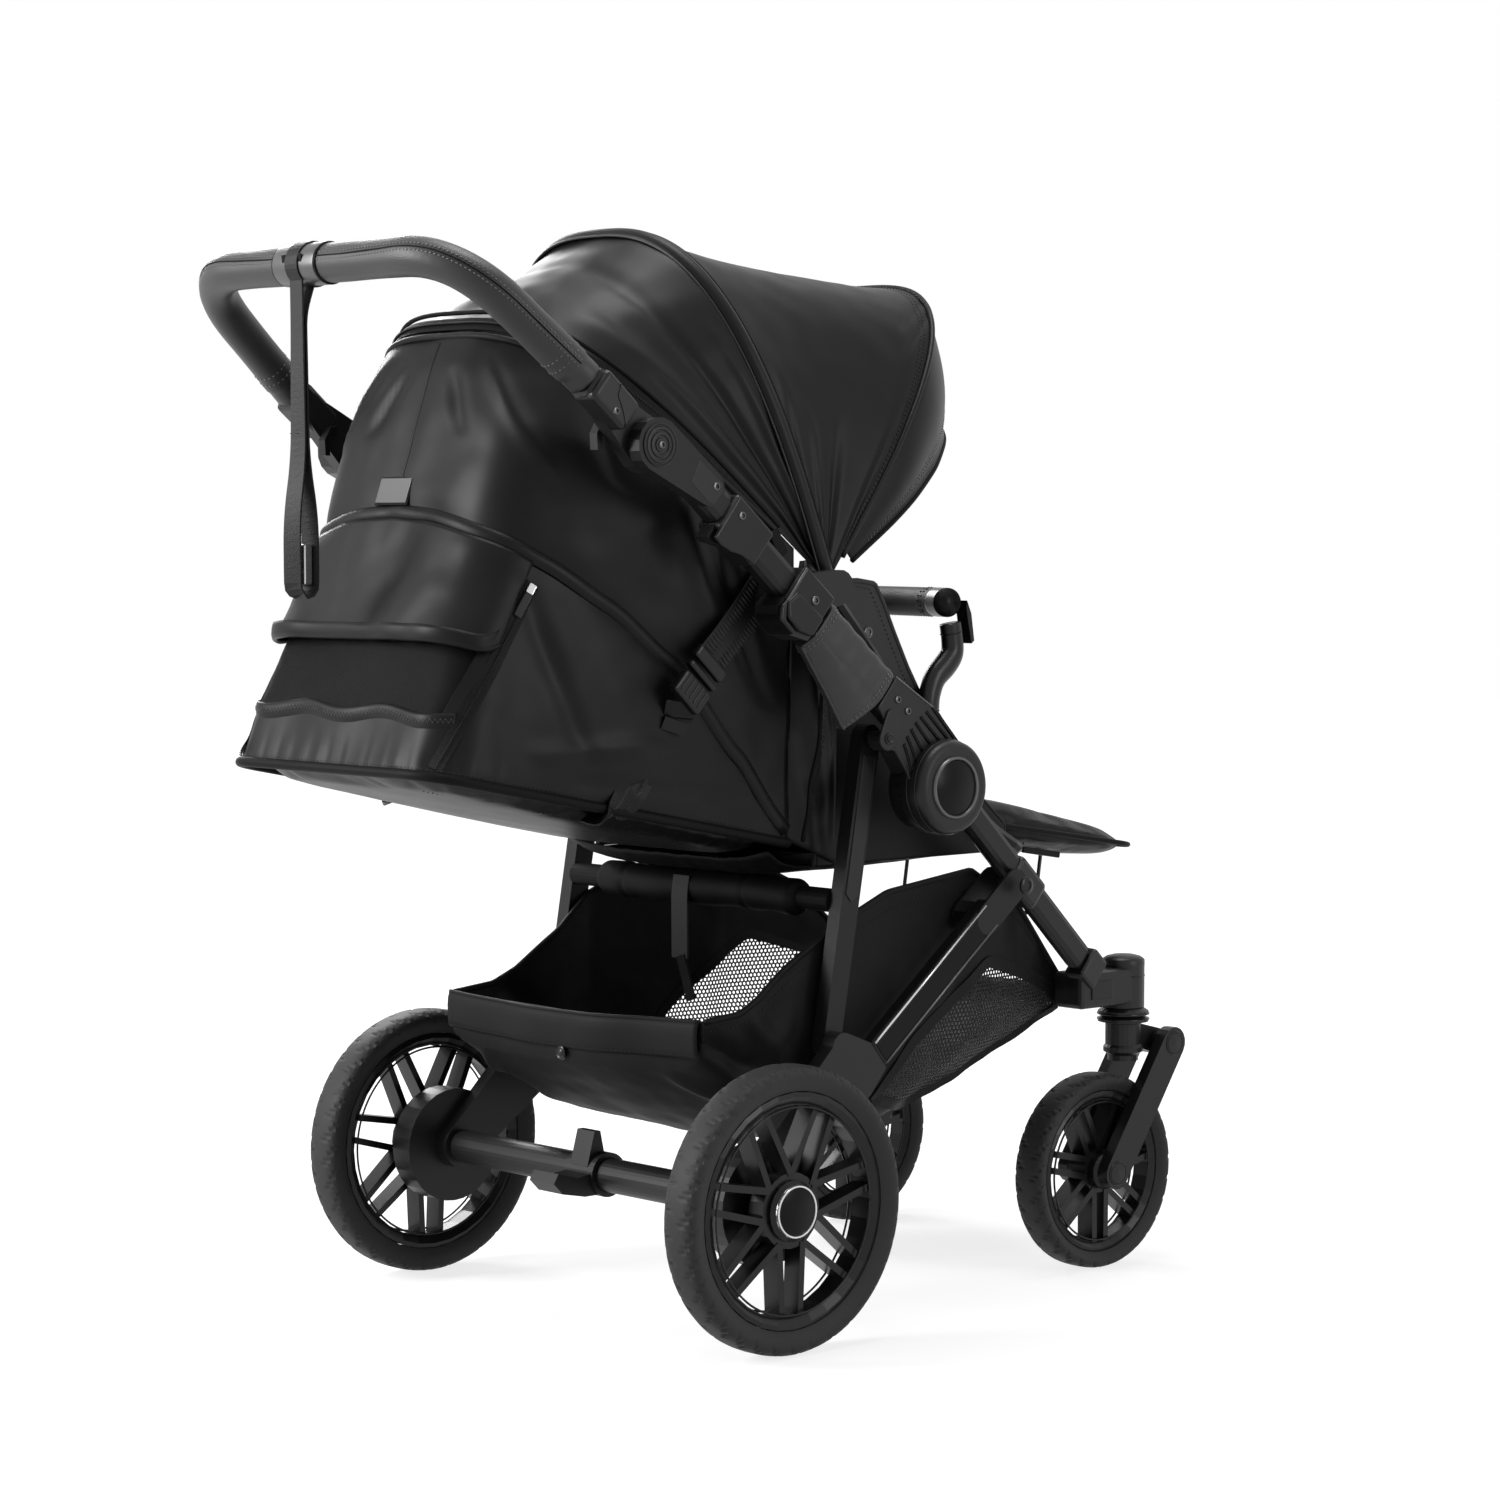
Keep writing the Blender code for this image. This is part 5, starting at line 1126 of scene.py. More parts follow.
def make_wing(name, side):
    """The leather-look wing over the front of the seat wall, piped along its edge."""
    wing = [(0.1600, 0.7150), (0.1605, 0.7600), (0.1700, 0.7655), (0.2080, 0.7665), (0.2330, 0.7630),
            (0.2450, 0.7430), (0.2600, 0.7130), (0.2810, 0.6740), (0.3070, 0.6330), (0.3060, 0.6200),
            (0.2700, 0.6300), (0.2250, 0.6600)]
    plate("seat_wing_" + name, wing, side * 0.1795, 0.0040, LEATHER, "seat", 0.0012, 3)
    edge = even([at(side * 0.1800, y, z) for y, z in wing[1:9]], 60)
    rope("seat_wing_piping_" + name, edge, 0.0030, LEATHER, "seat", 10)
    inner = [p + Vector((side * 0.0022, -0.0090, -0.0050)) for p in edge[6:]]
    stitches("seat_wing_stitches_" + name, [inner], "seat", DARK_THREAD)
    lathe("seat_wing_eyelet_" + name, [(0.0062, -0.0002), (0.0060, 0.0012), (0.0048, 0.0016),
                                       (0.0036, 0.0012), (0.0033, 0.0002), (0.0001, 0.0002)],
          at(side * 0.1816, 0.2225, 0.7121), STEEL, "seat", steps=20, side=side)


BACKREST_RUN = 0.486
BACKREST_RISE = 11


def tub_foot(y):
    """Height of the backrest's underside on its middle line."""
    run = RECLINE_AXIS[0] - y
    sag = 0.026 * (1 - 0.58 * (run / BACKREST_RUN))
    return RECLINE_AXIS[1] + run * math.tan(math.radians(BACKREST_RISE)) - sag - 0.0015


def pad_piece(name, centre, size, tilt, finish, body, edge):
    """A crowned pad with softly pulled-in sides."""
    wide, long = 28, 28
    top, foot = [], []
    turn = Matrix.Rotation(tilt, 3, "X")
    for i in range(long + 1):
        a, b = [], []
        for j in range(wide + 1):
            sx, sy = 2 * j / wide - 1, 2 * i / long - 1
            round_x = math.copysign(abs(sx) ** 0.8, sx)
            rim = (1 - abs(sx) ** 6) * (1 - abs(sy) ** 6)
            pull = 1 - 0.02 * (1 - abs(sy) ** 2) * abs(sx) ** 3
            x, y = size[0] / 2 * round_x * pull, size[1] / 2 * sy
            z = size[2] / 2 * (edge + (1 - edge) * (1 - sx * sx) * (1 - sy * sy)) * max(0.0, rim) ** 0.5
            a.append(at(*centre) + turn @ Vector((x, y, z)))
            b.append(at(*centre) + turn @ Vector((x, y, -z)))
        top.append(a)
        foot.append(b)
    verts = [p for row in top for p in row] + [p for row in foot for p in row]
    count = (wide + 1) * (long + 1)
    upper = grid_faces(long + 1, wide + 1)
    faces = upper + [tuple(count + k for k in f[::-1]) for f in upper]
    item = place_piece(name, verts, faces, finish, body)
    tidy_normals(item, 0.0002)
    return item


LEG_REST_BACK = (0.448, 0.4975)
LEG_REST_SLOPE = math.radians(-9.0)
LEG_REST_LENGTH = 0.258
LEG_REST_HALF_WIDTH = 0.140


def leg_rest_point(x, along, up):
    c, s = math.cos(LEG_REST_SLOPE), math.sin(LEG_REST_SLOPE)
    return at(x, LEG_REST_BACK[0] + along * c - up * s, LEG_REST_BACK[1] + along * s + up * c)


def make_leg_rest_trim():
    half = LEG_REST_HALF_WIDTH - 0.001
    ends = [(half, 0.012), (half, 0.232), (half - 0.024, LEG_REST_LENGTH - 0.0010),
            (-half + 0.024, LEG_REST_LENGTH - 0.0010), (-half, 0.232), (-half, 0.012)]
    line = smooth_line([leg_rest_point(x, a, 0.0) for x, a in ends], 0.02, 6)
    rope("leg_rest_piping", even(line, 120), 0.0030, LINING_AND_SHADE, "leg_rest", 10)
    for k, a in enumerate((0.070, 0.135, 0.195)):
        height = 0.0285 * (1 - 0.62 * a / LEG_REST_LENGTH)
        line = [leg_rest_point(x, a, height * (1 - 0.35 * (x / half) ** 4))
                for x in [half * (i / 12 - 1) * 0.94 for i in range(25)]]
        stitches("leg_rest_channel_%d" % k, [line], "leg_rest", DARK_THREAD)
    box_piece("leg_rest_bar", leg_rest_point(half + 0.0010, 0.088, -0.0235), (0.004, 0.060, 0.007),
              LEG_REST_SLOPE, GLOSS_BLACK_AND_SLOT_SHADE, "leg_rest", 0.0015)
    box_piece("leg_rest_strip", leg_rest_point(half + 0.0010, 0.088, -0.0165), (0.003, 0.060, 0.003),
              LEG_REST_SLOPE, GREY, "leg_rest", 0.0008)


# Basket

def basket_section(y):
    """Rim height, floor height and half width of the basket at y."""
    for a, b in zip(BASKET_STATIONS, BASKET_STATIONS[1:]):
        if y <= b[0]:
            s = max(0.0, (y - a[0]) / (b[0] - a[0]))
            return [p + (q - p) * s for p, q in zip(a[1:], b[1:])]
    return BASKET_STATIONS[-1][1:]


def basket_point(y, turn):
    """A point of the basket's sheet. turn is 0 at the right rim and 1 at the left one, by the floor."""
    rim, floor, half = basket_section(y)
    t = math.pi * turn
    x = half * math.copysign(abs(math.cos(t)) ** 0.35, math.cos(t))
    z = rim + (floor - rim) * abs(math.sin(t)) ** 0.35
    return at(x, y, z)


def basket_row(y, count):
    dense = [basket_point(y, i / 300) for i in range(301)]
    return even(dense, count)


# Folds as start and end in the sheet's (u, v), width and depth
BASKET_FOLDS = (
    ((0.02, 0.30), (0.30, 0.18), 0.03, 0.0030),
    ((0.03, 0.70), (0.30, 0.60), 0.03, -0.0030),
    ((0.05, 0.05), (0.13, 0.20), 0.022, -0.0085),
    ((0.13, 0.20), (0.20, 0.07), 0.020, 0.0075),
    ((0.02, 0.16), (0.11, 0.24), 0.020, 0.0065),
)


def make_basket():
    """Basket cloth with net sides, a turned rear hem, gathered corners, a snap and its binding."""
    places = [-0.0470, -0.0466, -0.0462, -0.0456, -0.0450]
    places += [-0.042 + 0.006 * i for i in range(98)] + [0.5465, 0.5505, 0.5535]
    rows = [basket_row(y, 181) for y in places]
    middle = at(0, 0.24, 0.30)

    def height(u, v, p):
        side = min(u, 1 - u)
        swell = 0.0035 * math.sin(math.pi * min(1.0, v)) * math.sin(math.pi * min(1.0, 2 * u))
        folds = ripple(p, 0.07, 0.0030, 11.0) + ripple(p, 0.022, 0.0008, 13.0)
        for fold in BASKET_FOLDS:
            folds += crease(side, v, *fold)
        return (swell + folds) * min(1.0, side / 0.03 + 0.1)

    moved = out_from(rows, middle, height)
    moved = [[p + Vector((0, rear_pull(p), 0)) for p in row] for row in moved]
    item = cloth_sheet("basket_cloth_shell", moved, CANVAS, "chassis", 0.0016)
    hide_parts("basket")
    outline = [(y, max(z, basket_section(y)[1] + 0.012)) for y, z in NET_OUTLINE]
    open_panels(item, moved, outline)
    for name, side in SIDES:
        make_net("basket_net_" + name, moved, places, outline, side)
        edge = 0 if side > 0 else -1
        rim = [row[edge] for row in moved[5:]]
        rope("basket_rim_" + name, even(rim, 120), 0.0034, CANVAS, "chassis", 10)
        hem = [row[4 if side > 0 else -5] + Vector((side * 0.0014, 0, 0)) for row in moved[5:]]
        stitches("basket_hem_stitches_" + name, [even(hem, 120)], "chassis")
    make_basket_rear()
    make_cross_roll()


# Outline of the net panel in each side of the basket, as (y, z)
NET_OUTLINE = ((0.2185, 0.2205), (0.270, 0.279), (0.353, 0.331), (0.391, 0.355), (0.450, 0.338),
               (0.510, 0.318), (0.534, 0.284), (0.486, 0.249), (0.383, 0.220), (0.282, 0.187))
NET_PITCH = 0.0052


def rear_pull(p):
    """How far the basket's rear right corner hangs forward."""
    share = min(1.0, max(0.0, (p.x - 0.02) / 0.165))
    fade = min(1.0, max(0.0, 1 - (p.y - at(0, -0.047, 0).y) / 0.16))
    return 0.034 * share * share * (3 - 2 * share) * fade * fade * (3 - 2 * fade)


def inside(point, outline):
    found = False
    for (ya, za), (yb, zb) in zip(outline, outline[1:] + outline[:1]):
        if (za > point[1]) != (zb > point[1]) and point[0] < (yb - ya) * (point[1] - za) / (zb - za) + ya:
            found = not found
    return found


def open_panels(item, rows, outline):
    """Take the cloth away where the net panels go."""
    wide = len(rows[0])
    shape = bmesh.new()
    shape.from_mesh(item.data)
    shape.faces.ensure_lookup_table()
    gone = []
    for face in shape.faces:
        j = face.index % (wide - 1)
        middle = face.calc_center_median()
        if min(j, wide - 2 - j) < wide * 0.30 and inside((middle.y - AXLE_Y, middle.z), outline):
            gone.append(face)
    bmesh.ops.delete(shape, geom=gone, context="FACES")
    shape.to_mesh(item.data)
    shape.free()


def wall_point(rows, places, y, z, side, lift=0.0):
    """The point of the basket's side at y and z."""
    i = max(k for k in range(len(places) - 1) if places[k] <= y)
    share = (y - places[i]) / (places[i + 1] - places[i])
    spots = []
    for row in rows[i:i + 2]:
        line = row[:60] if side > 0 else row[::-1][:60]
        spot = line[-1]
        for a, b in zip(line, line[1:]):
            if b.z <= z:
                spot = a.lerp(b, min(1.0, max(0.0, (a.z - z) / max(a.z - b.z, 1e-6))))
                break
        spots.append(spot)
    return spots[0].lerp(spots[1], share) + Vector((side * lift, 0, 0))


def make_net(name, rows, places, outline, side):
    """Net with six-sided holes, and the tape that binds it to the cloth."""
    verts, faces = [], []
    low_y, high_y = min(y for y, z in outline), max(y for y, z in outline)
    low_z, high_z = min(z for y, z in outline), max(z for y, z in outline)
    step = NET_PITCH * math.sqrt(3) / 2
    for i in range(int((high_z - low_z) / step) + 1):
        for j in range(int((high_y - low_y) / NET_PITCH) + 1):
            y, z = low_y + NET_PITCH * (j + 0.5 * (i % 2)), low_z + step * i
            if not inside((y, z), outline):
                continue
            first = len(verts)
            for radius in (NET_PITCH / math.sqrt(3), NET_PITCH * 0.375):
                for k in range(6):
                    t = math.pi / 6 + math.pi / 3 * k
                    a, b = y + radius * math.cos(t), z + radius * math.sin(t)
                    verts.append(wall_point(rows, places, a, b, side))
            faces += [(first + k, first + (k + 1) % 6, first + 6 + (k + 1) % 6, first + 6 + k)
                      for k in range(6)]
    item = place_piece(name, verts, faces, MESH, "chassis")
    solidify(item, 0.0008, 0.0)
    loop = smooth_line([Vector((0, y, z)) for y, z in outline] + [Vector((0, *outline[0]))], 0.012, 5)
    loop = [wall_point(rows, places, p.y, p.z, side, 0.0006) for p in even(loop, 150)]
    centre = sum(loop, Vector()) / len(loop)
    ways = [(centre - p).cross(Vector((1, 0, 0))).cross(Vector((1, 0, 0))) for p in loop]
    ribbon(name + "_binding", loop, ways, 0.0125, 0.0042, CANVAS, "chassis")
    line = [p + (centre - p).normalized() * 0.0044 + Vector((side * 0.0026, 0, 0)) for p in loop]
    stitches(name + "_stitches", [line], "chassis", DARK_THREAD)


def hem_point(x, drop, lift):
    wave = 0.0018 * math.sin(x * 26) + 0.0010 * math.sin(x * 61 + 1.0)
    p = at(x, -0.0490 - lift, 0.3232 - drop - 0.0035 * math.cos(x * 8.5))
    return p + Vector((0, rear_pull(p) + wave, 0))


def make_basket_rear():
    """Deep turned hem across the rear wall, with its lower seam and the snap."""
    across = [-0.1850 + 0.3700 * k / 60 for k in range(61)]
    depths = (0.0000, 0.0015, 0.0060, 0.0140, 0.0220, 0.0300, 0.0350, 0.0368)
    lifts = (0.0000, 0.0020, 0.0034, 0.0040, 0.0038, 0.0034, 0.0026, 0.0006)
    rows = [[hem_point(x, d, w) for x in across] for d, w in zip(depths, lifts)]
    cloth_sheet("basket_rear_hem", rows, CANVAS, "chassis", 0.0016)
    rope("basket_rear_edge", [hem_point(x, -0.0004, 0.0008) for x in across], 0.0022, CANVAS, "chassis", 8)
    stitches("basket_rear_hem_stitches", [[hem_point(x, 0.0345, 0.0034) for x in across]], "chassis",
             DARK_THREAD)
    lathe("basket_snap", [(0.0075, -0.001), (0.0074, 0.0012), (0.0060, 0.0020), (0.0042, 0.0014),
                          (0.0030, 0.0022), (0.0001, 0.0024)], at(0.0, 0, 0), SMOOTH, "chassis", steps=24)
    snap = bpy.data.objects["basket_snap"]
    spot = hem_point(0.005, 0.0430, 0.0016)
    turn = Matrix.Rotation(-math.pi / 2, 4, "Z")
    snap.matrix_world = Matrix.Translation(spot) @ turn @ Matrix.Translation(-at(0, 0, 0))


def make_cross_roll():
    """The padded roll round the seat's cross tube, and the strap that hangs from it into the basket."""
    middle = at(0, 0.150, 0.437)
    points, radii = [], []
    for k in range(91):
        x = -0.160 + 0.320 * k / 90
        groove = sum(math.exp(-((x - g) / 0.003) ** 2) for g in (-0.112, 0.082))
        end = min(1.0, (0.160 - abs(x)) / 0.008)
        points.append(middle + Vector((x, 0.0015 * math.sin(x * 30), 0.001 * math.sin(x * 21))))
        radii.append(0.0130 + 0.0062 * max(0.0, end) ** 0.5 - 0.0022 * groove + 0.0006 * math.sin(x * 90))
    rope("cross_tube_roll", points, 0.019, LINING_AND_SHADE, "seat", 24, radii=radii)
    strap = even(smooth_line([at(-0.012, 0.1330, 0.4500), at(-0.012, 0.1295, 0.4300),
                              at(-0.012, 0.1300, 0.3600)], 0.01), 24)
    ribbon("basket_inner_strap", strap, Vector((1, 0, 0)), 0.026, 0.0020, WEBBING, "seat")
    tip = even([at(-0.010, 0.1290, 0.3640), at(-0.004, 0.1310, 0.3420), at(0.004, 0.1320, 0.3160)], 12)
    ribbon("basket_strap_end", tip, Vector((1, 0, 0)), 0.014, 0.0030, LINING_AND_SHADE, "seat")


# Wheels

def make_tyre(name, node_name, body, centre, side, radius, width, depth, rim, grooves):
    """Tyre with a slotted tread and a raised shoulder line; the faces deep in the slits are painted
    near-black as shade.
    """
    around, half = grooves * 20, width / 2
    profile = [(radius - depth + 0.0006, -rim / 2 * 0.90), (radius - depth * 0.86, -rim / 2 * 1.02),
               (radius - depth * 0.66, -half * 0.93), (radius - depth * 0.46, -half * 0.995),
               (radius - depth * 0.32, -half), (radius - depth * 0.20, -half * 0.95),
               (radius - depth * 0.10, -half * 0.84), (radius - depth * 0.035, -half * 0.66),
               (radius - 0.0002, -half * 0.44), (radius, -half * 0.22)]
    profile = profile + [(radius, 0.0)] + [(r, -h) for r, h in profile[::-1]]
    verts, faces, slit_shade_shares = [], [], []
    for k in range(around):
        turn = 2 * math.pi * k / around
        for r, h in profile:
            across = abs(h) / half
            phase = turn * grooves / (2 * math.pi) + (across ** 3) * 0.9 + (0.5 if h * side < 0 else 0.0)
            gap = abs(phase - round(phase))
            cut = max(0.0, 1 - gap / 0.10) if across > 0.30 and r > radius - depth * 0.36 else 0.0
            slit_shade_shares.append(cut)
            deep = 0.0022 * min(1.0, cut * 1.6)
            shoulder = 0.0007 * math.exp(-((across - 0.97) / 0.03) ** 2) if r > radius - depth * 0.5 else 0.0
            verts.append(centre + Vector((h * (1 - 0.03 * cut) + math.copysign(shoulder, h),
                                          (r - deep) * math.cos(turn), (r - deep) * math.sin(turn))))
    count = len(profile)
    for k in range(around):
        n = (k + 1) % around
        for i in range(count):
            j = (i + 1) % count
            faces.append((k * count + i, k * count + j, n * count + j, n * count + i))
    item = place_piece(name, verts, faces, RUBBER, body)
    # Painted shade: faces deep inside the tread slits take the near-black lining finish, standing in for the
    # shadow in the grooves.
    item.data.materials.append(LINING_AND_SHADE)
    for face in item.data.polygons:
        face.material_index = int(min(slit_shade_shares[k] for k in face.vertices) > 0.0
                                  and sum(slit_shade_shares[k] for k in face.vertices) > 1.6)
    tidy_normals(item)
    item.data.set_sharp_from_angle(angle=math.radians(38))
    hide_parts(node_name)


def make_wheels():
    for name, side in SIDES:
        low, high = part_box("rear_wheel_%s_tyre" % name)
        centre = (low + high) / 2
        body = "rear_wheel_" + name
        make_tyre("rear_tyre_" + name, "rear_wheel_%s_tyre" % name, body, centre, side, **REAR_WHEEL)
        face = 0.0174
        lathe("rear_cap_ring_" + name, [(0.0240, face - 0.001), (0.0240, face + 0.0018),
                                        (0.0246, face + 0.0030), (0.0262, face + 0.0030),
                                        (0.0268, face + 0.0020), (0.0268, face - 0.001)], centre, BRIGHT_AND_HIGHLIGHT,
              body, side=side)
        lathe("rear_cap_" + name, [(0.0239, face - 0.001), (0.0239, face + 0.0014), (0.0222, face + 0.0022),
              (0.0001, face + 0.0026)], centre, GLOSS_BLACK_AND_SLOT_SHADE, body, side=side)
        rim_detail("rear_" + name, centre, side, 0.104, 0.0150, body)

        low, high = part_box("front_wheel_%s_tyre" % name)
        centre = (low + high) / 2
        body = "front_wheel_" + name
        make_tyre("front_tyre_" + name, "front_wheel_%s_tyre" % name, body, centre, side, **FRONT_WHEEL)
        rim_detail("front_" + name, centre, side, 0.077, 0.0130, body)


def rim_detail(name, centre, side, radius, half, body):
    """A raised line round each side of the rim."""
    for way in (-1, 1):
        points = [centre + Vector((way * half, radius * math.cos(t), radius * math.sin(t)))
                  for t in full_turn(96)]
        rope("%s_rim_line_%s" % (name, "in" if way * side < 0 else "out"), points, 0.0012, SMOOTH, body, 6)


# Handle, upper tubes and hub

def handle_at(x, reach):
    away = Vector((0, math.cos(HANDLE_ANGLE), math.sin(HANDLE_ANGLE)))
    normal = Vector((0, away.z, -away.y))
    return at(0, *HANDLE_HINGE) + away * reach + normal * HANDLE_OFFSET + Vector((x, 0, 0))


def handle_path():
    corners = [handle_at(HANDLE_HALF_WIDTH, HANDLE_START), handle_at(HANDLE_SHOULDER_X, HANDLE_REACH),
               handle_at(-HANDLE_SHOULDER_X, HANDLE_REACH), handle_at(-HANDLE_HALF_WIDTH, HANDLE_START)]
    return even(smooth_line(corners, HANDLE_CORNER, 14), 221)


# Rings of the clamp as lift off the leather and place along the bar
CLAMP_BAND = ((0.0, -0.034), (0.0012, -0.0334), (0.0016, -0.031), (0.0016, 0.031), (0.0012, 0.0334),
              (0.0, 0.034))
CLAMP_RING = ((-0.0004, -0.0020), (0.0012, -0.0016), (0.0018, 0.0), (0.0012, 0.0016), (-0.0004, 0.0020))
SLOT_TURN = 0.15
# Outer face of the knuckle's and the hub bracket's covers, and middle of the handle's end cover
COVER_FACE_X = 0.2600
HANDLE_END_X = 0.2440
# Outlines as length along the tube or the handle, and height across it
KNUCKLE_OUTLINE = ((0.000, 0.012), (0.039, 0.0135), (0.044, 0.009), (0.044, -0.009), (0.038, -0.0135),
                   (0.006, -0.013))
PART_LINE = ((0.0, 0.0150), (0.016, 0.003), (0.030, -0.004), (0.034, -0.0150))
# Angle of the seam round the bar, from its top, by share of the bar's length, the same from both ends
SEAM_TURN = ((0.0, 94.0), (0.25, 96.0), (0.34, 108.0), (0.42, 113.0), (0.50, 112.0))


def make_handle():
    """Leather-wrapped bar with seams, plain ends, clamp band, hinges and the wrist strap."""
    path = handle_path()
    body = "handle"
    total = line_length(path)
    radii = []
    for k in range(len(path)):
        near = min(k, len(path) - 1 - k) / (len(path) - 1) * total
        radii.append(HANDLE_RADIUS - (0.0012 if near < 0.020 else 0.0) + 0.0002 * math.sin(k * 0.21))
    bar = rope("handle_leather", path, HANDLE_RADIUS, GREY_LEATHER, body, 28, radii=radii)
    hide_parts("handle_bar")
    away = Vector((0, math.cos(HANDLE_ANGLE), math.sin(HANDLE_ANGLE)))
    under = Vector((0, -away.z, away.y))
    seam, rows = [], [[], []]
    for k in range(6, len(path) - 6):
        ahead = (path[k + 1] - path[k - 1]).normalized()
        outward = ahead.cross(under).normalized()
        turn = from_table(SEAM_TURN, k / (len(path) - 1))
        for row, lean in ((seam, 0), (rows[0], -11), (rows[1], 11)):
            t = math.radians(turn + lean)
            row.append(path[k] + (outward * math.sin(t) - under * math.cos(t)) * (HANDLE_RADIUS + 0.0003))
    rope("handle_seam", seam, 0.0008, LINING_AND_SHADE, body, 6)
    stitches("handle_seam_stitches", rows, body, THREAD, 0.0034, 0.0014, 0.0007)
    for name, side in SIDES:
        ends = path if side > 0 else path[::-1]
        for index, step in enumerate((9, 12)):
            ring_at(ends, step, HANDLE_RADIUS + 0.0003, "handle_end_stitches_%s_%d" % (name, index), body)
    spot = len(path) // 2
    middle = Vector((STRAP_X, path[spot].y, path[spot].z))
    band = [(HANDLE_RADIUS + r, x) for r, x in CLAMP_BAND]
    lathe("handle_clamp_band", band, middle, GREY, body)
    ring = [(HANDLE_RADIUS + r, x) for r, x in CLAMP_RING]
    lathe("handle_clamp_ring", ring, middle + Vector((0.0356, 0, 0)), GLOSS_BLACK_AND_SLOT_SHADE, body)
    lathe("handle_clamp_edge", [(r - 0.0006, h * 0.4) for r, h in ring], middle - Vector((0.0346, 0, 0)),
          SMOOTH, body)
    # Painted shade: two thin gloss black blocks on the clamp band stand for the shadow inside its slots.
    out = Vector((0, -math.cos(SLOT_TURN), math.sin(SLOT_TURN)))
    for k, x in enumerate((-0.0135, 0.0135)):
        mouth = middle + Vector((x, 0, 0)) + out * (HANDLE_RADIUS + 0.0012)
        box_piece("handle_clamp_slot_shade_%d" % k, mouth, (0.0060, 0.0016, 0.0125), SLOT_TURN, GLOSS_BLACK_AND_SLOT_SHADE, body, 0.0007)
    make_hinges()
    make_wrist_strap()


def ring_at(path, step, radius, name, body):
    """A ring of pale stitches round a bar."""
    ahead = (path[step + 1] - path[step - 1]).normalized()
    a = ahead.orthogonal().normalized()
    b = ahead.cross(a)
    line = [path[step] + (a * math.cos(t) + b * math.sin(t)) * radius
            for t in full_turn(48)]
    stitches(name, [line], body, THREAD, 0.0036, 0.0018, 0.0006)


def make_hinges():
    hinge = at(0, *HANDLE_HINGE)
    for name, side in SIDES:
        face = side * KNUCKLE_FACE_X
        centre = hinge + Vector((face, 0, 0))
        rings = [(0.0215, -0.001), (0.0213, 0.0012), (0.0200, 0.0016), (0.0190, 0.0006), (0.0180, 0.0006),
                 (0.0172, 0.0018), (0.0150, 0.0020), (0.0142, 0.0008), (0.0128, 0.0008), (0.0122, 0.0020),
                 (0.0100, 0.0022), (0.0092, 0.0010), (0.0072, 0.0010), (0.0066, 0.0022), (0.0001, 0.0024)]
        lathe("hinge_rings_" + name, rings, centre, PLASTIC, "upper_frame", side=side)
        screw("hinge_screw_" + name, centre + Vector((side * 0.0026, 0, 0)), side, 0.0042, "upper_frame")
        down = (on_tube(1.0) - on_tube(0.0)).normalized()
        across = Vector((0, -down.z, down.y))
        spot = on_tube(0.034, UPPER_TUBE_FACE_X + 0.0042, side) + across * 0.006
        screw("knuckle_screw_" + name, spot, side, 0.0046, "upper_frame")
        cover = [on_tube(s, 0, side) + across * w for s, w in KNUCKLE_OUTLINE]
        plate("knuckle_cover_" + name, side_view(cover), side * COVER_FACE_X, 0.0052, PLASTIC, "upper_frame",
              0.0016, 3)
        neck, tip = handle_at(0, 0.040), handle_at(0, 0.094)
        ahead = (tip - neck).normalized()
        up = Vector((0, -ahead.z, ahead.y))
        shell = [neck + up * 0.0170, tip + up * 0.0178, tip - up * 0.0178, neck - up * 0.0170]
        plate("handle_end_cover_" + name, side_view(shell), side * HANDLE_END_X, 0.0335, PLASTIC, "handle",
              0.0060, 4)
        line = [neck + ahead * a + up * b for a, b in PART_LINE]
        rope("handle_part_line_" + name, moved_x(even(line, 20), side * 0.2608), 0.0006, GLOSS_BLACK_AND_SLOT_SHADE, "handle", 6)
        spot = neck + ahead * 0.022 + up * 0.009 + Vector((side * 0.2606, 0, 0))
        screw("handle_screw_" + name, spot, side, 0.0042, "handle")


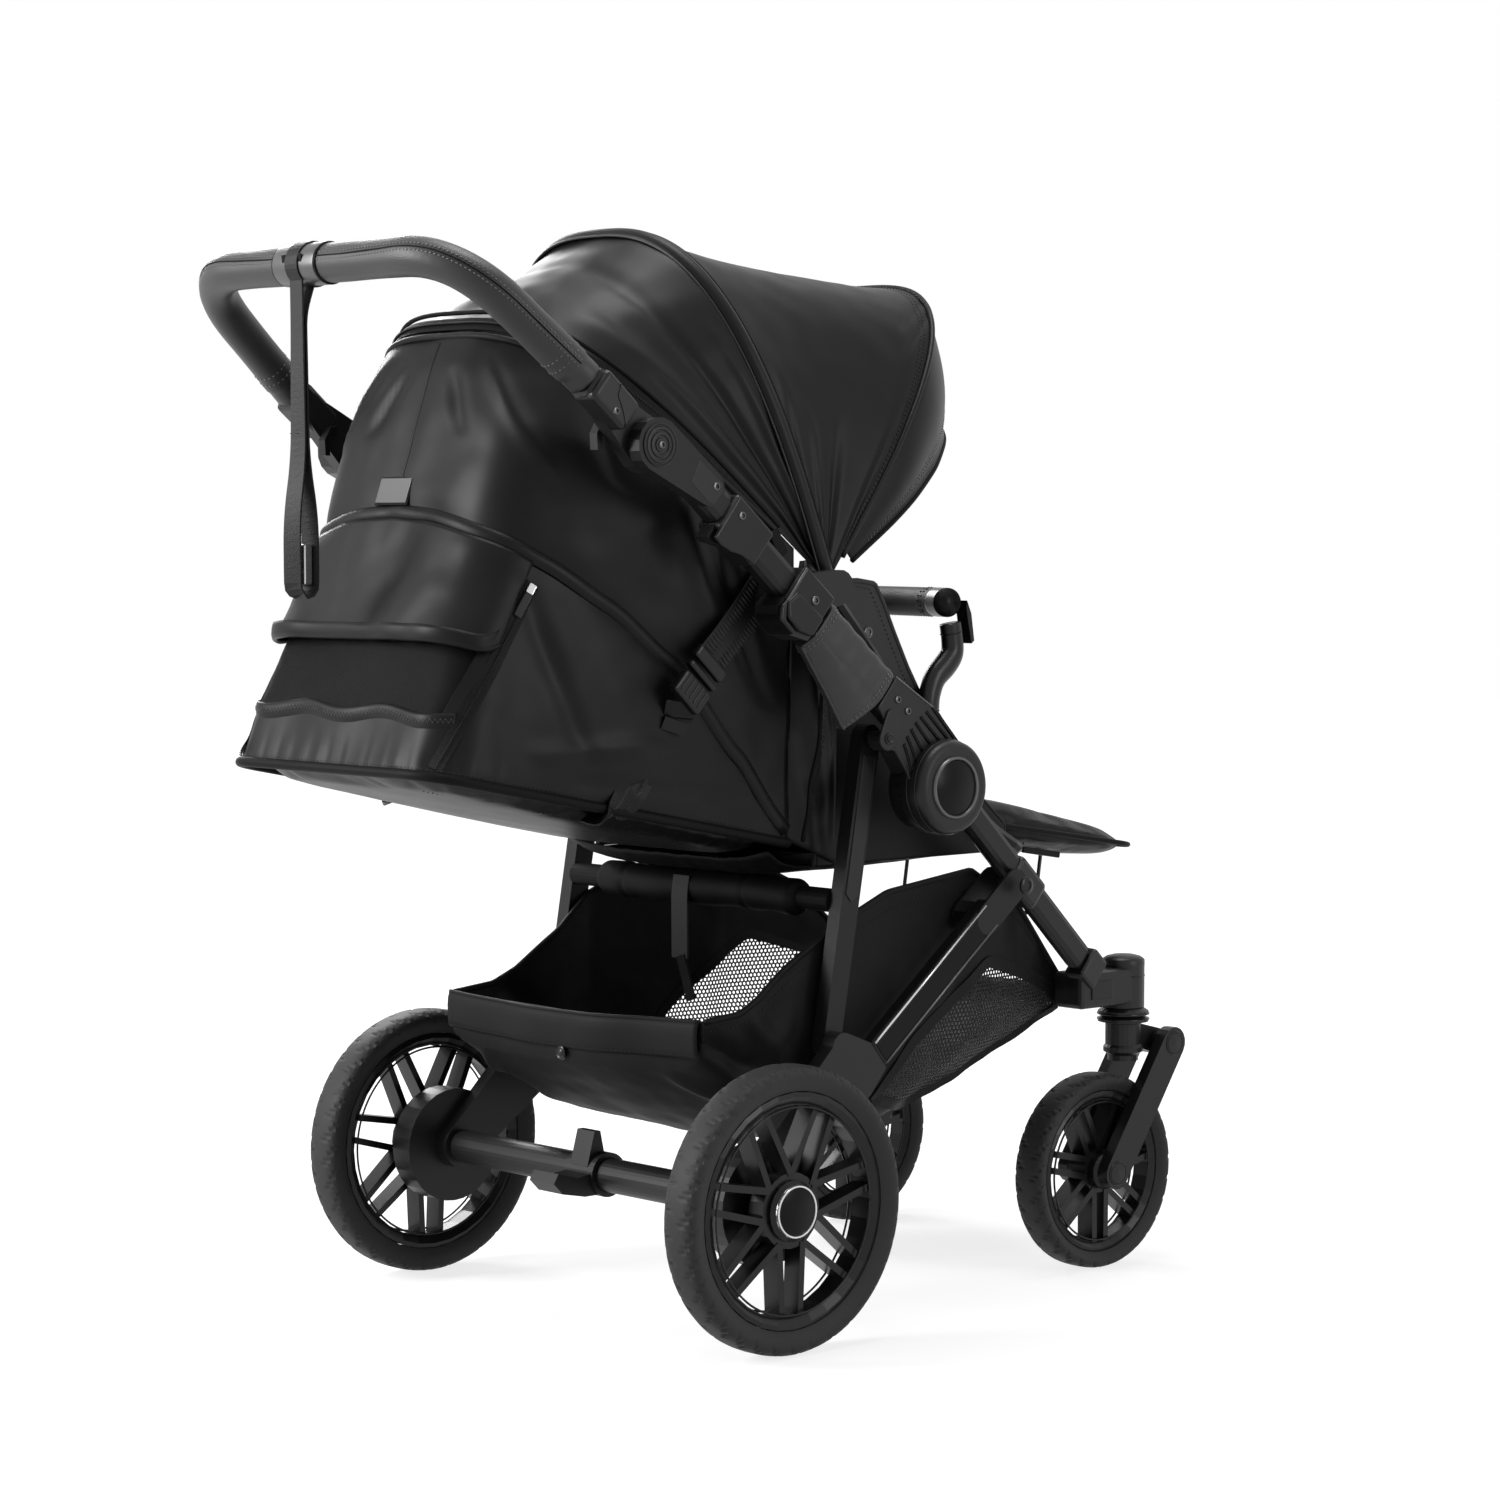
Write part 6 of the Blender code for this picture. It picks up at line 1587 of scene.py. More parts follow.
def make_wrist_strap():
    """A doubled strap that hangs from the bar, with a plain metal slider at its loop."""
    top = handle_at(STRAP_X, HANDLE_REACH)
    body = "wrist_strap"
    reach = HANDLE_RADIUS + 0.0022
    round_bar = [top + Vector((0, math.cos(t) * reach, math.sin(t) * reach)) for t in
                 [math.radians(-95 + 320 * k / 30) for k in range(31)]]
    foot = Vector((top.x, top.y, STRAP_FOOT))
    front = [round_bar[-1], top + Vector((0, -0.0150, -0.034)), top + Vector((0, -0.0140, -0.190)),
             foot + Vector((0, -0.0230, 0.080)), foot + Vector((0, -0.0220, 0.008)),
             foot + Vector((0, -0.0120, 0.0012))]
    back = [foot + Vector((0, -0.0100, 0.0012)), foot + Vector((0, -0.0015, 0.008)),
            foot + Vector((0, -0.0010, 0.080)), top + Vector((0, -0.0105, -0.190)),
            top + Vector((0, -0.0110, -0.048)), round_bar[0]]
    line = round_bar + even(smooth_line(front, 0.03, 6), 50)[1:] + even(smooth_line(back, 0.03, 6), 50)[1:]
    ways = []
    for p in line:
        low = min(1.0, max(0.0, (top.z - 0.06 - p.z) / 0.24))
        ways.append(Vector((math.cos(0.35 * low), math.sin(0.35 * low), 0)))
    strap = ribbon("wrist_strap_webbing", line, ways, 0.0205, 0.0022, WEBBING, body)
    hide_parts("wrist_strap")
    turn = Matrix.Rotation(0.35, 3, "Z")
    box_piece("wrist_strap_slider", foot + Vector((0.0, -0.0105, 0.034)), (0.0150, 0.0130, 0.0400), turn,
              BRIGHT_AND_HIGHLIGHT, body, 0.0022)
    for k, drop in enumerate((0.165, 0.232)):
        p = top + Vector((0, -0.0155, -drop))
        stitches("wrist_strap_stitches_%d" % k,
                 [[p + turn @ Vector((x, -0.0010, 0)) for x in (-0.009, 0.009)]], body, DARK_THREAD)


def tube_frame():
    down = (on_tube(1.0) - on_tube(0.0)).normalized()
    return down, Vector((0, -down.z, down.y))


# Outlines as length along the tube and height across it, the lobes from the adapter's start
ADAPTER_START = 0.176
ADAPTER_OUTLINE = ((0.1765, 0.0235), (0.2270, 0.0235), (0.2270, -0.0235), (0.1765, -0.0235))
BLOCK_OUTLINE = ((0.0060, -0.004), (0.0010, -0.022), (0.0130, -0.0340), (0.0330, -0.0335), (0.0510, -0.0260),
                 (0.0510, -0.002))
LOBE_OUTLINE = ((0.0000, -0.018), (-0.0025, -0.030), (0.0050, -0.0415), (0.0290, -0.0420), (0.0270, -0.0370),
                (0.0110, -0.0360), (0.0030, -0.0250))
RELEASE_OUTLINE = ((0.0635, 0.0195), (0.1225, 0.0195), (0.1225, -0.0195), (0.1020, -0.0240),
                   (0.0900, -0.0300), (0.0760, -0.0335), (0.0650, -0.0330))
RELEASE_START = 0.062
LOBE_X = 0.2480
LOBE_WIDTH = 0.0400


def tube_outline(outline, across, side, start=0.0):
    """An outline on the upper tube, in the side view."""
    return side_view([on_tube(start + s, 0, side) + across * w for s, w in outline])


def make_upper_tubes():
    """Sleeve seams, adapter screws and trigger details along the upper tubes."""
    across = tube_frame()[1]
    for name, side in SIDES:
        make_sleeve(name, side, across)
        face = UPPER_TUBE_FACE_X + 0.0075
        centre = on_tube(ADAPTER_START + 0.030, face + 0.0004, side)
        screw("adapter_screw_" + name, centre + across * 0.004, side, 0.0052, "upper_frame")
        shell = tube_outline(ADAPTER_OUTLINE, across, side)
        plate("adapter_shell_" + name, shell, side * (face - 0.0026), 0.0056, SMOOTH, "upper_frame", 0.0024,
              3)
        for label, ring in (("block", BLOCK_OUTLINE), ("lobe", LOBE_OUTLINE)):
            lobe = tube_outline(ring, across, side, ADAPTER_START)
            plate("adapter_%s_%s" % (label, name), lobe, side * LOBE_X, LOBE_WIDTH, SMOOTH, "upper_frame",
                  0.0034, 4)
        lip = [on_tube(0.1762, face + 0.0002, side) + across * w for w in (0.0215, 0.0, -0.0215)]
        rope("adapter_lip_" + name, lip, 0.0009, SATIN_EDGE_AND_HIGHLIGHT, "upper_frame", 6)
        body = "fold_release_" + name
        face = UPPER_TUBE_FACE_X + 0.0045
        centre = on_tube(RELEASE_START + 0.016, face + 0.0003, side)
        screw("release_screw_" + name, centre + across * 0.006, side, 0.0046, body)
        shell = tube_outline(RELEASE_OUTLINE, across, side)
        plate("release_shell_" + name, shell, side * (face - 0.0020), 0.0044, SMOOTH, body, 0.0020, 3)


SLEEVE_START = 0.2315
SLEEVE_LENGTH = 0.1135
SLEEVE_HALF = (0.0185, 0.0225)
SLEEVE_LIP = ((0.00, -0.033, 0.002), (0.10, -0.0355, 0.000), (0.55, -0.0480, -0.001),
              (0.92, -0.0595, -0.004), (1.0, -0.0590, -0.010))


def sleeve_ring(s, side, across, grow=0.0):
    """One turn round the flared sleeve, from the lip's outer face to its inner face."""
    lip = SLEEVE_LIP[0]
    for a, b in zip(SLEEVE_LIP, SLEEVE_LIP[1:]):
        if s <= b[0] + 1e-9:
            t = (s - a[0]) / (b[0] - a[0])
            lip = [p + (q - p) * t for p, q in zip(a, b)]
            break
    place, down = SLEEVE_START + SLEEVE_LENGTH * s, tube_frame()[0]
    middle = on_tube(place, side=side)
    half_x, half_z = SLEEVE_HALF[0] + grow, SLEEVE_HALF[1] + grow
    ring = [middle + Vector((side * 0.0040, 0, 0)) + across * (lip[1] - grow) + down * lip[2]]
    for w in (0.75, 0.5, 0.25):
        low = -half_z * 0.62 + (lip[1] + half_z * 0.62) * w
        bulge = half_x + (0.0052 - half_x) * w ** 1.6
        ring.append(middle + Vector((side * bulge, 0, 0)) + across * low + down * lip[2] * w)
    for k in range(19):
        t = math.radians(-38 + 256 * k / 18)
        x = half_x * math.copysign(abs(math.cos(t)) ** 0.5, math.cos(t))
        z = half_z * math.copysign(abs(math.sin(t)) ** 0.5, math.sin(t))
        ring.append(middle + Vector((side * x, 0, 0)) + across * z)
    for w in (0.25, 0.5, 0.75):
        low = -half_z * 0.62 + (lip[1] + half_z * 0.62) * w
        bulge = half_x + (0.0052 - half_x) * w ** 1.6
        ring.append(middle - Vector((side * bulge, 0, 0)) + across * low + down * lip[2] * w)
    ring.append(middle - Vector((side * 0.0040, 0, 0)) + across * (lip[1] - grow) + down * lip[2])
    return ring


def make_sleeve(name, side, across):
    """Leather-look cuff folded round the tube and flared below it, sewn twice at each end."""
    steps = 40
    rows = [sleeve_ring(i / steps, side, across, 0.0004 * math.sin(i * 0.7)) for i in range(steps + 1)]
    verts = [p for row in rows for p in row]
    count = len(rows[0])
    faces = grid_faces(steps + 1, count, wrap=True)
    faces.append(tuple(range(count))[::-1])
    faces.append(tuple(steps * count + k for k in range(count)))
    item = place_piece("sleeve_" + name, verts, faces, GREY_LEATHER, "upper_frame")
    tidy_normals(item)
    soften(item, 0.0012)
    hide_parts("leather_sleeve_" + name)
    for k, s in enumerate((0.045, 0.080, 0.920, 0.955)):
        row = sleeve_ring(s, side, across, 0.0006)
        stitches("sleeve_stitches_%s_%d" % (name, k), [even(row, 90)], "upper_frame", THREAD, 0.0034,
                 0.0018, 0.0006)
    lip = [sleeve_ring(i / 40, side, across, 0.0002)[0] for i in range(41)]
    rope("sleeve_lip_" + name, lip, 0.0016, GREY_LEATHER, "upper_frame", 8)


def make_hub():
    """Round housing with a glossy disc, the fan of ribs behind it, and its screws."""
    hub = at(0, *HUB)
    across = tube_frame()[1]
    body = "upper_frame"
    for name, side in SIDES:
        centre = hub + Vector((side * HUB_FACE_X, 0, 0))
        lathe("hub_ring_" + name, [(0.0288, -0.0006), (0.0288, 0.0010), (0.0298, 0.0024), (0.0316, 0.0026),
                                   (0.0328, 0.0010), (0.0330, -0.0006)], centre, SATIN_EDGE_AND_HIGHLIGHT, body, steps=72,
              side=side)
        lathe("hub_disc_" + name, [(0.0286, -0.0006), (0.0286, 0.0004), (0.0270, 0.0012), (0.0001, 0.0016)],
              centre, GLOSS_BLACK_AND_SLOT_SHADE, body, steps=72, side=side)
        lathe("hub_cup_" + name, [(0.0482, -0.034), (0.0490, -0.033), (0.0490, -0.0080), (0.0478, -0.0034),
                                  (0.0450, -0.0004), (0.0420, 0.0004), (0.0360, 0.0006), (0.0332, -0.0004)],
              centre, PLASTIC, body, steps=72, side=side)
        for k, depth in enumerate((-0.0110, -0.0230)):
            line = [centre + Vector((side * depth, math.cos(t) * 0.0492, math.sin(t) * 0.0492))
                    for t in [2 * math.pi * i / 72 for i in range(73)]]
            rope("hub_cup_line_%s_%d" % (name, k), line, 0.0009, SMOOTH, body, 6)
        make_bracket_cover(name, side, hub, across)


def ray(turn):
    """Direction in the side view, in degrees from straight ahead."""
    return Vector((0, math.cos(math.radians(turn)), math.sin(math.radians(turn))))


def make_bracket_cover(name, side, hub, across):
    """The hub bracket's outer cover: a painted highlight along its rising edge, ribs that fan out with
    painted shade in the slots beside them, screws and a link plate.
    """
    body = "upper_frame"
    face = COVER_FACE_X
    foot = on_tube(0.3475, 0, 1)
    outline = side_view([foot + across * 0.0195, foot - across * 0.0200])
    outline += [(0.1760, 0.6160), (0.1840, 0.5920), (0.2010, 0.5700)]
    outline += arc(HUB, 0.0470, 172, 62, 10)
    outline += [(0.2450, 0.6318)]
    plate("bracket_cover_" + name, outline, side * face, 0.0050, PLASTIC, body, 0.0016, 3)
    # Painted highlight: a satin grey line along the cover's rising top edge.
    high = even([Vector((side * (face + 0.0022), *spot)) for spot in
                 [(at(0, y, z).y, z) for y, z in (outline[0], outline[-1], outline[-2])]], 20)
    rope("bracket_edge_highlight_" + name, high, 0.0011, SATIN_EDGE_AND_HIGHLIGHT, body, 6)
    count = 7
    for k in range(count):
        share = k / (count - 1)
        near = hub + ray(68 + 92 * share) * 0.0500
        far = hub + ray(101 + 40 * share) * (0.0840 - 0.010 * share)
        bend = near.lerp(far, 0.5) + Vector((0, -0.0030, 0.0030)) * (0.5 - share)
        line = even(smooth_line([near, bend, far], 0.02, 6), 20)
        # Painted shade: a gloss black line in each slot beside a rib stands for the shadow inside the slot.
        rope("bracket_slot_shade_%s_%d" % (name, k), moved_x(line, side * (face + 0.0026)), 0.0015, GLOSS_BLACK_AND_SLOT_SHADE, body, 8)
        lifted = [p + Vector((side * (face + 0.0028), 0.0022, 0.0010)) for p in line]
        rope("bracket_rib_%s_%d" % (name, k), lifted, 0.0009, PLASTIC, body, 6)
    for k, spot in enumerate(((0.1867, 0.6458), (0.2011, 0.6335))):
        screw("bracket_screw_%s_%d" % (name, k), at(side * (face + 0.0028), *spot), side, 0.0042, body)
    link = capsule((0.1719, 0.6062), (0.1772, 0.6280), 0.0125, 0.0085)
    plate("bracket_link_" + name, link, side * (face + 0.0034), 0.0034, PLASTIC, body, 0.0012, 3)
    lathe("bracket_link_rivet_" + name, [(0.0062, -0.001), (0.0060, 0.0010), (0.0050, 0.0016),
                                         (0.0034, 0.0010), (0.0030, 0.0018), (0.0001, 0.0020)],
          at(side * (face + 0.0050), 0.1719, 0.6062), SMOOTH, body, steps=28, side=side)


# Cover strip of the rear leg as length down the leg and height across it, and the leg's outer face
LEG_STRIP = ((0.020, 0.0085), (0.165, 0.0085), (0.172, 0.0), (0.165, -0.0085), (0.020, -0.0085))
LEG_FACE_X = 0.2254


def make_frame_trim():
    """Edge lines of the braces, painted highlights that are bright on the top edge and dimmer on the foot
    edge, rivets of the braces, covers of the rear legs and seams of the casters.
    """
    top, foot = at(0, *BRACE_TOP), at(0, *BRACE_FOOT)
    down = (foot - top).normalized()
    across = Vector((0, -down.z, down.y))
    if across.z < 0:
        across = -across
    for name, side in SIDES:
        body = "rear_frame"
        face = side * BRACE_OUTER_X
        a, b = top + down * 0.048, foot - down * 0.004
        panel = [a + across * 0.0115, b + across * 0.0115, b - across * 0.0115, a - across * 0.0115]
        plate("brace_panel_" + name, side_view(panel), face, 0.0014, GLOSS_BLACK_AND_SLOT_SHADE, body, 0.0005)
        # Painted highlights along the brace's edges: the top edge, which faces the light, in bright metal and
        # the foot edge in a dimmer satin grey.
        for label, lift, finish in (("top", 0.0136, BRIGHT_AND_HIGHLIGHT), ("foot", -0.0136, SATIN_EDGE_AND_HIGHLIGHT)):
            edge = [a + across * lift, b + across * lift]
            rope("brace_edge_highlight_%s_%s" % (label, name), moved_x(edge, face + side * 0.0002), 0.0014, finish,
                 body, 8)
        clamp_x = 0.2402
        cheek = side * (clamp_x + 0.0176)
        lathe("brace_rivet_" + name, [(0.0095, -0.0010), (0.0094, 0.0010), (0.0080, 0.0020),
                                      (0.0052, 0.0024), (0.0046, 0.0012), (0.0001, 0.0012)],
              top + Vector((cheek, 0, 0)), SMOOTH, body, steps=32, side=side)

        leg_top, leg_foot = at(0, *REAR_LEG_TOP), at(0, *REAR_LEG_FOOT)
        run = (leg_foot - leg_top).normalized()
        wide = Vector((0, -run.z, run.y))
        strip = [leg_top + run * a + wide * b for a, b in LEG_STRIP]
        plate("rear_leg_cover_" + name, side_view(strip), side * LEG_FACE_X, 0.0016, PLASTIC, "rear_legs",
              0.0006)
        lathe("rear_leg_pin_" + name, [(0.0072, -0.001), (0.0070, 0.0012), (0.0056, 0.0018),
                                       (0.0001, 0.0018)], leg_foot + Vector((side * LEG_FACE_X, 0, 0)),
              SMOOTH, "rear_legs", steps=24, side=side)
        make_caster_trim(name, side)


ARM_PIVOT = (0.652, 0.245)


def make_caster_trim(name, side):
    low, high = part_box("caster_stem_" + name)
    x = (low.x + high.x) / 2
    body = "fork_" + name
    for label, spot in (("pivot", ARM_PIVOT), ("axle", (WHEELBASE, 0.1084))):
        for way in (-1, 1):
            centre = at(x + way * 0.0370, *spot)
            lathe("fork_%s_%s_%s" % (label, name, "out" if way == side else "in"),
                  [(0.0140, -0.0008), (0.0139, 0.0004), (0.0132, 0.0009), (0.0124, 0.0002),
                   (0.0116, 0.0002), (0.0110, 0.0010), (0.0001, 0.0016)], centre, SMOOTH, body, steps=40,
                  side=way)
    centre = at(x, 0.607, 0.340)
    lathe("caster_dome_" + name, [(0.0239, -0.006), (0.0238, -0.0010), (0.0226, 0.0012), (0.0190, 0.0036),
                                  (0.0120, 0.0054), (0.0001, 0.0062)], centre, PLASTIC, "chassis", axis="z",
          steps=48)
    lathe("caster_groove_" + name, [(0.0234, -0.0012), (0.0243, -0.0006), (0.0243, 0.0006), (0.0234, 0.0012)],
          at(x, 0.607, 0.322), SMOOTH, "chassis", axis="z", steps=48)
    for k, z in enumerate((0.2785, 0.2725)):
        lathe("caster_bellows_%s_%d" % (name, k), [(0.0230, -0.0022), (0.0292, -0.0010), (0.0296, 0.0),
                                                   (0.0292, 0.0010), (0.0230, 0.0022)],
              at(x, 0.607, z + 0.001), SMOOTH, "caster_" + name, axis="z", steps=48)
    box_piece("caster_recess_" + name, at(x + side * 0.0220, 0.548, 0.312), (0.0026, 0.034, 0.020), 0.0,
              SMOOTH, "chassis", 0.0012)


# Parts of the recline buckle: name, place along the webbing and size
BUCKLE_PARTS = (("ladder", -0.002, (0.0085, 0.014, 0.045)), ("bar", 0.014, (0.0100, 0.007, 0.044)),
                ("socket", 0.036, (0.0120, 0.026, 0.042)))


def make_webbing():
    """Recline webbing on the side of the seat, with its two buckles, and the carry tab."""
    for name, side in SIDES:
        top, low = at(side * 0.2065, 0.062, 0.778), at(side * 0.2040, -0.024, 0.685)
        bend = top.lerp(low, 0.5) + Vector((side * 0.003, 0, -0.003))
        line = even(smooth_line([top, bend, low], 0.03, 8), 40)
        along = (low - top).normalized()
        across = Vector((1, 0, 0)).cross(along).normalized()
        ribbon("recline_webbing_" + name, line, across, 0.038, 0.0018, WEBBING, "seat")
        ribs = [[p + across * w + Vector((side * 0.0013, 0, 0)) for w in (-0.0180, 0.0180)]
                for p in even(line, 30)]
        stitches("recline_ribs_" + name, ribs, "seat", GREY_CORD_AND_HIGHLIGHT, 0.0176, 0.0004, 0.0011)
        turn = Matrix((Vector((1, 0, 0)), along, across)).transposed()
        for label, place, size in BUCKLE_PARTS:
            spot = low + along * place + Vector((side * 0.0030, 0, 0))
            box_piece("recline_%s_%s" % (label, name), spot, size, turn, SMOOTH, "seat", 0.0026)
        for k, w in enumerate((-0.014, -0.007, 0.0, 0.007, 0.014)):
            spot = low + along * 0.034 + across * w + Vector((side * 0.0090, 0, 0))
            box_piece("recline_rib_%s_%d" % (name, k), spot, (0.0018, 0.020, 0.0022), turn, SMOOTH, "seat",
                      0.0006)
        tail = even([low + along * 0.048, at(side * 0.1930, -0.052, 0.632),
                     at(side * 0.1890, -0.056, 0.618)], 20)
        ribbon("recline_tail_" + name, tail, across, 0.030, 0.0018, WEBBING, "seat")
        tab = even(smooth_line([at(side * 0.1800, -0.094, 0.574), at(side * 0.1830, -0.112, 0.552),
                                at(side * 0.1750, -0.126, tub_foot(-0.126) + 0.008),
                                at(side * 0.1530, -0.134, tub_foot(-0.134) + 0.012)], 0.02, 8), 30)
        way = Vector((0.15, 1.0, 0.30))
        ribbon("carry_tab_" + name, tab, way, 0.034, 0.0020, WEBBING, "backrest")
        ribs = [[p + way.normalized() * w + Vector((side * 0.0012, 0, -0.0004)) for w in (-0.0160, 0.0160)]
                for p in tab[1:24]]
        stitches("carry_tab_ribs_" + name, ribs, "backrest", GREY_CORD_AND_HIGHLIGHT, 0.0155, 0.0004, 0.0010)


BUMPER_JOINT = (0.186, 0.336, 0.742)
BUMPER_BULGE = 0.037
BUMPER_RADIUS = 0.0155
BUMPER_ARM_X = 0.1915
BUMPER_ARM = ((0.2935, 0.6130), (0.3020, 0.6240), (0.3025, 0.6420), (0.3100, 0.6620), (0.3280, 0.6760),
              (0.3390, 0.6880), (0.3375, 0.7040), (0.3345, 0.7200))


def make_bumper_arm(name, side):
    """S-shaped arm, full at its bend, between the seat tube and the bar's joint."""
    line = even(smooth_line([at(side * BUMPER_ARM_X, y, z) for y, z in BUMPER_ARM], 0.014, 8), 61)
    radii = [0.0102 + 0.0008 * math.exp(-((k / 60 - 0.62) / 0.16) ** 2) for k in range(61)]
    arm = rope("bumper_arm_cover_" + name, line, 0.0108, SMOOTH, "seat", 28, 1.26, radii)
    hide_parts("bumper_arm_" + name)
    for label, step, size in (("foot", 9, 1.03), ("top", 55, 1.02)):
        ahead = (line[step + 1] - line[step - 1]).normalized()
        wide = Vector((0, -ahead.z, ahead.y)) * radii[step] * 1.26 * size
        ring = [line[step] + wide * math.cos(t) + Vector((radii[step] * size * math.sin(t), 0, 0))
                for t in full_turn(40)]
        rope("bumper_arm_%s_line_%s" % (label, name), ring, 0.0006, GLOSS_BLACK_AND_SLOT_SHADE, "seat", 6)


def make_bumper():
    """Leather-wrapped bumper bar with end caps, seam and stitching, and the arms' joint rings."""
    x, y, z = BUMPER_JOINT
    places = [1 - 2 * k / 60 for k in range(61)]
    path = even([at(x * w, y + BUMPER_BULGE * (1 - w ** 2), z) for w in places], 121)
    bar = rope("bumper_leather", path, BUMPER_RADIUS, LEATHER, "bumper", 28)
    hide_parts("bumper_bar")
    for name, side in SIDES:
        ends = path if side > 0 else path[::-1]
        rope("bumper_cap_" + name, ends[0:9], 0.0157, SMOOTH, "bumper", 28)
        make_bumper_arm(name, side)
        for k, step in enumerate((12, 14)):
            ring_at(ends, step, 0.0158, "bumper_stitches_%s_%d" % (name, k), "bumper")
    seam = [p - Vector((0, 0, 0.0157)) for p in path[14:-14]]
    stitches("bumper_seam_stitches", [[p + Vector((0, w, 0)) for p in seam] for w in (-0.003, 0.003)],
             "bumper", THREAD)


# Finishes of the CAD nodes that stay in view, by the start of their names
NODE_FINISH = {
    "adapter": PLASTIC, "axle_carrier": PLASTIC, "brace_clamp": PLASTIC, "brace": TUBE,
    "bumper_arm": SMOOTH, "bumper_latch": SMOOTH, "caster_housing": PLASTIC, "caster_stem": PLASTIC,
    "fold_release": PLASTIC, "fork": SMOOTH, "front_leg": TUBE, "handle_knuckle": PLASTIC,
    "hub_bracket": PLASTIC, "leather_sleeve": LEATHER, "rear_leg": TUBE, "tilt_lever": SMOOTH,
    "upper_tube": TUBE, "front_wheel": SMOOTH, "rear_wheel": SMOOTH, "brake_pedal": PLASTIC,
    "harness_buckle": SMOOTH, "leg_rest_stay": TUBE, "rear_axle": PLASTIC, "seat_cross_tube": LINING_AND_SHADE,
    "seat_frame": TUBE,
}


def finish_nodes():
    """Gives each CAD node the finish of the longest stem that its name starts with."""
    for name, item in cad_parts.items():
        for stem in sorted(NODE_FINISH, key=len, reverse=True):
            if name.startswith(stem):
                item.data.materials.clear()
                item.data.materials.append(NODE_FINISH[stem])
                break


# Stage, lights and camera

def add_light(name, place, aim, size, power):
    data = bpy.data.lights.new(name, "AREA")
    data.shape = "RECTANGLE"
    data.size, data.size_y = size
    data.energy = power
    item = bpy.data.objects.new(name, data)
    bpy.context.scene.collection.objects.link(item)
    item.location = place
    item.rotation_euler = (Vector(aim) - Vector(place)).to_track_quat("-Z", "Y").to_euler()
    return item


def seen_share(tree, hidden, seen):
    """A strength that is seen by the camera and in reflections, and another for the light on the object."""
    path = node(tree, "ShaderNodeLightPath")
    direct = node(tree, "ShaderNodeMath", operation="MAXIMUM")
    through = node(tree, "ShaderNodeMath", operation="MAXIMUM")
    share = node(tree, "ShaderNodeMapRange")
    share.inputs["To Min"].default_value = hidden
    share.inputs["To Max"].default_value = seen
    tree.links.new(path.outputs["Is Camera Ray"], direct.inputs[0])
    tree.links.new(path.outputs["Is Glossy Ray"], direct.inputs[1])
    tree.links.new(direct.outputs["Value"], through.inputs[0])
    tree.links.new(path.outputs["Is Transmission Ray"], through.inputs[1])
    tree.links.new(through.outputs["Value"], share.inputs["Value"])
    return share.outputs["Result"]


FLOOR_REACH = 14.0
FLOOR_SIDES = 48
FLOOR_DROP = 0.0002


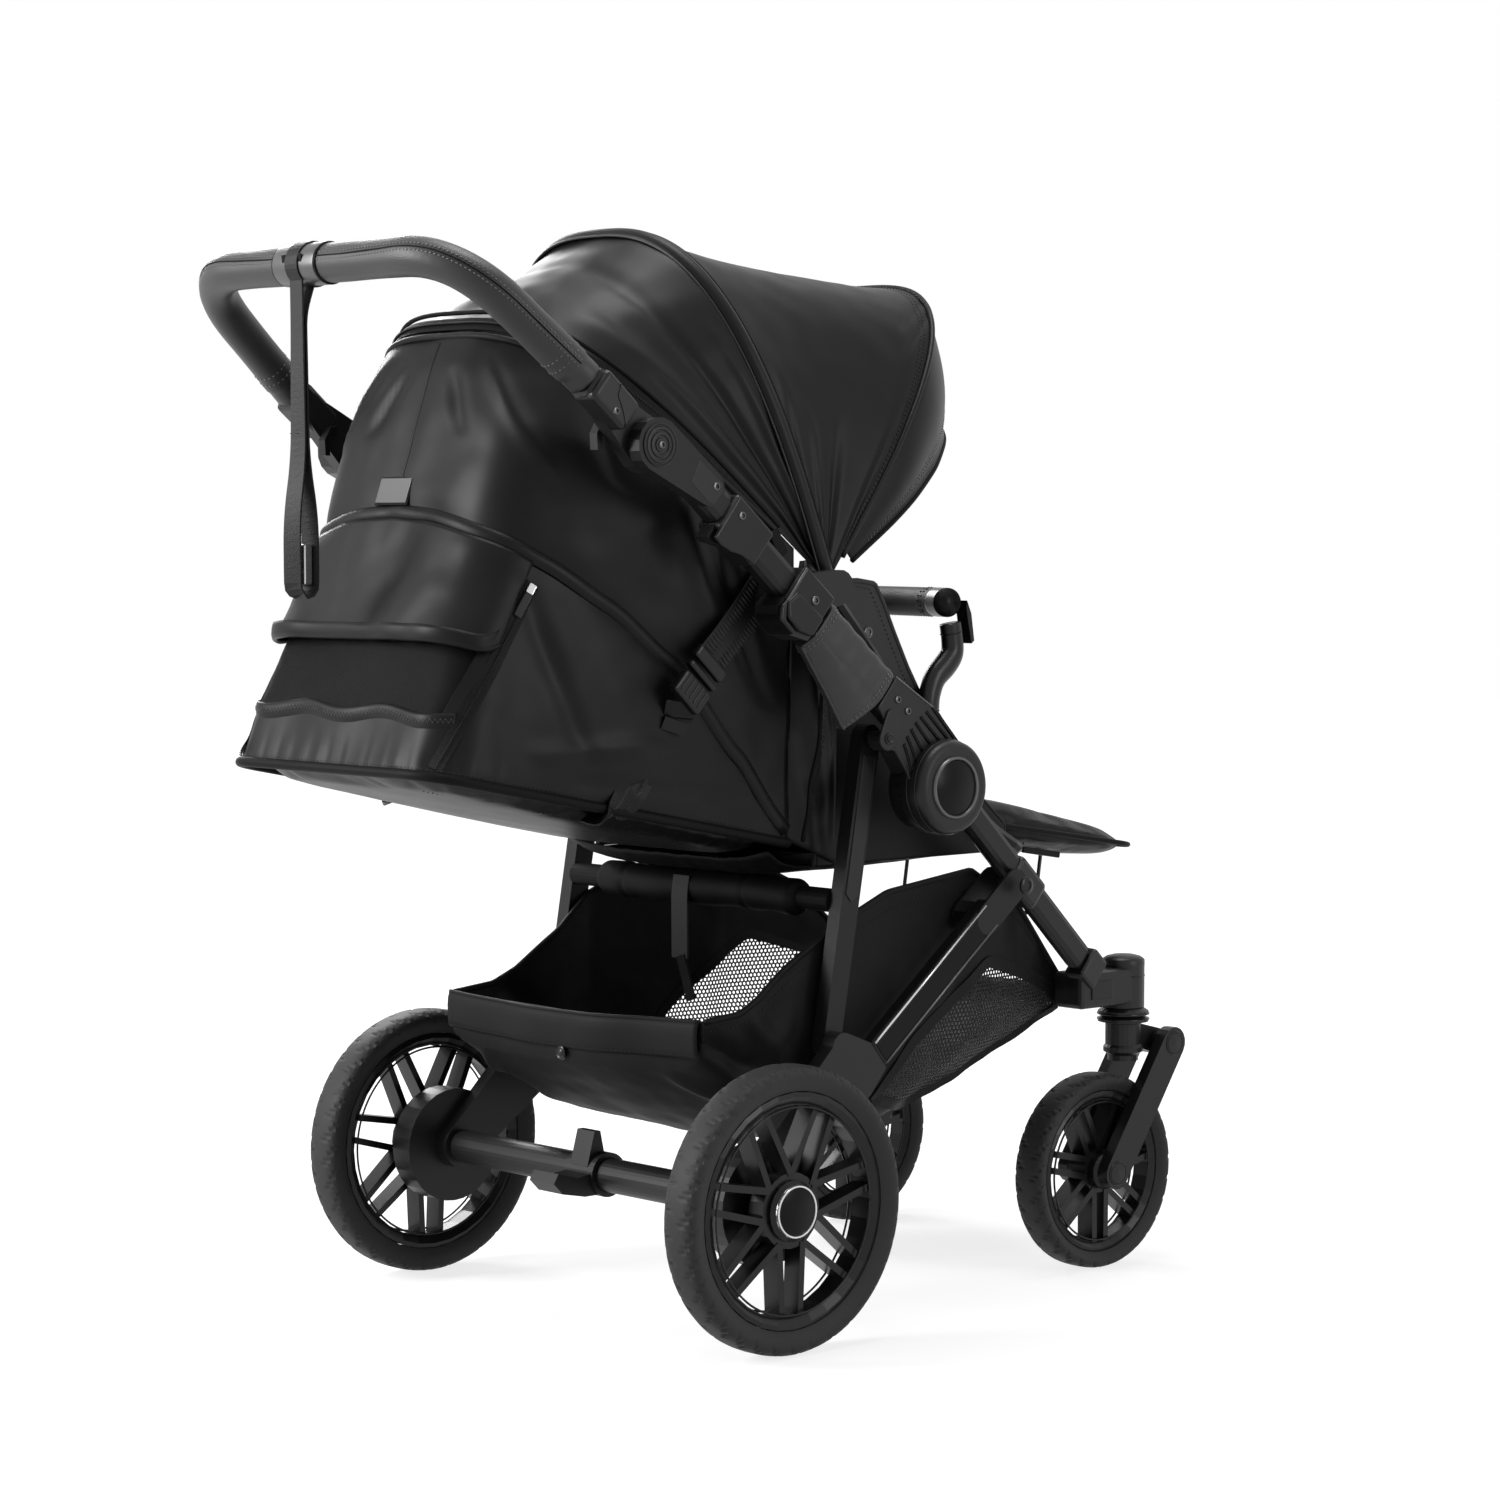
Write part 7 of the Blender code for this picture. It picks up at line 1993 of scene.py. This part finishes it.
def floor_material():
    """Pale floor that shows the shadow near the part and is plain white further off."""
    floor_finish = bpy.data.materials.new("floor_finish")
    floor_finish.use_nodes = True
    tree = floor_finish.node_tree
    shader = tree.nodes["Principled BSDF"]
    shader.inputs["Roughness"].default_value = 0.9
    shader.inputs["Specular IOR Level"].default_value = 0.1
    cloud = node(tree, "ShaderNodeTexNoise", scale=2.0)
    tint = node(tree, "ShaderNodeMix", data_type="RGBA")
    tint.inputs["A"].default_value = (0.34, 0.34, 0.34, 1)
    tint.inputs["B"].default_value = (0.36, 0.36, 0.36, 1)
    tree.links.new(cloud.outputs["Fac"], tint.inputs["Factor"])
    tree.links.new(tint.outputs["Result"], shader.inputs["Base Color"])
    shader.inputs["Emission Color"].default_value = (1, 1, 1, 1)
    spot = node(tree, "ShaderNodeTexCoord")
    away = node(tree, "ShaderNodeVectorMath", operation="LENGTH")
    tree.links.new(spot.outputs["Object"], away.inputs[0])
    rise = node(tree, "ShaderNodeMapRange", from_min=0.9, from_max=2.6, to_min=0.78, to_max=1.0)
    tree.links.new(away.outputs["Value"], rise.inputs["Value"])
    glow = node(tree, "ShaderNodeMath", operation="MULTIPLY")
    tree.links.new(rise.outputs["Result"], glow.inputs[0])
    tree.links.new(seen_share(tree, 0.0, 1.0), glow.inputs[1])
    tree.links.new(glow.outputs["Value"], shader.inputs["Emission Strength"])
    return floor_finish


def make_stage():
    """Floor, white surroundings and the lamps."""
    data = bpy.data.meshes.new("floor")
    turns = [2 * math.pi * k / FLOOR_SIDES for k in range(FLOOR_SIDES)]
    ring = [(FLOOR_REACH * math.cos(t), FLOOR_REACH * math.sin(t), -FLOOR_DROP) for t in turns]
    data.from_pydata(ring, [], [tuple(range(FLOOR_SIDES))])
    data.materials.append(floor_material())
    floor = bpy.data.objects.new("floor", data)
    bpy.context.scene.collection.objects.link(floor)

    world = bpy.data.worlds.new("studio")
    bpy.context.scene.world = world
    world.use_nodes = True
    tree = world.node_tree
    back = tree.nodes["Background"]
    back.inputs["Color"].default_value = (1, 1, 1, 1)
    tree.links.new(seen_share(tree, 0.14, 1.0), back.inputs["Strength"])

    centre = (0.0, 0.0, 0.6)
    left = Vector((-0.673, -0.740, 0.0))
    toward = Vector((0.740, -0.673, 0.0))
    add_light("key", left * 2.9 + toward * 0.7 + Vector((0, 0, 1.7)), centre, (1.0, 1.6), 112)
    add_light("top", Vector((0.0, 0.1, 3.0)), centre, (1.2, 1.2), 42)
    add_light("side", -left * 2.6 + toward * 1.6 + Vector((0, 0, 1.4)), centre, (0.6, 1.6), 24)
    add_light("rim", left * 1.2 - toward * 2.6 + Vector((0, 0, 2.0)), centre, (1.2, 0.9), 50)


def make_camera():
    data = bpy.data.cameras.new("camera")
    data.sensor_width = SENSOR_WIDTH
    data.lens = CAMERA_LENS
    data.clip_end = 60.0
    item = bpy.data.objects.new("camera", data)
    bpy.context.scene.collection.objects.link(item)
    item.location = CAMERA_PLACE
    item.rotation_euler = (math.radians(CAMERA_TILT), 0.0, math.radians(CAMERA_TURN))
    bpy.context.scene.camera = item
    bpy.context.scene.view_settings.view_transform = "Standard"


make_camera()
make_stage()
finish_nodes()
make_skirt()
make_hood()
make_seat()
make_basket()
make_wheels()
make_handle()
make_upper_tubes()
make_hub()
make_frame_trim()
make_webbing()
make_bumper()
bend_skirt()
